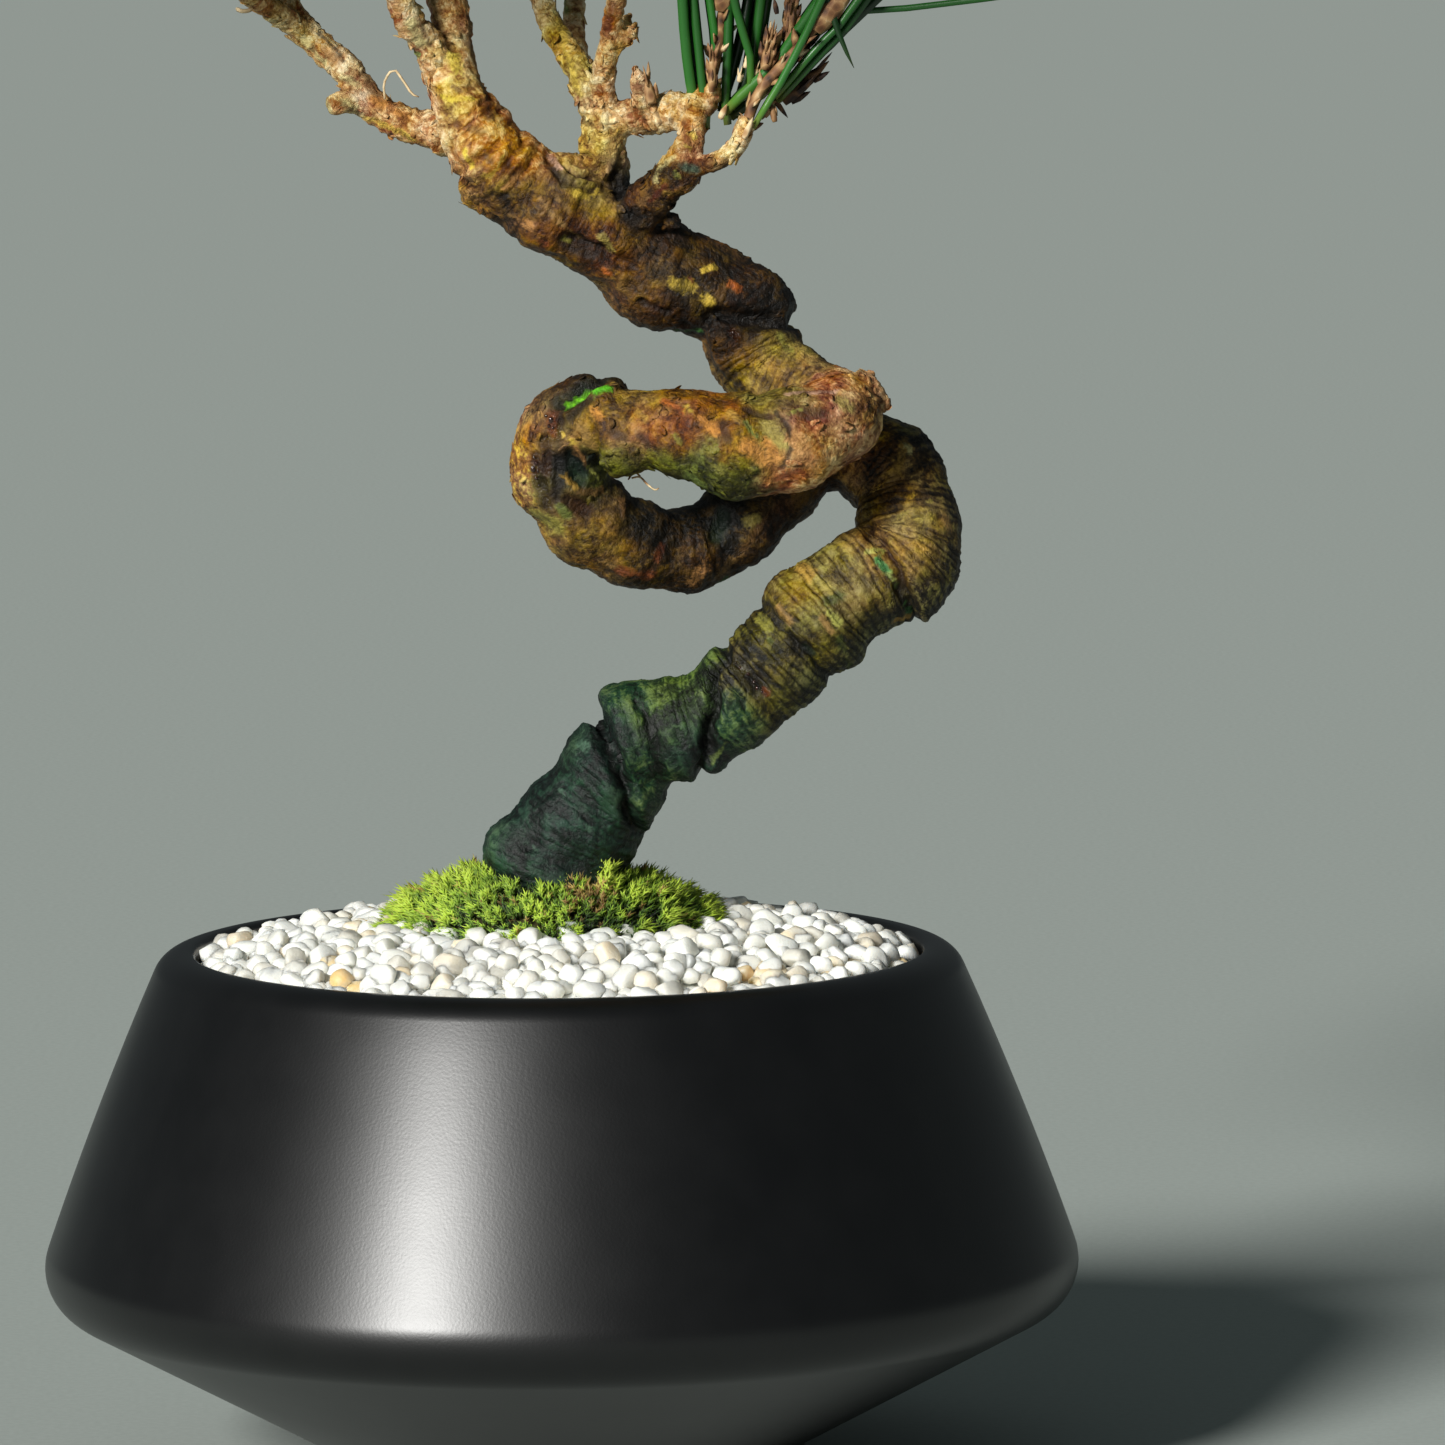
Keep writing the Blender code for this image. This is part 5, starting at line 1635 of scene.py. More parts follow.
# Marks in the front view, one of them painted shade and one a painted highlight: from x, y to x, y in its
# frame, reach in mm and, for some, wetness.
MARKS: dict[Hue, tuple[tuple[float, ...], ...]] = {
    Hue.CRACK: (
        (570, 418, 590, 400, 0.7), (560, 420, 556, 500, 1), (540, 482, 548, 505, 1.2, 0.5),
        (776, 413, 789, 428, 0.42), (789, 428, 792, 450, 0.5), (896, 588, 906, 606, 0.75),
        (735, 664, 758, 686, 1.4, 0.4), (595, 722, 612, 770, 0.6), (612, 770, 624, 812, 0.6),
        (723, 686, 709, 762, 0.55), (640, 300, 668, 312, 0.6), (495, 218, 500, 222, 0.8),
        # (614, 176) to (634, 222) is painted shade in the hollow between the middle stem and the prop, sunk
        # a little as well.
        (554, 171, 564, 185, 0.75), (562, 242, 589, 255, 0.8), (614, 176, 634, 222, 1.1),
    ),
    Hue.WET_CRACK: (
        (560, 404, 600, 384, 1.3), (600, 384, 622, 382, 1), (570, 455, 578, 478, 1.3),
        (724, 515, 716, 537, 1.1), (805, 645, 814, 652, 0.5),
    ),
    Hue.DARK_RESIN: (
        (547, 440, 547, 470, 1, 0.4), (537, 455, 536, 470, 0.7, 0.9), (566, 500, 585, 510, 1.1),
        (745, 410, 772, 418, 0.5), (792, 450, 782, 467, 0.42), (731, 331, 736, 337, 0.8, 0.7),
        (508, 160, 512, 176, 0.4),
    ),
    Hue.DARK_BROWN: (
        (722, 424, 728, 440, 0.6), (612, 432, 622, 438, 0.6), (640, 436, 648, 444, 0.5),
        (808, 412, 823, 413, 0.85), (799, 414, 807, 411, 0.4), (782, 421, 815, 419, 0.28),
        (319, 33, 338, 51, 0.28), (338, 51, 343, 61, 0.28), (483, 86, 490, 116, 0.7),
        (655, 232, 680, 236, 0.7),
    ),
    Hue.REDWOOD: (
        (553, 416, 554, 432, 0.9, 0.5), (836, 388, 842, 384, 0.4), (764, 688, 767, 693, 0.5, 0.6),
        (651, 199, 665, 187, 0.4),
    ),
    Hue.BROWN: (
        (580, 492, 598, 492, 0.5), (621, 500, 624, 514, 0.6), (744, 548, 766, 516, 0.45),
        (820, 440, 826, 462, 0.4), (485, 156, 491, 161, 0.6), (640, 205, 650, 196, 0.4),
        (364, 74, 376, 93, 0.75), (471, 20, 483, 80, 0.8), (452, 86, 460, 91, 0.35),
        (418, 20, 430, 45, 0.35), (583, 118, 592, 124, 0.4), (640, 108, 646, 126, 0.3),
        (655, 104, 660, 124, 0.3), (668, 104, 672, 122, 0.3),
    ),
    Hue.RUST: (
        (657, 558, 662, 547, 0.6), (620, 570, 650, 576, 0.8), (775, 480, 800, 470, 0.5),
        (689, 278, 692, 281, 0.3), (541, 241, 546, 244, 0.5), (606, 30, 612, 5, 0.6),
        (684, 122, 688, 148, 0.5),
    ),
    Hue.BRIGHT_RUST: ((664, 401, 682, 411, 0.5), (731, 283, 739, 288, 0.55), (604, 271, 609, 273, 0.45)),
    Hue.TAN: (
        (718, 577, 731, 560, 0.7), (600, 560, 612, 566, 0.6), (580, 430, 590, 445, 1),
        (889, 488, 897, 472, 0.6), (946, 520, 950, 528, 0.7), (822, 617, 832, 632, 0.45),
        (778, 608, 790, 620, 0.6), (540, 198, 552, 215, 0.35), (555, 196, 568, 210, 0.35),
        (560, 222, 580, 236, 0.4), (432, 0, 442, 30, 0.4), (470, 128, 480, 132, 0.6),
        (720, 168, 728, 160, 0.5),
    ),
    Hue.WARM_TAN: (
        (575, 447, 587, 463, 0.35), (602, 490, 622, 477, 0.5), (690, 583, 704, 568, 0.8),
        (794, 440, 808, 462, 1.3), (505, 188, 521, 170, 0.45), (525, 224, 530, 227, 0.55),
        (324, 50, 334, 60, 0.65),
    ),
    # (786, 394) to (834, 392) is a painted highlight along the ridge at the loop's end.
    Hue.PINK_TAN: ((786, 394, 834, 392, 0.45), (549, 156, 560, 167, 0.45)),
    Hue.OCHRE: (
        (566, 477, 576, 488, 0.4), (638, 412, 646, 420, 0.5), (730, 412, 740, 422, 0.5),
        (897, 472, 905, 440, 0.65), (896, 619, 909, 615, 0.6), (918, 545, 924, 548, 0.5),
        (800, 566, 812, 576, 0.9), (666, 192, 699, 188, 0.55),
    ),
    Hue.ORANGE: (
        (594, 410, 600, 419, 0.6), (700, 418, 716, 430, 0.7), (748, 446, 770, 462, 1.1),
        (768, 442, 778, 460, 0.9), (374, 99, 382, 106, 0.65), (396, 111, 406, 119, 0.55),
    ),
    Hue.OLIVE_OCHRE: (
        (747, 522, 757, 519, 0.7), (770, 424, 779, 442, 1.3), (838, 400, 850, 408, 0.8),
        (899, 517, 931, 501, 0.32), (815, 578, 832, 592, 0.7), (602, 236, 611, 249, 0.6),
    ),
    Hue.LICHEN: (
        (562, 432, 573, 443, 0.32), (686, 406, 692, 414, 0.4), (675, 284, 684, 288, 0.85),
        (684, 283, 692, 286, 0.7), (706, 297, 710, 303, 0.6), (702, 271, 715, 267, 0.4),
        (472, 167, 490, 176, 0.5), (490, 176, 503, 157, 0.4), (580, 148, 588, 153, 0.8),
        (575, 193, 590, 198, 0.4), (590, 198, 598, 190, 0.4), (365, 118, 392, 129, 0.55),
        (392, 129, 416, 141, 0.55), (560, 20, 568, 60, 0.6), (568, 60, 580, 95, 0.5),
        (692, 134, 695, 137, 0.4), (687, 146, 690, 149, 0.4),
    ),
    Hue.BRIGHT_LICHEN: (
        (465, 151, 472, 167, 0.5), (453, 54, 457, 70, 1), (440, 96, 452, 100, 0.4),
        (452, 100, 474, 99, 0.4),
    ),
    Hue.PALE_WOOD: (
        (905, 443, 910, 452, 0.4), (656, 179, 662, 166, 0.5), (662, 166, 673, 158, 0.5),
        (346, 104, 360, 115, 0.8), (326, 102, 330, 110, 0.8), (304, 41, 325, 63, 0.6),
        (344, 78, 356, 85, 0.65), (411, 24, 420, 42, 0.8),
    ),
    Hue.DEEP_OLIVE: ((828, 601, 838, 596, 0.8), (770, 640, 800, 700, 0.35), (840, 640, 850, 665, 0.6)),
    Hue.OLIVE: (
        (536, 515, 556, 524, 1.4), (675, 436, 680, 442, 0.5), (716, 466, 722, 470, 0.7),
        (759, 617, 769, 628, 0.7), (780, 336, 789, 350, 0.6), (564, 239, 569, 242, 0.5),
    ),
    Hue.MOSS_OLIVE: (
        (560, 508, 566, 515, 0.8), (690, 478, 715, 492, 1), (745, 422, 756, 436, 0.4),
        (712, 763, 727, 742, 0.28),
    ),
    Hue.YELLOW_GREEN: (
        (588, 465, 597, 478, 0.35), (790, 413, 803, 409, 0.36), (867, 552, 883, 551, 0.38),
        (830, 612, 838, 622, 0.5), (675, 173, 678, 177, 0.45),
    ),
    Hue.GREY_TEAL: (
        (580, 742, 586, 747, 0.55), (560, 790, 590, 830, 0.35), (520, 800, 535, 850, 0.3),
        (683, 166, 696, 170, 0.6),
    ),
    Hue.LEAF_GREEN: ((720, 585, 727, 577, 0.4), (904, 603, 910, 613, 0.5), (678, 334, 700, 331, 0.5)),
    Hue.ALGAE: ((878, 560, 889, 574, 0.5),),
    Hue.FRESH_GREEN: ((409, 52, 420, 55, 0.5), (563, 2, 567, 10, 0.6)),
    Hue.PALE_LIME: ((888, 573, 896, 587, 0.55),),
    Hue.DEEP_LIME: ((590, 392, 597, 390, 0.65), (597, 391, 608, 388, 0.72)),
    Hue.LIME: ((568, 405, 592, 391, 0.7),),
}

# Drops of resin in the front view: x and y in its frame, and their radius in mm.
DROPS: tuple[tuple[float, ...], ...] = (
    (534, 457, 0.28), (536, 463, 0.34), (533, 469, 0.42), (538, 471, 0.25), (536, 478, 0.3),
    (539, 485, 0.22), (546, 416, 0.3), (551, 420, 0.38), (549, 426, 0.26), (553, 428, 0.22),
    (547, 436, 0.22), (740, 668, 0.22), (748, 674, 0.3), (754, 682, 0.26), (757, 688, 0.34),
    (762, 692, 0.24), (736, 663, 0.2), (733, 333, 0.26), (543, 455, 0.2),
)


@dataclass(frozen=True)
class Ripple:
    """Folds in rings under the foot of a branch."""

    centre: Place
    pitch: float
    reach: float
    height: float


RIPPLES = (
    Ripple((-11.2, -4.5, 207.0), 2.7, 10.5, 0.6), Ripple((5.0, -4.0, 204.6), 2.3, 7.5, 0.5),
    Ripple((18.5, -9.0, 203.5), 2.2, 5.0, 0.22), Ripple((-9.0, -3.0, 215.0), 2.4, 6.0, 0.2),
)

CREASES = (
    Crease((8.1, 4.0, 110.8), (0.95, 0.10, 0.30), 13.0, 0.95, 1.9),
    Crease((24.5, 0.0, 117.9), (0.97, -0.12, -0.18), 12.0, 0.85, 1.7),
    Crease((51.8, 2.0, 138.7), (0.88, 0.15, 0.44), 10.5, 0.8, 1.5),
    Crease((29.6, 4.0, 179.3), (0.15, 0.0, 0.99), 9.6, 1.1, 1.7),
    Crease((7.0, -1.0, 190.0), (0.38, 0.05, 0.92), 9.5, 0.9, 1.3),
    Crease((4.6, -10.0, 169.2), (-0.6, 0.0, 0.8), 5.5, 1.1, 1.3),
    Crease((14.5, -6.0, 115.6), (0.92, 0.2, 0.33), 8.0, 0.7, 0.5),
    Crease((37.0, 0.0, 129.0), (0.72, 0.1, 0.69), 10.0, 0.7, 0.5),
)

SWELLINGS = (
    Swelling((30.9, -7.0, 136.4), 3.0, 0.8), Swelling((39.8, -6.0, 141.9), 3.4, 0.7),
    Swelling((24.8, -3.0, 173.4), 2.2, 0.9), Swelling((-3.5, -5.0, 188.6), 2.6, 1.0),
    Swelling((19.3, 0.0, 193.5), 2.2, 1.0), Swelling((36.4, 0.0, 180.4), 1.7, 0.9),
    Swelling((40.6, -20.0, 168.2), 1.2, -0.9), Swelling((8.9, -3.0, 121.8), 3.2, 0.9),
    Swelling((-9.5, -1.0, 100.5), 4.2, 1.3), Swelling((16.0, -6.0, 109.5), 3.0, 0.8),
)


class Bark:
    """The bark's relief, tones and marks, read at points of the wood."""

    # For each route the height and pitch of its wrinkles, then the height of its lumps and plates.
    ROUGHNESS: dict[str, tuple[float, float, float, float]] = {
        "base": (0.32, 3.4, 0.7, 0.14), "knee": (0.36, 2.8, 0.6, 0.14), "rise": (0.42, 2.5, 0.5, 0.10),
        "elbow": (0.42, 2.5, 0.5, 0.10), "loop_underside": (0.34, 2.8, 0.6, 0.16),
        "loop_side": (0.28, 3.0, 0.5, 0.16), "loop_front": (0.22, 3.0, 0.65, 0.14),
        "neck": (0.5, 2.5, 0.5, 0.12), "shoulder": (0.34, 3.6, 1.3, 0.2), "head": (0.55, 2.9, 0.9, 0.17),
    }
    TWIG_ROUGHNESS = (0.7, 2.7, 0.3, 0.2)
    # For each route how much its fine lines and its plates show.
    FINE: dict[str, tuple[float, float]] = {
        "base": (0.9, 0.1), "knee": (0.9, 0.2), "rise": (2.0, 0.3), "elbow": (1.6, 0.4),
        "loop_underside": (0.3, 0.5), "loop_side": (0.3, 0.6), "loop_front": (0.4, 0.6),
        "neck": (1.3, 0.4), "shoulder": (0.6, 0.5), "head": (0.9, 0.4),
    }
    TWIG_FINE = (0.45, 1.0)
    WRINKLE_LENGTH = 6.5
    LUMP_WAVE = 6.5
    PLATE_WAVE = 1.9
    DRIFT_WAVE = 7.0
    DRIFT_REACH = 1.6
    # How the zones' edges wander: how far, the noise's cell in mm, and the first of its three seeds.
    WARPS = ((2.2, 4.0, 11), (0.8, 1.3, 14))
    # Where the twigs' lengths start on the stem's, apart from each other, and how far routes lap.
    TWIG_START = 700.0
    TWIG_STEP = 61.0
    LAP = 2.0
    BLEND = 0.7
    CHUNK = 20000
    # A crease's wander in mm; how far out its lips are and how wide, by its width; how high, by its depth.
    WANDER = 0.9
    LIP_PLACE = 2.2
    LIP_WIDTH = 1.3
    LIP_HEIGHT = 0.28
    ZONE_FALL = 3.0
    # The weight of the plain tone, which shows only where no zone reaches.
    PLAIN_WEIGHT = 1e-7
    # How far inside a mark a point counts at its line, what it loses for each reach from it, and at least.
    MARK_CORE = 1.25
    MARK_FALL = 0.6
    OUTSIDE = -0.6
    # How deep a dark mark sinks, by its reach, and how many reaches from its line it ends.
    SINK_DEPTH = 0.7
    SINK_EDGE = 1.3

    def __init__(self, routes: dict[str, Array]) -> None:
        """Lay the stem's own lengths and turning along all the routes.

        Args:
            routes: x, y, z, radius points about 1 mm apart, by name.
        """
        self.routes = routes
        self.zones: list[Zone] = []
        self.spots: list[Mark] = []
        self.drops: list[tuple[Place, float]] = []
        self.sides: dict[str, Array] = {}
        self.starts: dict[str, float] = {}
        last_side = np.array((0.0, -1.0, 0.0))
        travelled = 0.0
        for place, (name, route) in enumerate(routes.items()):
            steps = np.diff(route[:, :3], axis=0)
            steps = np.vstack([steps, steps[-1]])
            steps /= np.linalg.norm(steps, axis=1)[:, None]
            sides = []
            for step in steps:
                last_side = last_side - (last_side @ step) * step
                last_side /= np.linalg.norm(last_side)
                sides.append(last_side)
            self.sides[name] = np.array(sides)
            apart = self.TWIG_START + self.TWIG_STEP * place
            self.starts[name] = travelled if name in TRUNK_ROUTES else apart
            travelled += len(route) - self.LAP

    def stem_places(self, points: Array, name: str, nearest: Array) -> Array:
        """Find how far along a route, and where round it, points are.

        Args:
            points: the points.
            name: the route.
            nearest: the route's nearest point to each.

        Returns:
            Length along the stem, and the two ways out from it at its own radius.
        """
        route = self.routes[name]
        side = self.sides[name][nearest]
        ahead = np.clip(nearest + 1, 0, len(route) - 1)
        behind = np.clip(nearest - 1, 0, len(route) - 1)
        step = route[ahead, :3] - route[behind, :3]
        step /= np.linalg.norm(step, axis=1)[:, None]
        out = points - route[nearest, :3]
        along = np.einsum("ij,ij->i", out, step)
        u = np.einsum("ij,ij->i", out, side)
        v = np.einsum("ij,ij->i", out, np.cross(step, side))
        far = np.hypot(u, v) + 1e-6
        radius = route[nearest, 3]
        return np.stack([self.starts[name] + nearest + along, u / far * radius, v / far * radius], axis=1)

    def relief(self, places: Array, points: Array, name: str) -> Array:
        """Read one route's wrinkles, lumps and plates.

        Args:
            places: the points' places on the stem.
            points: the points.
            name: the route.

        Returns:
            Heights in millimetres.
        """
        wrinkle, pitch, lump, plate = self.ROUGHNESS.get(name, self.TWIG_ROUGHNESS)
        drift = self.DRIFT_REACH * noise_at(points / self.DRIFT_WAVE, 3)
        along = (places[:, 0] + drift) / pitch * 1.6
        spread = np.stack([along, *(places[:, 1:] / self.WRINKLE_LENGTH).T], axis=1)
        ridged = 1.0 - 2.0 * np.abs(noise_at(spread, 1))
        second = 1.0 - 2.0 * np.abs(noise_at(spread * 1.9 + 7.0, 2))
        lumps = noise_at(points / self.LUMP_WAVE, 4)
        plates = 1.0 - 2.2 * np.abs(noise_at(points / self.PLATE_WAVE, 5))
        return wrinkle * (0.7 * ridged + 0.3 * second - 0.35) + lump * lumps + plate * (plates - 0.3)

    def find_features(self, wood: bpy.types.Object) -> None:
        """Find where the front view's tones, marks and drops lie on the wood.

        Args:
            wood: the skin as it is now.
        """
        bpy.context.view_layer.update()
        skin = BVHTree.FromObject(wood, bpy.context.evaluated_depsgraph_get())
        self.zones = [Zone(SIGHT.on_skin(skin, x, y), radius, tone)
                      for tone, balls in ZONES.items() for x, y, radius in balls]
        self.zones += [Zone((x, y, z), radius, tone)
                       for tone, balls in FAR_ZONES.items() for x, y, z, radius in balls]
        self.spots = [Mark(SIGHT.on_skin(skin, x, y), SIGHT.on_skin(skin, end_x, end_y), reach, hue, *wet)
                      for hue, rows in MARKS.items() for x, y, end_x, end_y, reach, *wet in rows]
        self.drops = [(SIGHT.on_skin(skin, x, y), radius) for x, y, radius in DROPS]

    def nearest(self, points: Array) -> tuple[Array, Array, Array]:
        """Find the two nearest routes to each point.

        Args:
            points: the points.

        Returns:
            Distances from the surface of the tubes, n by routes; each route's nearest point; order.
        """
        names = list(self.routes)
        away = np.empty((len(points), len(names)), dtype=np.float32)
        spot = np.empty((len(points), len(names)), dtype=np.int32)
        for column, name in enumerate(names):
            route = self.routes[name].astype(np.float32)
            for first in range(0, len(points), self.CHUNK):
                part = points[first:first + self.CHUNK].astype(np.float32)
                square = ((part ** 2).sum(1)[:, None] - 2.0 * part @ route[:, :3].T
                          + (route[:, :3] ** 2).sum(1)[None, :])
                gap = np.sqrt(np.maximum(square, 0.0)) - route[:, 3][None, :]
                best = gap.argmin(1)
                spot[first:first + self.CHUNK, column] = best
                away[first:first + self.CHUNK, column] = gap[np.arange(len(part)), best]
        return away, spot, np.argsort(away, axis=1)[:, :2]

    def read(self, points: Array) -> dict[str, Array]:
        """Read the relief and the places on the stem, blended between neighbouring routes.

        Args:
            points: the points.

        Returns:
            Heights as "height", the places as "place", the stem's radius and way, and how much
            the fine lines and the plates show.
        """
        names = list(self.routes)
        away, spot, order = self.nearest(points)
        rows = np.arange(len(points))
        height = np.zeros(len(points))
        weight = np.zeros(len(points))
        place = np.zeros((len(points), 3))
        slim = np.zeros(len(points))
        way = np.zeros((len(points), 3))
        fine = np.zeros((len(points), 2))
        for rank in (0, 1):
            for column, name in enumerate(names):
                chosen = rows[order[:, rank] == column]
                if not len(chosen):
                    continue
                places = self.stem_places(points[chosen], name, spot[chosen, column])
                share = np.exp(-(away[chosen, column] - away[chosen, order[chosen, 0]]) / self.BLEND)
                height[chosen] += share * self.relief(places, points[chosen], name)
                weight[chosen] += share
                fine[chosen] += share[:, None] * np.array(self.FINE.get(name, self.TWIG_FINE))
                if rank == 0:
                    route = self.routes[name]
                    at = np.clip(spot[chosen, column], 1, len(route) - 2)
                    place[chosen] = places
                    slim[chosen] = route[spot[chosen, column], 3]
                    way[chosen] = route[at + 1, :3] - route[at - 1, :3]
        way /= np.linalg.norm(way, axis=1)[:, None]
        fine /= weight[:, None]
        return {"height": height / weight, "place": place, "radius": slim, "way": way,
                "lines": fine[:, 0], "plates": fine[:, 1]}

    def features(self, points: Array) -> tuple[Array, Array]:
        """Read the creases and swellings.

        Args:
            points: the points.

        Returns:
            Heights in millimetres, and how deep in a crease each point is, 0 to 1.
        """
        height = np.zeros(len(points))
        crack = np.zeros(len(points))
        wander = self.WANDER * noise_at(points / 4.0, 8)
        for crease in CREASES:
            out = points - np.array(crease.centre)
            normal = np.array(crease.normal) / np.linalg.norm(crease.normal)
            off = out @ normal + wander
            near = np.linalg.norm(out - np.outer(out @ normal, normal), axis=1)
            fade = np.clip((crease.reach - near) / 2.0, 0.0, 1.0)
            sink = np.exp(-(off / crease.width) ** 2) * fade
            lip_off = (np.abs(off) - self.LIP_PLACE * crease.width) / (self.LIP_WIDTH * crease.width)
            height += crease.depth * (self.LIP_HEIGHT * (np.exp(-lip_off ** 2) * fade) - sink)
            crack = np.maximum(crack, sink)
        for bump in SWELLINGS:
            near = np.linalg.norm(points - np.array(bump.centre), axis=1)
            height += bump.height * np.exp(-(near / bump.radius) ** 2)
        for ripple in RIPPLES:
            out = points - np.array(ripple.centre)
            near = np.linalg.norm(out, axis=1)
            fade = np.clip((ripple.reach - near) / 3.0, 0.0, 1.0) * np.clip(0.6 - out[:, 2] / 2.0, 0.0, 1.0)
            wave = np.cos(math.tau * (near + 0.6 * wander) / ripple.pitch)
            height += ripple.height * fade * wave
            crack = np.maximum(crack, fade * np.clip(-1.2 * wave - 0.5, 0.0, 0.6))
        return height, crack

    def tones(self, points: Array) -> Array:
        """Blend the zones' tones.

        Args:
            points: the points.

        Returns:
            The linear colours of the hollows, the body and the ridges, 3 by n by 4.
        """
        moved = points.copy()
        for reach, wave, seed in self.WARPS:
            moved += reach * np.stack([noise_at(points / wave, seed + axis) for axis in range(3)], axis=1)
        mixed = np.zeros((3, len(points), 4))
        total = np.full(len(points), self.PLAIN_WEIGHT)
        for zone in self.zones:
            near = np.linalg.norm(moved - np.array(zone.centre), axis=1)
            share = np.exp(-self.ZONE_FALL * (near / zone.radius) ** 2)
            total += share
            for rank, colour in enumerate(zone.tone.value):
                mixed[rank] += share[:, None] * np.array(linear(colour))
        for rank, colour in enumerate(Tone.PAPERY_TAN.value):
            mixed[rank] += self.PLAIN_WEIGHT * np.array(linear(colour))
        return mixed / total[:, None]

    def marks(self, points: Array) -> tuple[Array, Array, Array, Array]:
        """Read the marks.

        Args:
            points: the points.

        Returns:
            How far inside a mark each point is, -0.6 to 1, its colour, its wetness, and how deep
            a dark mark sinks in millimetres.
        """
        depth = np.zeros(len(points))
        best = np.full(len(points), self.OUTSIDE)
        colour = np.tile(np.array((0.02, 0.02, 0.02, 1.0)), (len(points), 1))
        wet = np.zeros(len(points))
        for mark in self.spots:
            start = np.array(mark.start)
            line = np.array(mark.end) - start
            out = points - start
            share = np.clip(out @ line / max(line @ line, 1e-9), 0.0, 1.0)
            away = np.linalg.norm(out - np.outer(share, line), axis=1) / mark.reach
            inside = np.clip(self.MARK_CORE - self.MARK_FALL * away, self.OUTSIDE, 1.0)
            if mark.hue in SUNK_HUES:
                sunk = self.SINK_DEPTH * mark.reach * np.clip(self.SINK_EDGE - away, 0.0, 1.0)
                depth = np.maximum(depth, sunk)
            chosen = (inside > self.OUTSIDE + 0.1) & (inside >= best)
            best[chosen] = np.maximum(best[chosen], inside[chosen])
            colour[chosen] = linear(mark.hue.value)
            wet = np.maximum(wet, np.maximum(inside, 0.0) * mark.wet)
        return best, colour, wet, depth


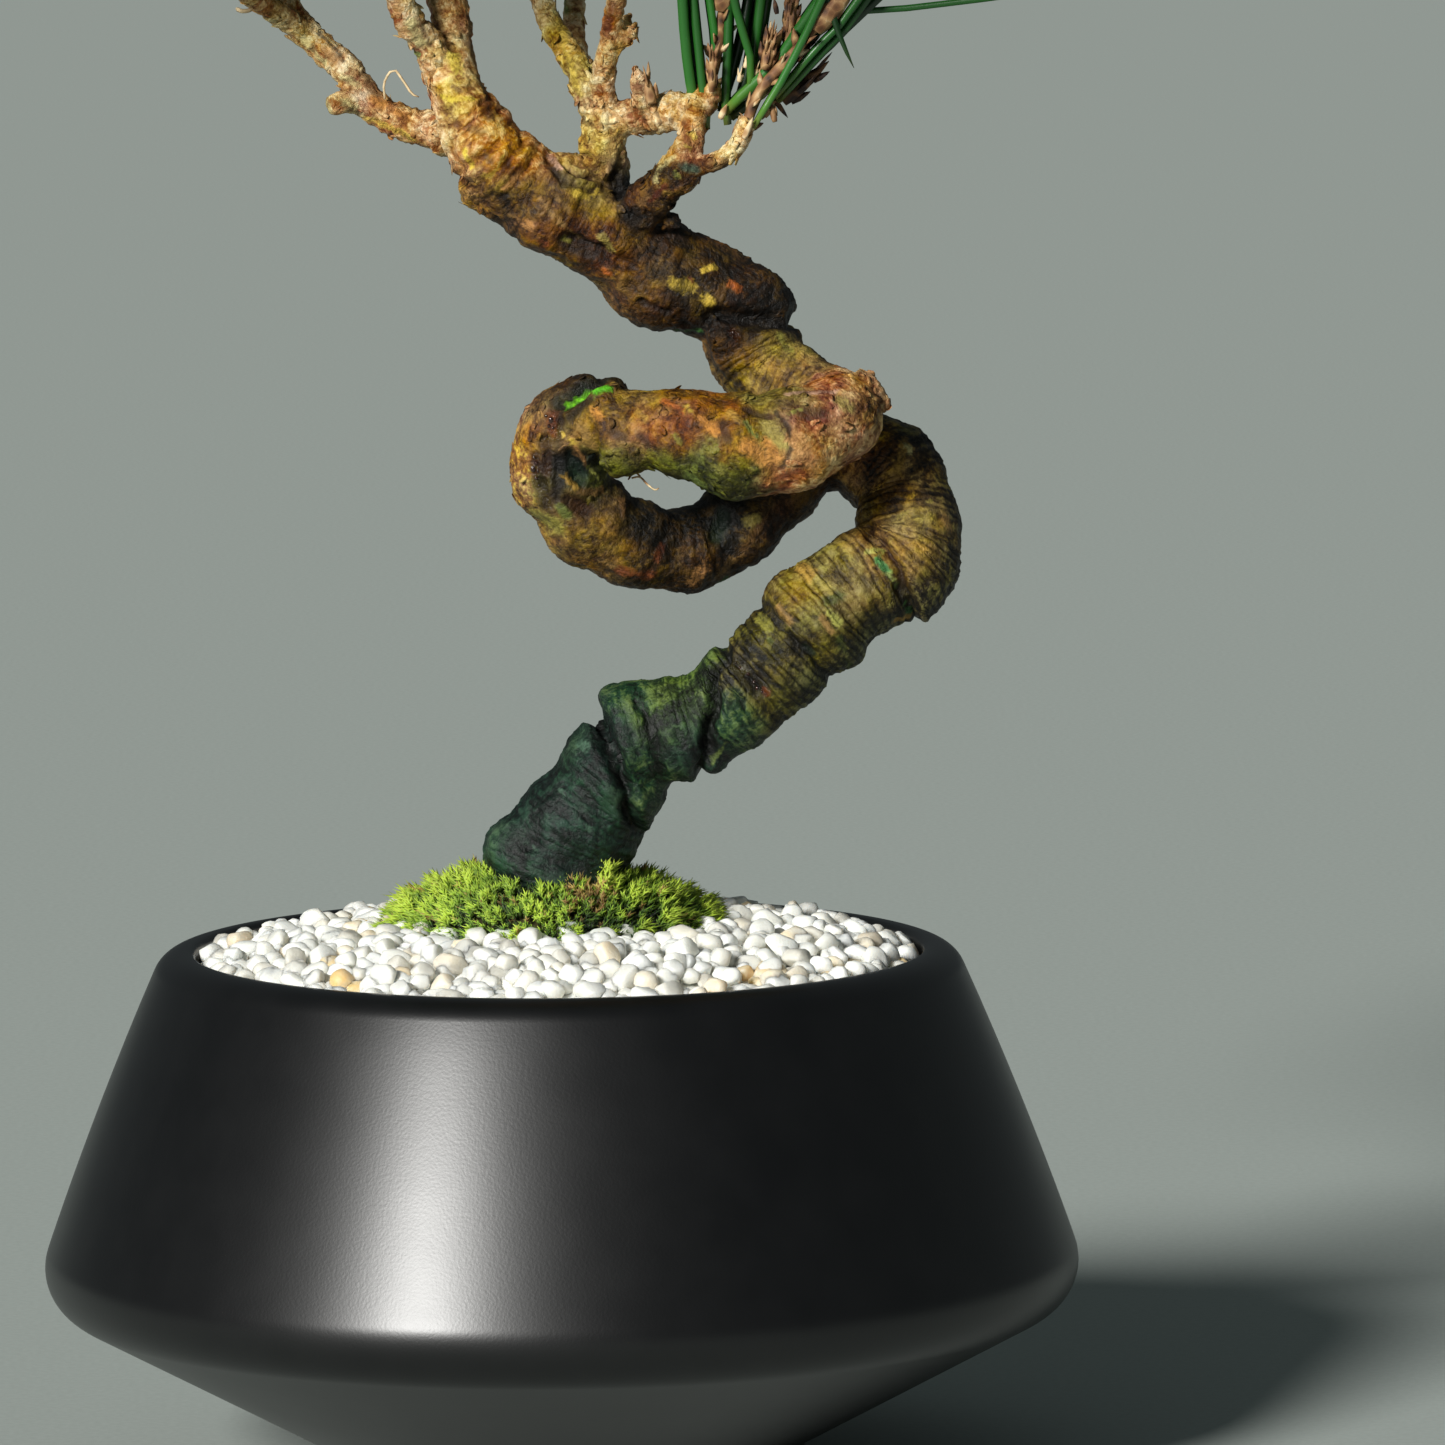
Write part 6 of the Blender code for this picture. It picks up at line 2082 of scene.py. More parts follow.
@dataclass
class Wood:
    """The trunk with its branches, twigs and stumps, as one skin of bark."""

    fold_pitch: tuple[float, float] = (9.0, 17.0)
    fold_height: float = 0.045
    ring_resolution: int = 7
    skin_mm: float = 0.46
    smoothing: int = 5
    route_step: float = 1.0
    full_relief_radius: float = 3.2
    least_relief: float = 0.45
    relief_height: float = 0.9
    most_triangles: int = 197000

    def folded(self, route: Array) -> Array:
        """Swell a thick tube in rings, as its solid is swollen.

        Args:
            route: x, y, z, radius points.

        Returns:
            The points with their new radii.
        """
        out = route.copy()
        steps = np.linalg.norm(np.diff(route[:, :3], axis=0), axis=1)
        travel = np.concatenate([[0.0], np.cumsum(steps)])
        short, long = (np.sin(math.tau * travel / pitch) for pitch in self.fold_pitch)
        wave = short + 0.6 * long
        out[:, 3] *= 1.0 + self.fold_height * wave
        return out

    def routes(self) -> dict[str, Array]:
        """Read every route at steps of about a millimetre.

        Returns:
            The routes' points by name.
        """
        read = {name: smooth_route(route, self.route_step)
                for name, route in {**TRUNK_ROUTES, **TWIG_ROUTES, **STUMPS}.items()}
        return {name: self.folded(route) if name in TRUNK_ROUTES else route for name, route in read.items()}

    def tube(self, name: str, route: Array) -> bpy.types.Object:
        """Make a closed tube along a route.

        Args:
            name: the tube's name.
            route: x, y, z, radius points.

        Returns:
            A curve object.
        """
        curve = bpy.data.curves.new(name, "CURVE")
        curve.dimensions = "3D"
        curve.bevel_depth = MM
        curve.bevel_resolution = self.ring_resolution
        curve.use_fill_caps = True
        spline = curve.splines.new("POLY")
        spline.points.add(len(route) - 1)
        for point, (x, y, z, radius) in zip(spline.points, route):
            point.co = (x * MM, y * MM, z * MM, 1.0)
            point.radius = radius
        return add_object(name, curve)

    def build(self) -> tuple[bpy.types.Object, Bark]:
        """Join the tubes under one skin and raise its bark.

        Returns:
            The skin, and the bark that it carries.
        """
        routes = self.routes()
        tubes = [self.tube(name, route) for name, route in routes.items()]
        deselect()
        for piece in tubes:
            piece.select_set(True)
        bpy.context.view_layer.objects.active = tubes[0]
        bpy.ops.object.convert(target="MESH")
        bpy.ops.object.join()
        wood = bpy.context.object
        modify(wood, "REMESH", mode="VOXEL", voxel_size=self.skin_mm * MM, adaptivity=0.0)
        modify(wood, "SMOOTH", factor=0.5, iterations=self.smoothing)
        bark = Bark(routes)
        self.raise_bark(wood, bark)
        triangles = count_triangles(wood)
        LOG.info("wood skin: %d triangles before thinning", triangles)
        if triangles > self.most_triangles:
            modify(wood, "DECIMATE", ratio=self.most_triangles / triangles)
        bark.find_features(wood)
        self.paint(wood, bark)
        wood.data.shade_smooth()
        return wood, bark

    def move(self, wood: bpy.types.Object, points: Array) -> None:
        """Move the skin's points to places in millimetres."""
        wood.data.vertices.foreach_set("co", (points * MM).astype(np.float32).ravel())
        wood.data.update()

    def raise_bark(self, wood: bpy.types.Object, bark: Bark) -> None:
        """Move the skin's points out and in by the bark's relief.

        Args:
            wood: the skin.
            bark: the bark's relief.
        """
        points, normals = read_points(wood.data)
        found = bark.read(points)
        features, crack = bark.features(points)
        slim = np.clip(found["radius"] / self.full_relief_radius, self.least_relief, 1.0)
        raised = points + normals * (found["height"] * slim + features)[:, None]
        self.move(wood, raised)
        bark.find_features(wood)
        self.move(wood, raised - normals * bark.marks(raised)[3][:, None])
        # Painted shade: creases and low places lower this mark, and the material darkens them by it.
        relief = np.clip(found["height"] / self.relief_height - 1.6 * crack, -1.6, 1.0)
        store_mark(wood.data, "bark_relief", relief)
        for name in ("lines", "plates", "place"):
            store_mark(wood.data, "bark_" + name, found[name])

    def paint(self, wood: bpy.types.Object, bark: Bark) -> None:
        """Store the tones and marks that the bark's material reads.

        Args:
            wood: the finished skin.
            bark: the bark's tones.
        """
        points, _ = read_points(wood.data)
        best, colour, wet, _ = bark.marks(points)
        values = (*bark.tones(points), colour, best, wet)
        for name, value in zip(("low", "body", "high", "mark_colour", "mark", "resin"), values):
            store_mark(wood.data, "bark_" + name, value)

    def dress(self, wood: bpy.types.Object, finish: bpy.types.Material) -> None:
        """Give the wood its bark and set it on the frame."""
        finish_piece(wood, "bark_skin", finish, ("trunk",))


@dataclass
class Flakes:
    """Thin curved plates of bark that lift at one end, on the twigs and on the loop's side and front."""

    seed: int = 57
    tries: int = 9000
    most: int = 1100
    length: tuple[float, float] = (1.0, 2.5)
    width: tuple[float, float] = (0.9, 2.0)
    thickness: float = 0.16
    lift_degrees: tuple[float, float] = (2.0, 13.0)
    least_plates: float = 0.55
    most_mark: float = 0.4
    turned_share: float = 0.35
    skew: float = 0.45
    sink: float = 0.02
    least_radius: float = 1.2
    patterns: int = 6
    sides: int = 6
    outline: tuple[tuple[float, float], ...] = (
        (0.0, 0.32), (0.2, 0.5), (0.6, 0.52), (0.88, 0.36), (1.0, 0.14))
    ragged: tuple[float, float] = (0.85, 1.15)

    def shapes(self, rng: random.Random) -> list[Pattern]:
        """Model a few ragged plates, upright, with their thickness along y.

        Args:
            rng: the source of their outlines.

        Returns:
            Plates of length and width about 1.
        """
        made = []
        for _ in range(self.patterns):
            rings = tuple((z, rng.uniform(*self.ragged) * r) for z, r in self.outline)
            plate = upright_shape(rings, self.sides)
            plate.points[:, 1] *= 0.5
            for point in plate.points:
                point[0] *= rng.uniform(*self.ragged)
                point[2] += rng.uniform(-0.05, 0.05)
            made.append(plate)
        return made

    def build(self, wood: bpy.types.Object, bark: Bark) -> bpy.types.Object:
        """Lay the plates on the skin.

        Args:
            wood: the finished skin.
            bark: the bark's relief and tones.

        Returns:
            One piece of all the plates.
        """
        rng = random.Random(self.seed)
        shapes = self.shapes(rng)
        count = len(wood.data.polygons)
        picks = [rng.randrange(count) for _ in range(self.tries)]
        spots = np.array([wood.data.polygons[k].center[:] for k in picks]) / MM
        normals = np.array([wood.data.polygons[k].normal[:] for k in picks])
        found = bark.read(spots)
        low, body, high = bark.tones(spots)
        mark, mark_colour, _, _ = bark.marks(spots)
        gathered = Copies()
        laid = 0
        for k in range(self.tries):
            length = rng.uniform(*self.length)
            width = rng.uniform(*self.width)
            lift = math.radians(rng.uniform(*self.lift_degrees))
            skew = rng.gauss(0.0, self.skew)
            turned = rng.random() < self.turned_share
            tone = rng.uniform(-0.5, 0.9)
            shape = shapes[rng.randrange(len(shapes))]
            if found["plates"][k] < self.least_plates or laid >= self.most or mark[k] > self.most_mark:
                continue
            laid += 1
            normal = normals[k]
            way = found["way"][k] * (-1.0 if turned else 1.0)
            way = way - (way @ normal) * normal
            way /= np.linalg.norm(way)
            way = math.cos(skew) * way + math.sin(skew) * np.cross(normal, way)
            across = np.cross(way, normal)
            rising = math.cos(lift) * way + math.sin(lift) * normal
            outward = np.cross(across, rising)
            radius = max(self.least_radius, found["radius"][k])
            x = shape.points[:, :1] * width
            z = shape.points[:, 2:] - 0.35
            points = (spots[k] + x * across + z * length * rising
                      - shape.points[:, 1:2] * self.thickness * outward
                      - x * x / (2.0 * radius) * normal - self.sink * normal)
            gathered.add(points, shape.faces, bark_relief=tone, bark_plates=0.4, bark_lines=0.3,
                         bark_mark=0.0, bark_resin=0.0, bark_low=low[k], bark_body=body[k],
                         bark_high=high[k], bark_mark_colour=mark_colour[k])
        LOG.info("%d flakes laid", laid)
        return gathered.piece("flakes")

    def dress(self, flakes: bpy.types.Object, finish: bpy.types.Material) -> None:
        """Give the flakes the bark's finish and set them on the frame."""
        finish_piece(flakes, "bark_flakes", finish)


@dataclass
class Resin:
    """Small drops of resin on the bark."""

    seed: int = 41

    def build(self, bark: Bark) -> bpy.types.Object:
        """Set a flattened ball at every drop's place.

        Args:
            bark: the bark, which knows the places.

        Returns:
            One piece of them all.
        """
        ball = take_pattern(add_shape(bpy.ops.mesh.primitive_ico_sphere_add, subdivisions=3, radius=MM))
        rng = random.Random(self.seed)
        gathered = Copies()
        for place, size in bark.drops:
            stretch = np.array([rng.uniform(0.7, 1.1), rng.uniform(0.7, 1.0), rng.uniform(0.8, 1.5)])
            gathered.add(np.array(place) + ball.points * size * stretch, ball.faces)
        return gathered.piece("resin")

    def dress(self, resin: bpy.types.Object) -> None:
        """Give the drops their amber and set them on the frame."""
        finish_piece(resin, "resin_drops", PineResin().material())


def read_points(mesh: bpy.types.Mesh) -> tuple[Array, Array]:
    """Read a mesh's points in millimetres and their normals.

    Args:
        mesh: the mesh.

    Returns:
        Points and normals, n by 3 each.
    """
    points = np.empty(len(mesh.vertices) * 3, dtype=np.float32)
    normals = np.empty(len(mesh.vertices) * 3, dtype=np.float32)
    mesh.vertices.foreach_get("co", points)
    mesh.vertices.foreach_get("normal", normals)
    return points.reshape(-1, 3).astype(float) / MM, normals.reshape(-1, 3).astype(float)


@dataclass(frozen=True)
class Spray:
    """One spray: its twig, the way its shoot leans, and how its needles open."""

    twig: str
    lean: tuple[float, float, float]
    length: float
    pairs: int
    opening: tuple[float, float]
    side_share: float = 1.0


SPRAYS: dict[str, Spray] = {
    "needles_far_left": Spray("far_left", (-0.62, -0.25, 0.75), 15.0, 64, (10.0, 60.0)),
    "needles_left": Spray("left", (-0.45, 0.35, 0.82), 15.0, 64, (10.0, 60.0)),
    "needles_left_front": Spray("left_front", (-0.25, -0.45, 0.86), 15.0, 64, (10.0, 58.0)),
    "needles_crown": Spray("crown", (0.05, -0.05, 1.0), 16.0, 70, (6.0, 62.0)),
    "needles_left_back": Spray("left_back", (-0.35, 0.68, 0.66), 15.0, 66, (10.0, 56.0)),
    "needles_middle": Spray("middle", (0.05, 0.1, 1.0), 15.0, 58, (6.0, 48.0)),
    "needles_back": Spray("back", (0.25, 0.6, 0.76), 15.0, 62, (10.0, 60.0)),
    "needles_middle_front": Spray("middle_front", (0.22, -0.5, 0.84), 15.0, 62, (10.0, 60.0)),
    "needles_right": Spray("right", (0.14, 0.0, 1.0), 12.0, 44, (4.0, 42.0), 0.4),
    "needles_far_right": Spray("far_right", (0.66, -0.06, 0.75), 18.0, 40, (4.0, 42.0), 0.27),
}


@dataclass(frozen=True)
class Bud:
    """A bud or a sheath: its foot and tip, its radius, its tone and its scales."""

    foot: Place
    tip: Place
    radius: float
    tone: float
    scales: int


@dataclass(frozen=True)
class Strand:
    """A needle or a dry strand, with its points listed."""

    radius: float
    tone: float
    route: tuple[Place, ...]

    def smooth(self, step: float) -> Array:
        """Read evenly spaced places along it."""
        return smooth_route(tuple((*place, self.radius) for place in self.route), step)[:, :3]


def read_strands(rows: tuple[tuple, ...]) -> list[Strand]:
    """Read strands from rows of radius, tone and places in the front view with their depth."""
    return [Strand(radius, tone, tuple(SIGHT.at_depth(*point) for point in points))
            for radius, tone, points in rows]


# Needles in the front view: radius in mm, tone, then x and y in its frame and depth in mm of each point.
GROWN: dict[str, tuple[tuple, ...]] = {
    "needles_right": (
        (0.88, 0.1, (
            (697, 128, -5), (694, 103, -6), (689, 75, -7), (685, 40, -8), (682, 0, -9), (676, -100, -12),
            (662, -270, -16),
        )),
        (0.8, 0.75, (
            (701, 128, -4), (699, 100, -4), (695, 70, -4.5), (691, 35, -5), (689, 0, -5), (690, -100, -5),
            (684, -265, -6),
        )),
        (0.7, 0.3, (
            (706, 130, -6), (705, 112, -6.5), (701, 75, -7), (697, 35, -7.5), (693, 0, -8),
            (684, -110, -9), (668, -260, -9),
        )),
        (0.68, 0, (
            (707, 128, -5), (707, 112, -5), (713, 85, -5), (716, 45, -5.5), (709, 0, -6), (698, -110, -7),
            (694, -260, -6),
        )),
        (0.75, 0.35, (
            (727, 125, -5), (725, 100, -5), (727, 60, -5.5), (729, 0, -6), (731, -120, -8),
            (728, -270, -10),
        )),
        (0.68, 0.2, (
            (749, 96, -8), (751, 60, -9), (742, 30, -10), (735, 5, -11), (722, -60, -13),
            (690, -220, -17),
        )),
        (0.8, 0.1, ((750, 100, -7), (753, 60, -7), (761, 0, -8), (772, -100, -9), (780, -260, -10))),
        (0.7, 0.6, ((756, 98, -6), (758, 60, -6), (767, 0, -6.5), (782, -100, -7), (800, -255, -6))),
        (0.8, 0.9, (
            (722, 112, -3), (728, 85, -3), (736, 60, -3), (745, 20, -3), (750, 0, -3), (768, -110, -1),
            (790, -240, 3),
        )),
        (0.8, 0.9, (
            (735, 118, -2), (742, 92, -2), (748, 70, -2), (752, 40, -2), (758, 0, -1), (770, -90, 2),
            (770, -230, 8),
        )),
        (1, 0.05, (
            (724, 113, -7), (745, 92, -8), (770, 70, -9), (790, 45, -10), (805, 20, -11), (820, 0, -12),
            (880, -80, -16), (960, -180, -20),
        )),
        (0.9, 0.8, (
            (731, 118, -5), (765, 91, -5), (800, 51, -5.5), (835, 0, -6), (890, -85, -6), (965, -190, -5),
        )),
    ),
    "needles_far_right": (
        (0.66, 0, (
            (753, 128, -13), (770, 100, -13), (785, 75, -13.5), (800, 45, -14), (822, 0, -15),
            (862, -100, -18), (905, -230, -22),
        )),
        (0.6, 0.15, (
            (775, 98, -12), (790, 80, -12), (815, 50, -12.5), (840, 25, -13), (858, 0, -13.5),
            (925, -90, -15), (1005, -170, -17),
        )),
        (0.6, 0.45, (
            (778, 102, -11), (794, 84, -11), (820, 55, -11.5), (846, 29, -12), (866, 0, -12),
            (936, -85, -12), (1020, -155, -12),
        )),
        (0.8, 0.85, (
            (785, 92, -9), (800, 72, -9), (830, 45, -9), (870, 5, -9), (960, -70, -9), (1050, -110, -9),
        )),
        (0.55, 0.3, (
            (800, 48, -8), (830, 25, -8), (858, 12, -8), (890, 10, -8), (975, 0, -9), (1070, -12, -10),
        )),
        (0.62, 0.85, (
            (770, -150, -14), (810, -60, -14), (838, 32, -14), (848, 55, -14), (854, 68, -14),
        )),
        (0.8, 0.9, (
            (765, 112, -6), (785, 88, -5), (812, 60, -4), (845, 20, -3), (880, -20, -1), (960, -100, 3),
        )),
    ),
}

# Buds and sheaths: x, y and depth of the foot and the tip, radius in mm, tone and count of scales.
BUDS: tuple[tuple[float, ...], ...] = (
    (712, 92, -8, 712, 44, -8, 0.75, 0.45, 10), (765, 70, -10, 773, 32, -10, 1.15, 0.5, 16),
    (788, 52, -9, 795, -30, -9, 1.1, 0.3, 30), (739, 82, -8, 741, 71, -8, 0.5, 0.85, 3),
    (745, 68, -8, 748, 57, -8, 0.5, 0.85, 3), (755, 76, -8, 758, 65, -8, 0.45, 0.8, 3),
    (783, 102, -8, 829, 61, -8, 1.25, 0.02, 8), (774, 99, -9, 788, 118, -9, 0.5, 0.1, 0),
    (777, 14, -10, 774, -2, -10, 0.5, 0.05, 0), (798, 62, -7, 812, 40, -7, 0.8, 0.1, 4),
    (720, 119, -8, 727, 104, -8, 0.62, 0.78, 0), (744, 139, -14, 753, 117, -14, 0.6, 0.85, 0),
    (734, 136, -10, 742, 114, -10, 0.6, 0.6, 0), (697, 134, -5.5, 694, 112, -6, 0.95, 0.5, 4),
    (684, 152, -7, 688, 122, -7, 0.8, 0.25, 4), (775, 122, -12, 770, 100, -12, 0.6, 0.3, 2),
    (652, 104, -7, 644, 72, -7, 1.1, 0.5, 4), (760, 118, -10, 775, 96, -10, 0.8, 0.4, 5),
)

# Dry strands: radius in mm, tone, then x, y and depth of each point.
STRANDS: tuple[tuple, ...] = (
    (0.2, 0.95, (
        (385, 99, 2), (384, 84, 1), (390, 72, 0), (395, 70, 0), (404, 82, 0), (412, 94, 0),
        (419, 97, 0),
    )),
    (0.16, 0.7, ((632, 478, -8), (640, 477, -9), (647, 484, -10), (655, 490, -10), (659, 488, -10))),
    (0.16, 0.3, ((640, 476, -8), (634, 472, -9), (628, 480, -9))),
    (0.35, 0.8, ((258, 4, 6), (250, 10, 5), (241, 11, 4), (236, 8, 4))),
    (0.2, 0.4, ((806, 512, 12), (803, 508, 10), (800, 500, 9))),
)


@dataclass
class NeedleSpray:
    """A shoot in its papery bark, its bud, and pairs of needles all round it."""

    name: str
    spray: Spray
    needle_length: tuple[float, float] = (54.0, 66.0)
    needle_radius: float = 0.82
    least_rise: float = 0.2
    opening_jitter: tuple[float, float] = (0.82, 1.12)
    turn_jitter: float = 0.35
    bow: tuple[float, float] = (-1.0, 4.0)
    sway: float = 1.6
    split_degrees: tuple[float, float] = (2.0, 5.0)
    sheath_length: tuple[float, float] = (3.4, 5.0)
    sheath_tones: tuple[float, float] = (0.35, 0.85)
    shoot_radius: float = 1.7
    tip_radius: float = 1.2
    slim_share: float = 0.5
    followers: int = 2
    follow_from_z: float = 231.0
    follow_rise: float = 34.0
    grown_step: float = 1.5
    shoot_sides: int = 10
    scales: int = 46
    scales_in_view: int = 12
    seed: int = 0

    def shoot_route(self) -> Array:
        """Return the shoot's x, y, z, radius points: on from the twig's end, then its own lean.

        Returns:
            The points, n by 4.
        """
        route = smooth_route(TWIG_ROUTES[self.spray.twig], 6.8)
        end = route[-1][:3]
        along = route[-1][:3] - route[-2][:3]
        along /= np.linalg.norm(along)
        lean = np.array(self.spray.lean) / np.linalg.norm(self.spray.lean)
        first = end - 1.2 * along
        second = end + 0.25 * self.spray.length * along
        last = second + 0.75 * self.spray.length * lean
        radii = (self.shoot_radius, self.shoot_radius, self.shoot_radius, self.tip_radius)
        points = (first, second, 0.5 * (second + last), last)
        return smooth_route(tuple((*p, r) for p, r in zip(points, radii)), 1.2)

    def build(self, parts: dict[str, Pattern]) -> tuple[bpy.types.Object, bpy.types.Object]:
        """Set the needles, sheaths, scales and bud on the shoot.

        Args:
            parts: the needle, sheath, scale and bud patterns.

        Returns:
            The green piece and the brown one.
        """
        rng = random.Random(100 + self.seed)
        shoot = self.shoot_route()
        lean = np.array(self.spray.lean) / np.linalg.norm(self.spray.lean)
        side = np.cross((0.0, 1.0, 0.0), lean)
        side /= np.linalg.norm(side)
        depth = np.cross(lean, side)
        green = Copies()
        brown = Copies()
        grown = read_strands(GROWN.get(self.name, ()))
        if grown:
            shoot[:, 3] *= self.slim_share
        self.add_shoot(brown, shoot, parts, rng, self.scales_in_view if grown else self.scales)
        for needle in grown:
            self.add_grown(green, needle, parts, rng)
        for k in range(0 if grown else self.spray.pairs):
            order = (k + 0.5) / self.spray.pairs
            wide = self.spray.opening[1] + (self.spray.opening[0] - self.spray.opening[1]) * order
            wide = math.radians(wide * rng.uniform(*self.opening_jitter))
            turn = GOLDEN * k + rng.uniform(-self.turn_jitter, self.turn_jitter)
            length = rng.uniform(*self.needle_length)
            bow = rng.uniform(*self.bow)
            sway = np.array([rng.gauss(0.0, self.sway) for _ in range(3)])
            split = math.radians(rng.uniform(*self.split_degrees))
            spin = rng.uniform(0.0, math.tau)
            tone = rng.random() ** 1.6 * 0.8
            out = (math.cos(turn) * math.tan(self.spray.side_share * wide) * side
                   + math.sin(turn) * math.tan(wide) * depth)
            way = lean + out
            way /= np.linalg.norm(way)
            if way[2] * length < self.least_rise * self.needle_length[0]:
                continue
            spot = shoot[min(int((0.14 + 0.84 * order) * (len(shoot) - 1)), len(shoot) - 1)]
            root = spot[:3] + 0.4 * way
            across, _, _ = axes_for(way)
            sheath = rng.uniform(*self.sheath_length)
            brown.add(bent(parts["sheath"], root - 0.6 * way, way, sheath, 0.95, np.zeros(3), spin),
                      parts["sheath"].faces, scale_tone=rng.uniform(*self.sheath_tones))
            for sign in (-1.0, 1.0):
                aim = way + sign * math.tan(split) * across
                start = root + sign * 0.32 * across
                drop = np.array((0.0, 0.0, -bow)) + sway + sign * rng.uniform(0.0, 1.5) * across
                points = bent(parts["needle"], start, aim, length * rng.uniform(0.96, 1.0),
                              self.needle_radius, drop, spin + (0.0 if sign > 0.0 else math.pi))
                green.add(points, parts["needle"].faces, needle_along=parts["needle"].points[:, 2],
                          needle_tone=tone)
        return green.piece(self.name), brown.piece(self.name + "_shoot")

    def add_grown(self, green: Copies, needle: Strand, parts: dict[str, Pattern],
                  rng: random.Random) -> None:
        """Add a needle in its place, and a few behind it that part from it higher up.

        Args:
            green: the copies to add them to.
            needle: the needle.
            parts: the patterns.
            rng: the source of the others' ways.
        """
        route = needle.smooth(self.grown_step)
        along = parts["needle"].points[:, 2]
        hanging = needle.route[-1][2] < self.follow_from_z
        for rank in range(1 if hanging else 1 + self.followers):
            line = route.copy()
            if rank:
                line[:, 1] += rng.uniform(0.9, 1.6) * rank
                line[:, 0] += rng.uniform(-0.25, 0.25)
                higher = np.clip((line[:, 2] - self.follow_from_z) / self.follow_rise, 0.0, 1.2) ** 1.3
                spread = np.array((rng.gauss(0.0, 9.0), rng.gauss(2.0, 10.0), rng.uniform(-4.0, 3.0)))
                line += higher[:, None] * spread
            tone = needle.tone if not rank else rng.uniform(0.3, 0.9)
            green.add(swept(parts["needle"], line, needle.radius), parts["needle"].faces,
                      needle_along=1.0 - along if hanging else along, needle_tone=tone)

    def add_shoot(self, brown: Copies, shoot: Array, parts: dict[str, Pattern],
                  rng: random.Random, scales: int) -> None:
        """Add the shoot's core, its scales and its bud.

        Args:
            brown: the copies to add them to.
            shoot: the shoot's points.
            parts: the patterns.
            rng: the source of their places.
            scales: how many scales it has.
        """
        sides = self.shoot_sides
        ring = np.array([(math.cos(a), math.sin(a)) for a in np.arange(sides) * math.tau / sides])
        side, depth, _ = axes_for(shoot[-1][:3] - shoot[0][:3])
        rows = [p[:3] + (ring[:, :1] * side + ring[:, 1:] * depth) * p[3] for p in shoot]
        points = np.vstack([*rows, shoot[0][:3][None], shoot[-1][:3][None]])
        faces = []
        for row in range(len(shoot) - 1):
            for k in range(sides):
                a, b = row * sides + k, row * sides + (k + 1) % sides
                faces += [(a, b, b + sides), (a, b + sides, a + sides)]
        foot, top = len(points) - 2, len(points) - 1
        last = (len(shoot) - 1) * sides
        for k in range(sides):
            faces += [(foot, (k + 1) % sides, k), (top, last + k, last + (k + 1) % sides)]
        brown.add(points, np.array(faces), scale_tone=0.3)
        for k in range(scales):
            order = (k + 0.5) / scales
            spot = shoot[min(int(order * (len(shoot) - 1)), len(shoot) - 2)]
            turn = GOLDEN * k
            out = math.cos(turn) * side + math.sin(turn) * depth
            ahead = shoot[-1][:3] - shoot[0][:3]
            ahead /= np.linalg.norm(ahead)
            way = ahead + rng.uniform(0.5, 1.1) * out
            points = bent(parts["scale"], spot[:3] + out * (spot[3] - 0.25), way,
                          rng.uniform(1.8, 3.2), rng.uniform(0.8, 1.2), np.zeros(3), turn)
            brown.add(points, parts["scale"].faces, scale_tone=rng.uniform(0.1, 0.9))
        ahead = shoot[-1][:3] - shoot[-3][:3]
        points = bent(parts["bud"], shoot[-1][:3] - 0.8 * ahead / np.linalg.norm(ahead), ahead,
                      rng.uniform(8.0, 11.0), 1.7, np.zeros(3), 0.0)
        brown.add(points, parts["bud"].faces, scale_tone=0.4)

    def dress(self, pieces: tuple[bpy.types.Object, bpy.types.Object],
              finishes: tuple[bpy.types.Material, bpy.types.Material]) -> None:
        """Give the needles their green and the shoot its papery bark."""
        finish_piece(pieces[0], self.name + "_green", finishes[0], (self.name,))
        finish_piece(pieces[1], self.name + "_shoot", finishes[1])


def upright_shape(rings: tuple[tuple[float, float], ...], sides: int) -> Pattern:
    """Model an upright shape of length 1 by extruding and scaling a ring.

    Args:
        rings: height and radius of each ring, from the foot up.
        sides: how many sides the ring has.

    Returns:
        The shape.
    """
    obj = add_shape(bpy.ops.mesh.primitive_circle_add, vertices=sides, radius=rings[0][1] * MM,
                    fill_type="NGON", location=(0.0, 0.0, rings[0][0] * MM))
    edit_all()
    for (z0, r0), (z1, r1) in zip(rings[:-1], rings[1:]):
        bpy.ops.mesh.extrude_region_move(TRANSFORM_OT_translate={"value": (0.0, 0.0, (z1 - z0) * MM)})
        bpy.ops.transform.resize(value=(r1 / r0, r1 / r0, 1.0), center_override=(0.0, 0.0, 0.0))
    bpy.ops.object.mode_set(mode="OBJECT")
    return take_pattern(obj)


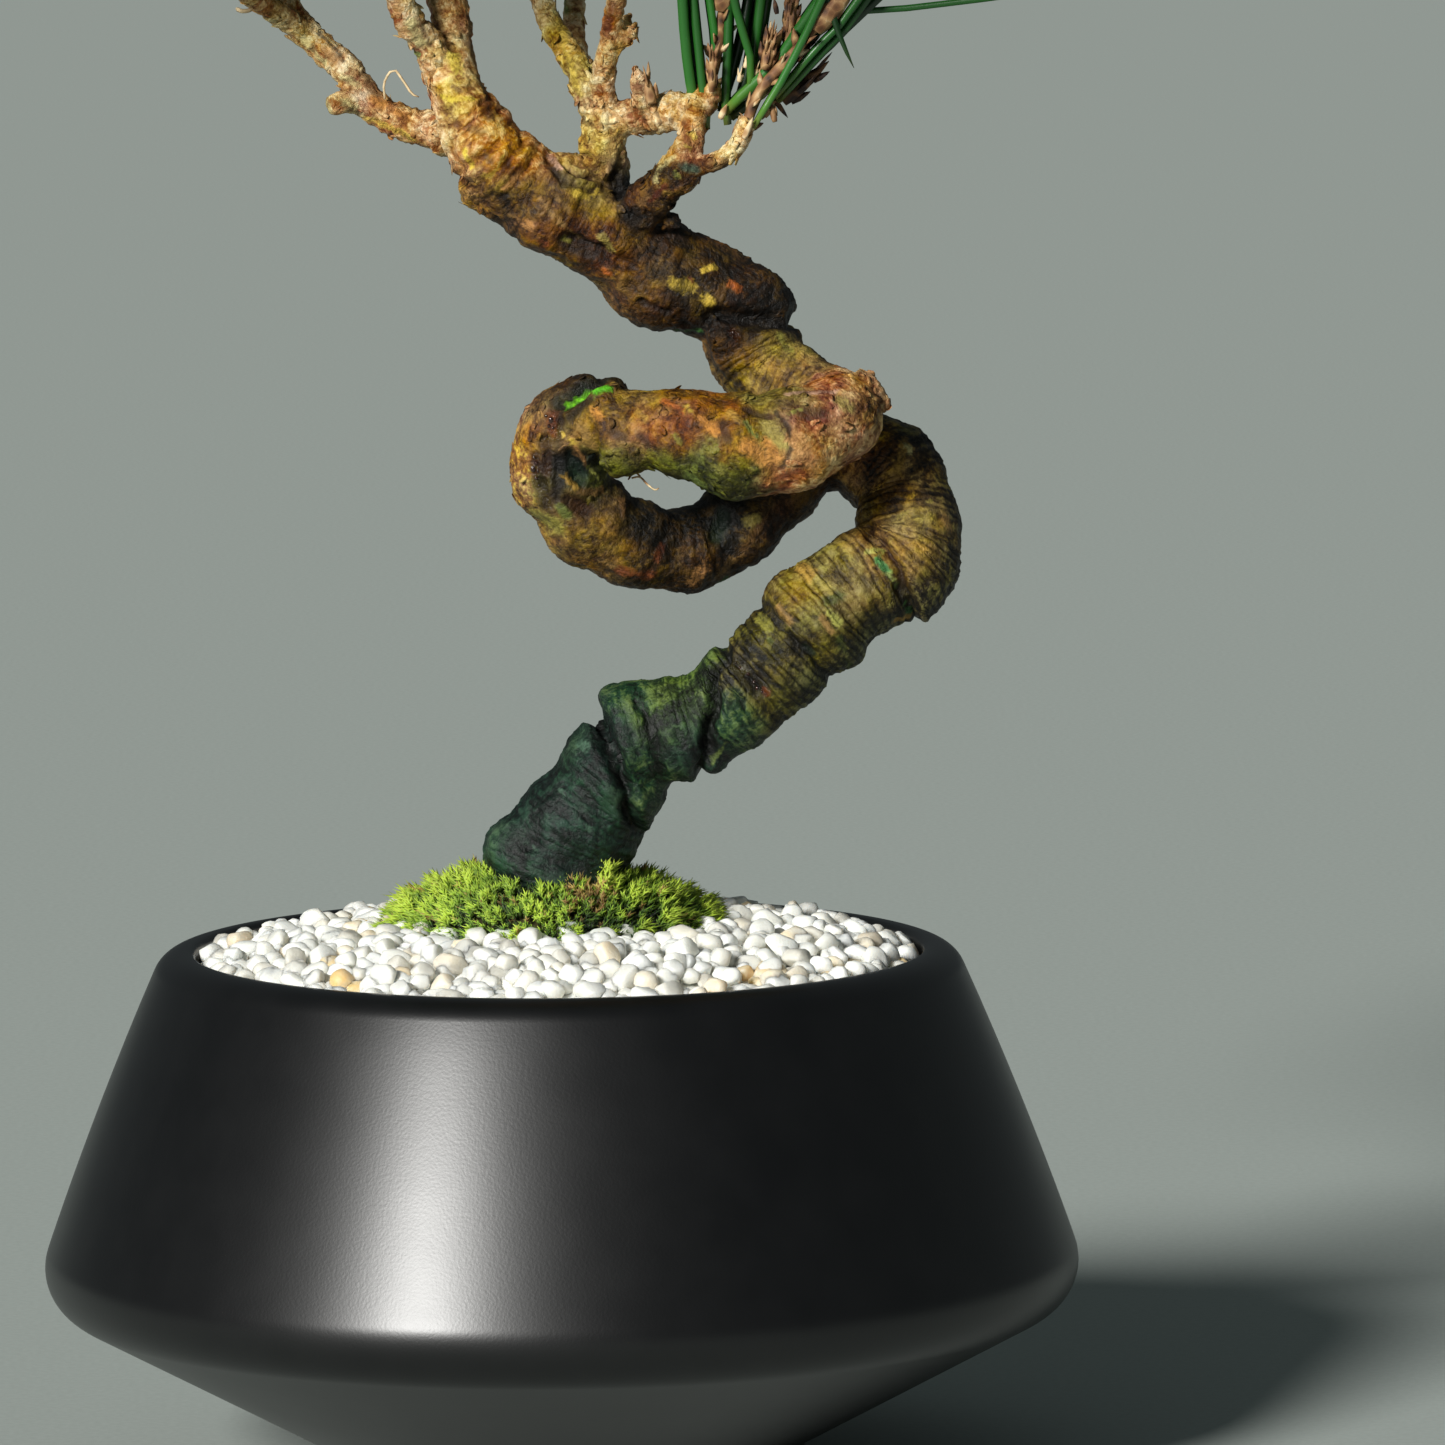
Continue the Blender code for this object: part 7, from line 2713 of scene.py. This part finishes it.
@dataclass
class DryParts:
    """Buds, sheaths and dry strands in view on the twigs."""

    seed: int = 71
    strand_step: float = 0.4

    def build(self, parts: dict[str, Pattern]) -> bpy.types.Object:
        """Lay the buds with their scales, and the strands.

        Args:
            parts: the patterns.

        Returns:
            One piece of them all.
        """
        rng = random.Random(self.seed)
        gathered = Copies()
        buds = [Bud(SIGHT.at_depth(*row[:3]), SIGHT.at_depth(*row[3:6]), *row[6:]) for row in BUDS]
        for bud in buds:
            foot, tip = np.array(bud.foot), np.array(bud.tip)
            way = tip - foot
            length = float(np.linalg.norm(way))
            side, depth, along = axes_for(way)
            gathered.add(bent(parts["bud"], foot, way, length, 0.82 * bud.radius, np.zeros(3), 0.0),
                         parts["bud"].faces, scale_tone=bud.tone)
            for k in range(bud.scales):
                share = 0.05 + 0.8 * (k + 0.5) / bud.scales
                turn = GOLDEN * k
                out = math.cos(turn) * side + math.sin(turn) * depth
                root = foot + share * way + 0.62 * bud.radius * out
                rise = along + rng.uniform(0.05, 0.4) * out
                size = rng.uniform(0.9, 1.5) * min(3.0, 2.2 * bud.radius)
                gathered.add(bent(parts["scale"], root, rise, size, 0.8 * bud.radius, np.zeros(3), turn),
                             parts["scale"].faces, scale_tone=bud.tone + rng.uniform(-0.4, 0.15))
        for strand in read_strands(STRANDS):
            points = swept(parts["strand"], strand.smooth(self.strand_step), strand.radius)
            gathered.add(points, parts["strand"].faces, scale_tone=strand.tone)
        return gathered.piece("dry_parts")

    def dress(self, piece: bpy.types.Object, finish: bpy.types.Material) -> None:
        """Give the dry parts their paper and set them on the frame."""
        finish_piece(piece, "dry_buds", finish)


@dataclass
class Crown:
    """All the sprays, from patterns that are modelled once."""

    def patterns(self) -> dict[str, Pattern]:
        """Model the needle, the sheath, the scale, the bud and the strand.

        Returns:
            The patterns by name.
        """
        needle = upright_shape(((0.0, 0.72), (0.06, 0.9), (0.13, 1.0), (0.2, 1.0), (0.28, 1.0), (0.42, 1.02),
                                (0.54, 1.0), (0.68, 1.0), (0.82, 0.86), (0.94, 0.55), (1.0, 0.08)), 6)
        flat = needle.points[:, 1] < -0.3 * np.maximum(0.2, np.abs(needle.points[:, 1]).max())
        needle.points[flat, 1] *= 0.45
        sheath = upright_shape(((0.0, 0.8), (0.3, 1.1), (0.8, 1.0), (1.0, 0.85)), 6)
        scale = upright_shape(((0.0, 0.5), (0.4, 0.62), (0.8, 0.3), (1.0, 0.04)), 4)
        scale.points[:, 1] *= 0.45
        bud = upright_shape(((0.0, 0.75), (0.15, 1.0), (0.4, 1.05), (0.65, 0.8), (0.85, 0.42),
                             (1.0, 0.06)), 10)
        strand = upright_shape(tuple((k / 12.0, 1.0 if k < 12 else 0.4) for k in range(13)), 6)
        return {"needle": needle, "sheath": sheath, "scale": scale, "bud": bud, "strand": strand}

    def build(self) -> None:
        """Build and dress every spray."""
        parts = self.patterns()
        finishes = (PineNeedle().material(), PaperyScale().material())
        for place, (name, spray) in enumerate(SPRAYS.items()):
            made = NeedleSpray(name, spray, seed=place)
            pieces = made.build(parts)
            made.dress(pieces, finishes)
            report(*pieces)
        dry = DryParts()
        dry.dress(dry.build(parts), finishes[1])


@dataclass
class Stage:
    """A pale floor, one soft far light from the front left, dim air and the camera."""

    floor_size: float = 16.0
    floor_back: float = 4.0
    key_strength: float = 4.75
    key_degrees: float = 15.0
    key_way: tuple[float, float, float] = (-0.492, -0.768, 0.410)
    air: str = "#8f9a9c"
    air_strength: float = 0.27

    def build(self) -> None:
        """Lay the floor, hang the lights and set the camera."""
        floor = add_shape(bpy.ops.mesh.primitive_plane_add, size=self.floor_size,
                          location=(0.0, self.floor_back, 0.0))
        floor.name = "floor"
        floor.data.materials.append(PaleFloor().material())
        key = bpy.data.lights.new("key", "SUN")
        key.energy = self.key_strength
        key.angle = math.radians(self.key_degrees)
        key.color = (1.0, 0.99, 0.96)
        holder = add_object("key", key)
        holder.rotation_euler = Vector(self.key_way).to_track_quat("Z", "Y").to_euler()
        world = bpy.data.worlds.new("air")
        world.use_nodes = True
        back = world.node_tree.nodes["Background"]
        back.inputs["Color"].default_value = linear(self.air)
        back.inputs["Strength"].default_value = self.air_strength
        bpy.context.scene.world = world
        bpy.context.scene.view_settings.view_transform = "Standard"
        self.set_camera()

    def set_camera(self) -> None:
        """Set the camera at the front view's angle."""
        lens = bpy.data.cameras.new("camera")
        lens.lens = SIGHT.lens
        lens.sensor_width = SIGHT.sensor
        lens.clip_end = 60.0
        camera = add_object("camera", lens)
        camera.matrix_world = Matrix.Translation(Vector(SIGHT.place) * MM) @ SIGHT.turn().to_4x4()
        bpy.context.scene.camera = camera


def main() -> None:
    """Build every piece in order and report it."""
    logging.basicConfig(level=logging.INFO, format="%(message)s")
    Stage().build()
    Filling().dress()
    for part in (Pot(), GravelBed(), MossMound()):
        piece = part.build()
        part.dress(piece)
        report(piece)
    finish = PineBark().material()
    wood = Wood()
    skin, bark = wood.build()
    wood.dress(skin, finish)
    report(skin)
    flakes = Flakes()
    plates = flakes.build(skin, bark)
    flakes.dress(plates, finish)
    report(plates)
    resin = Resin()
    drops = resin.build(bark)
    resin.dress(drops)
    report(drops)
    Crown().build()


if __name__ == "__main__":
    main()
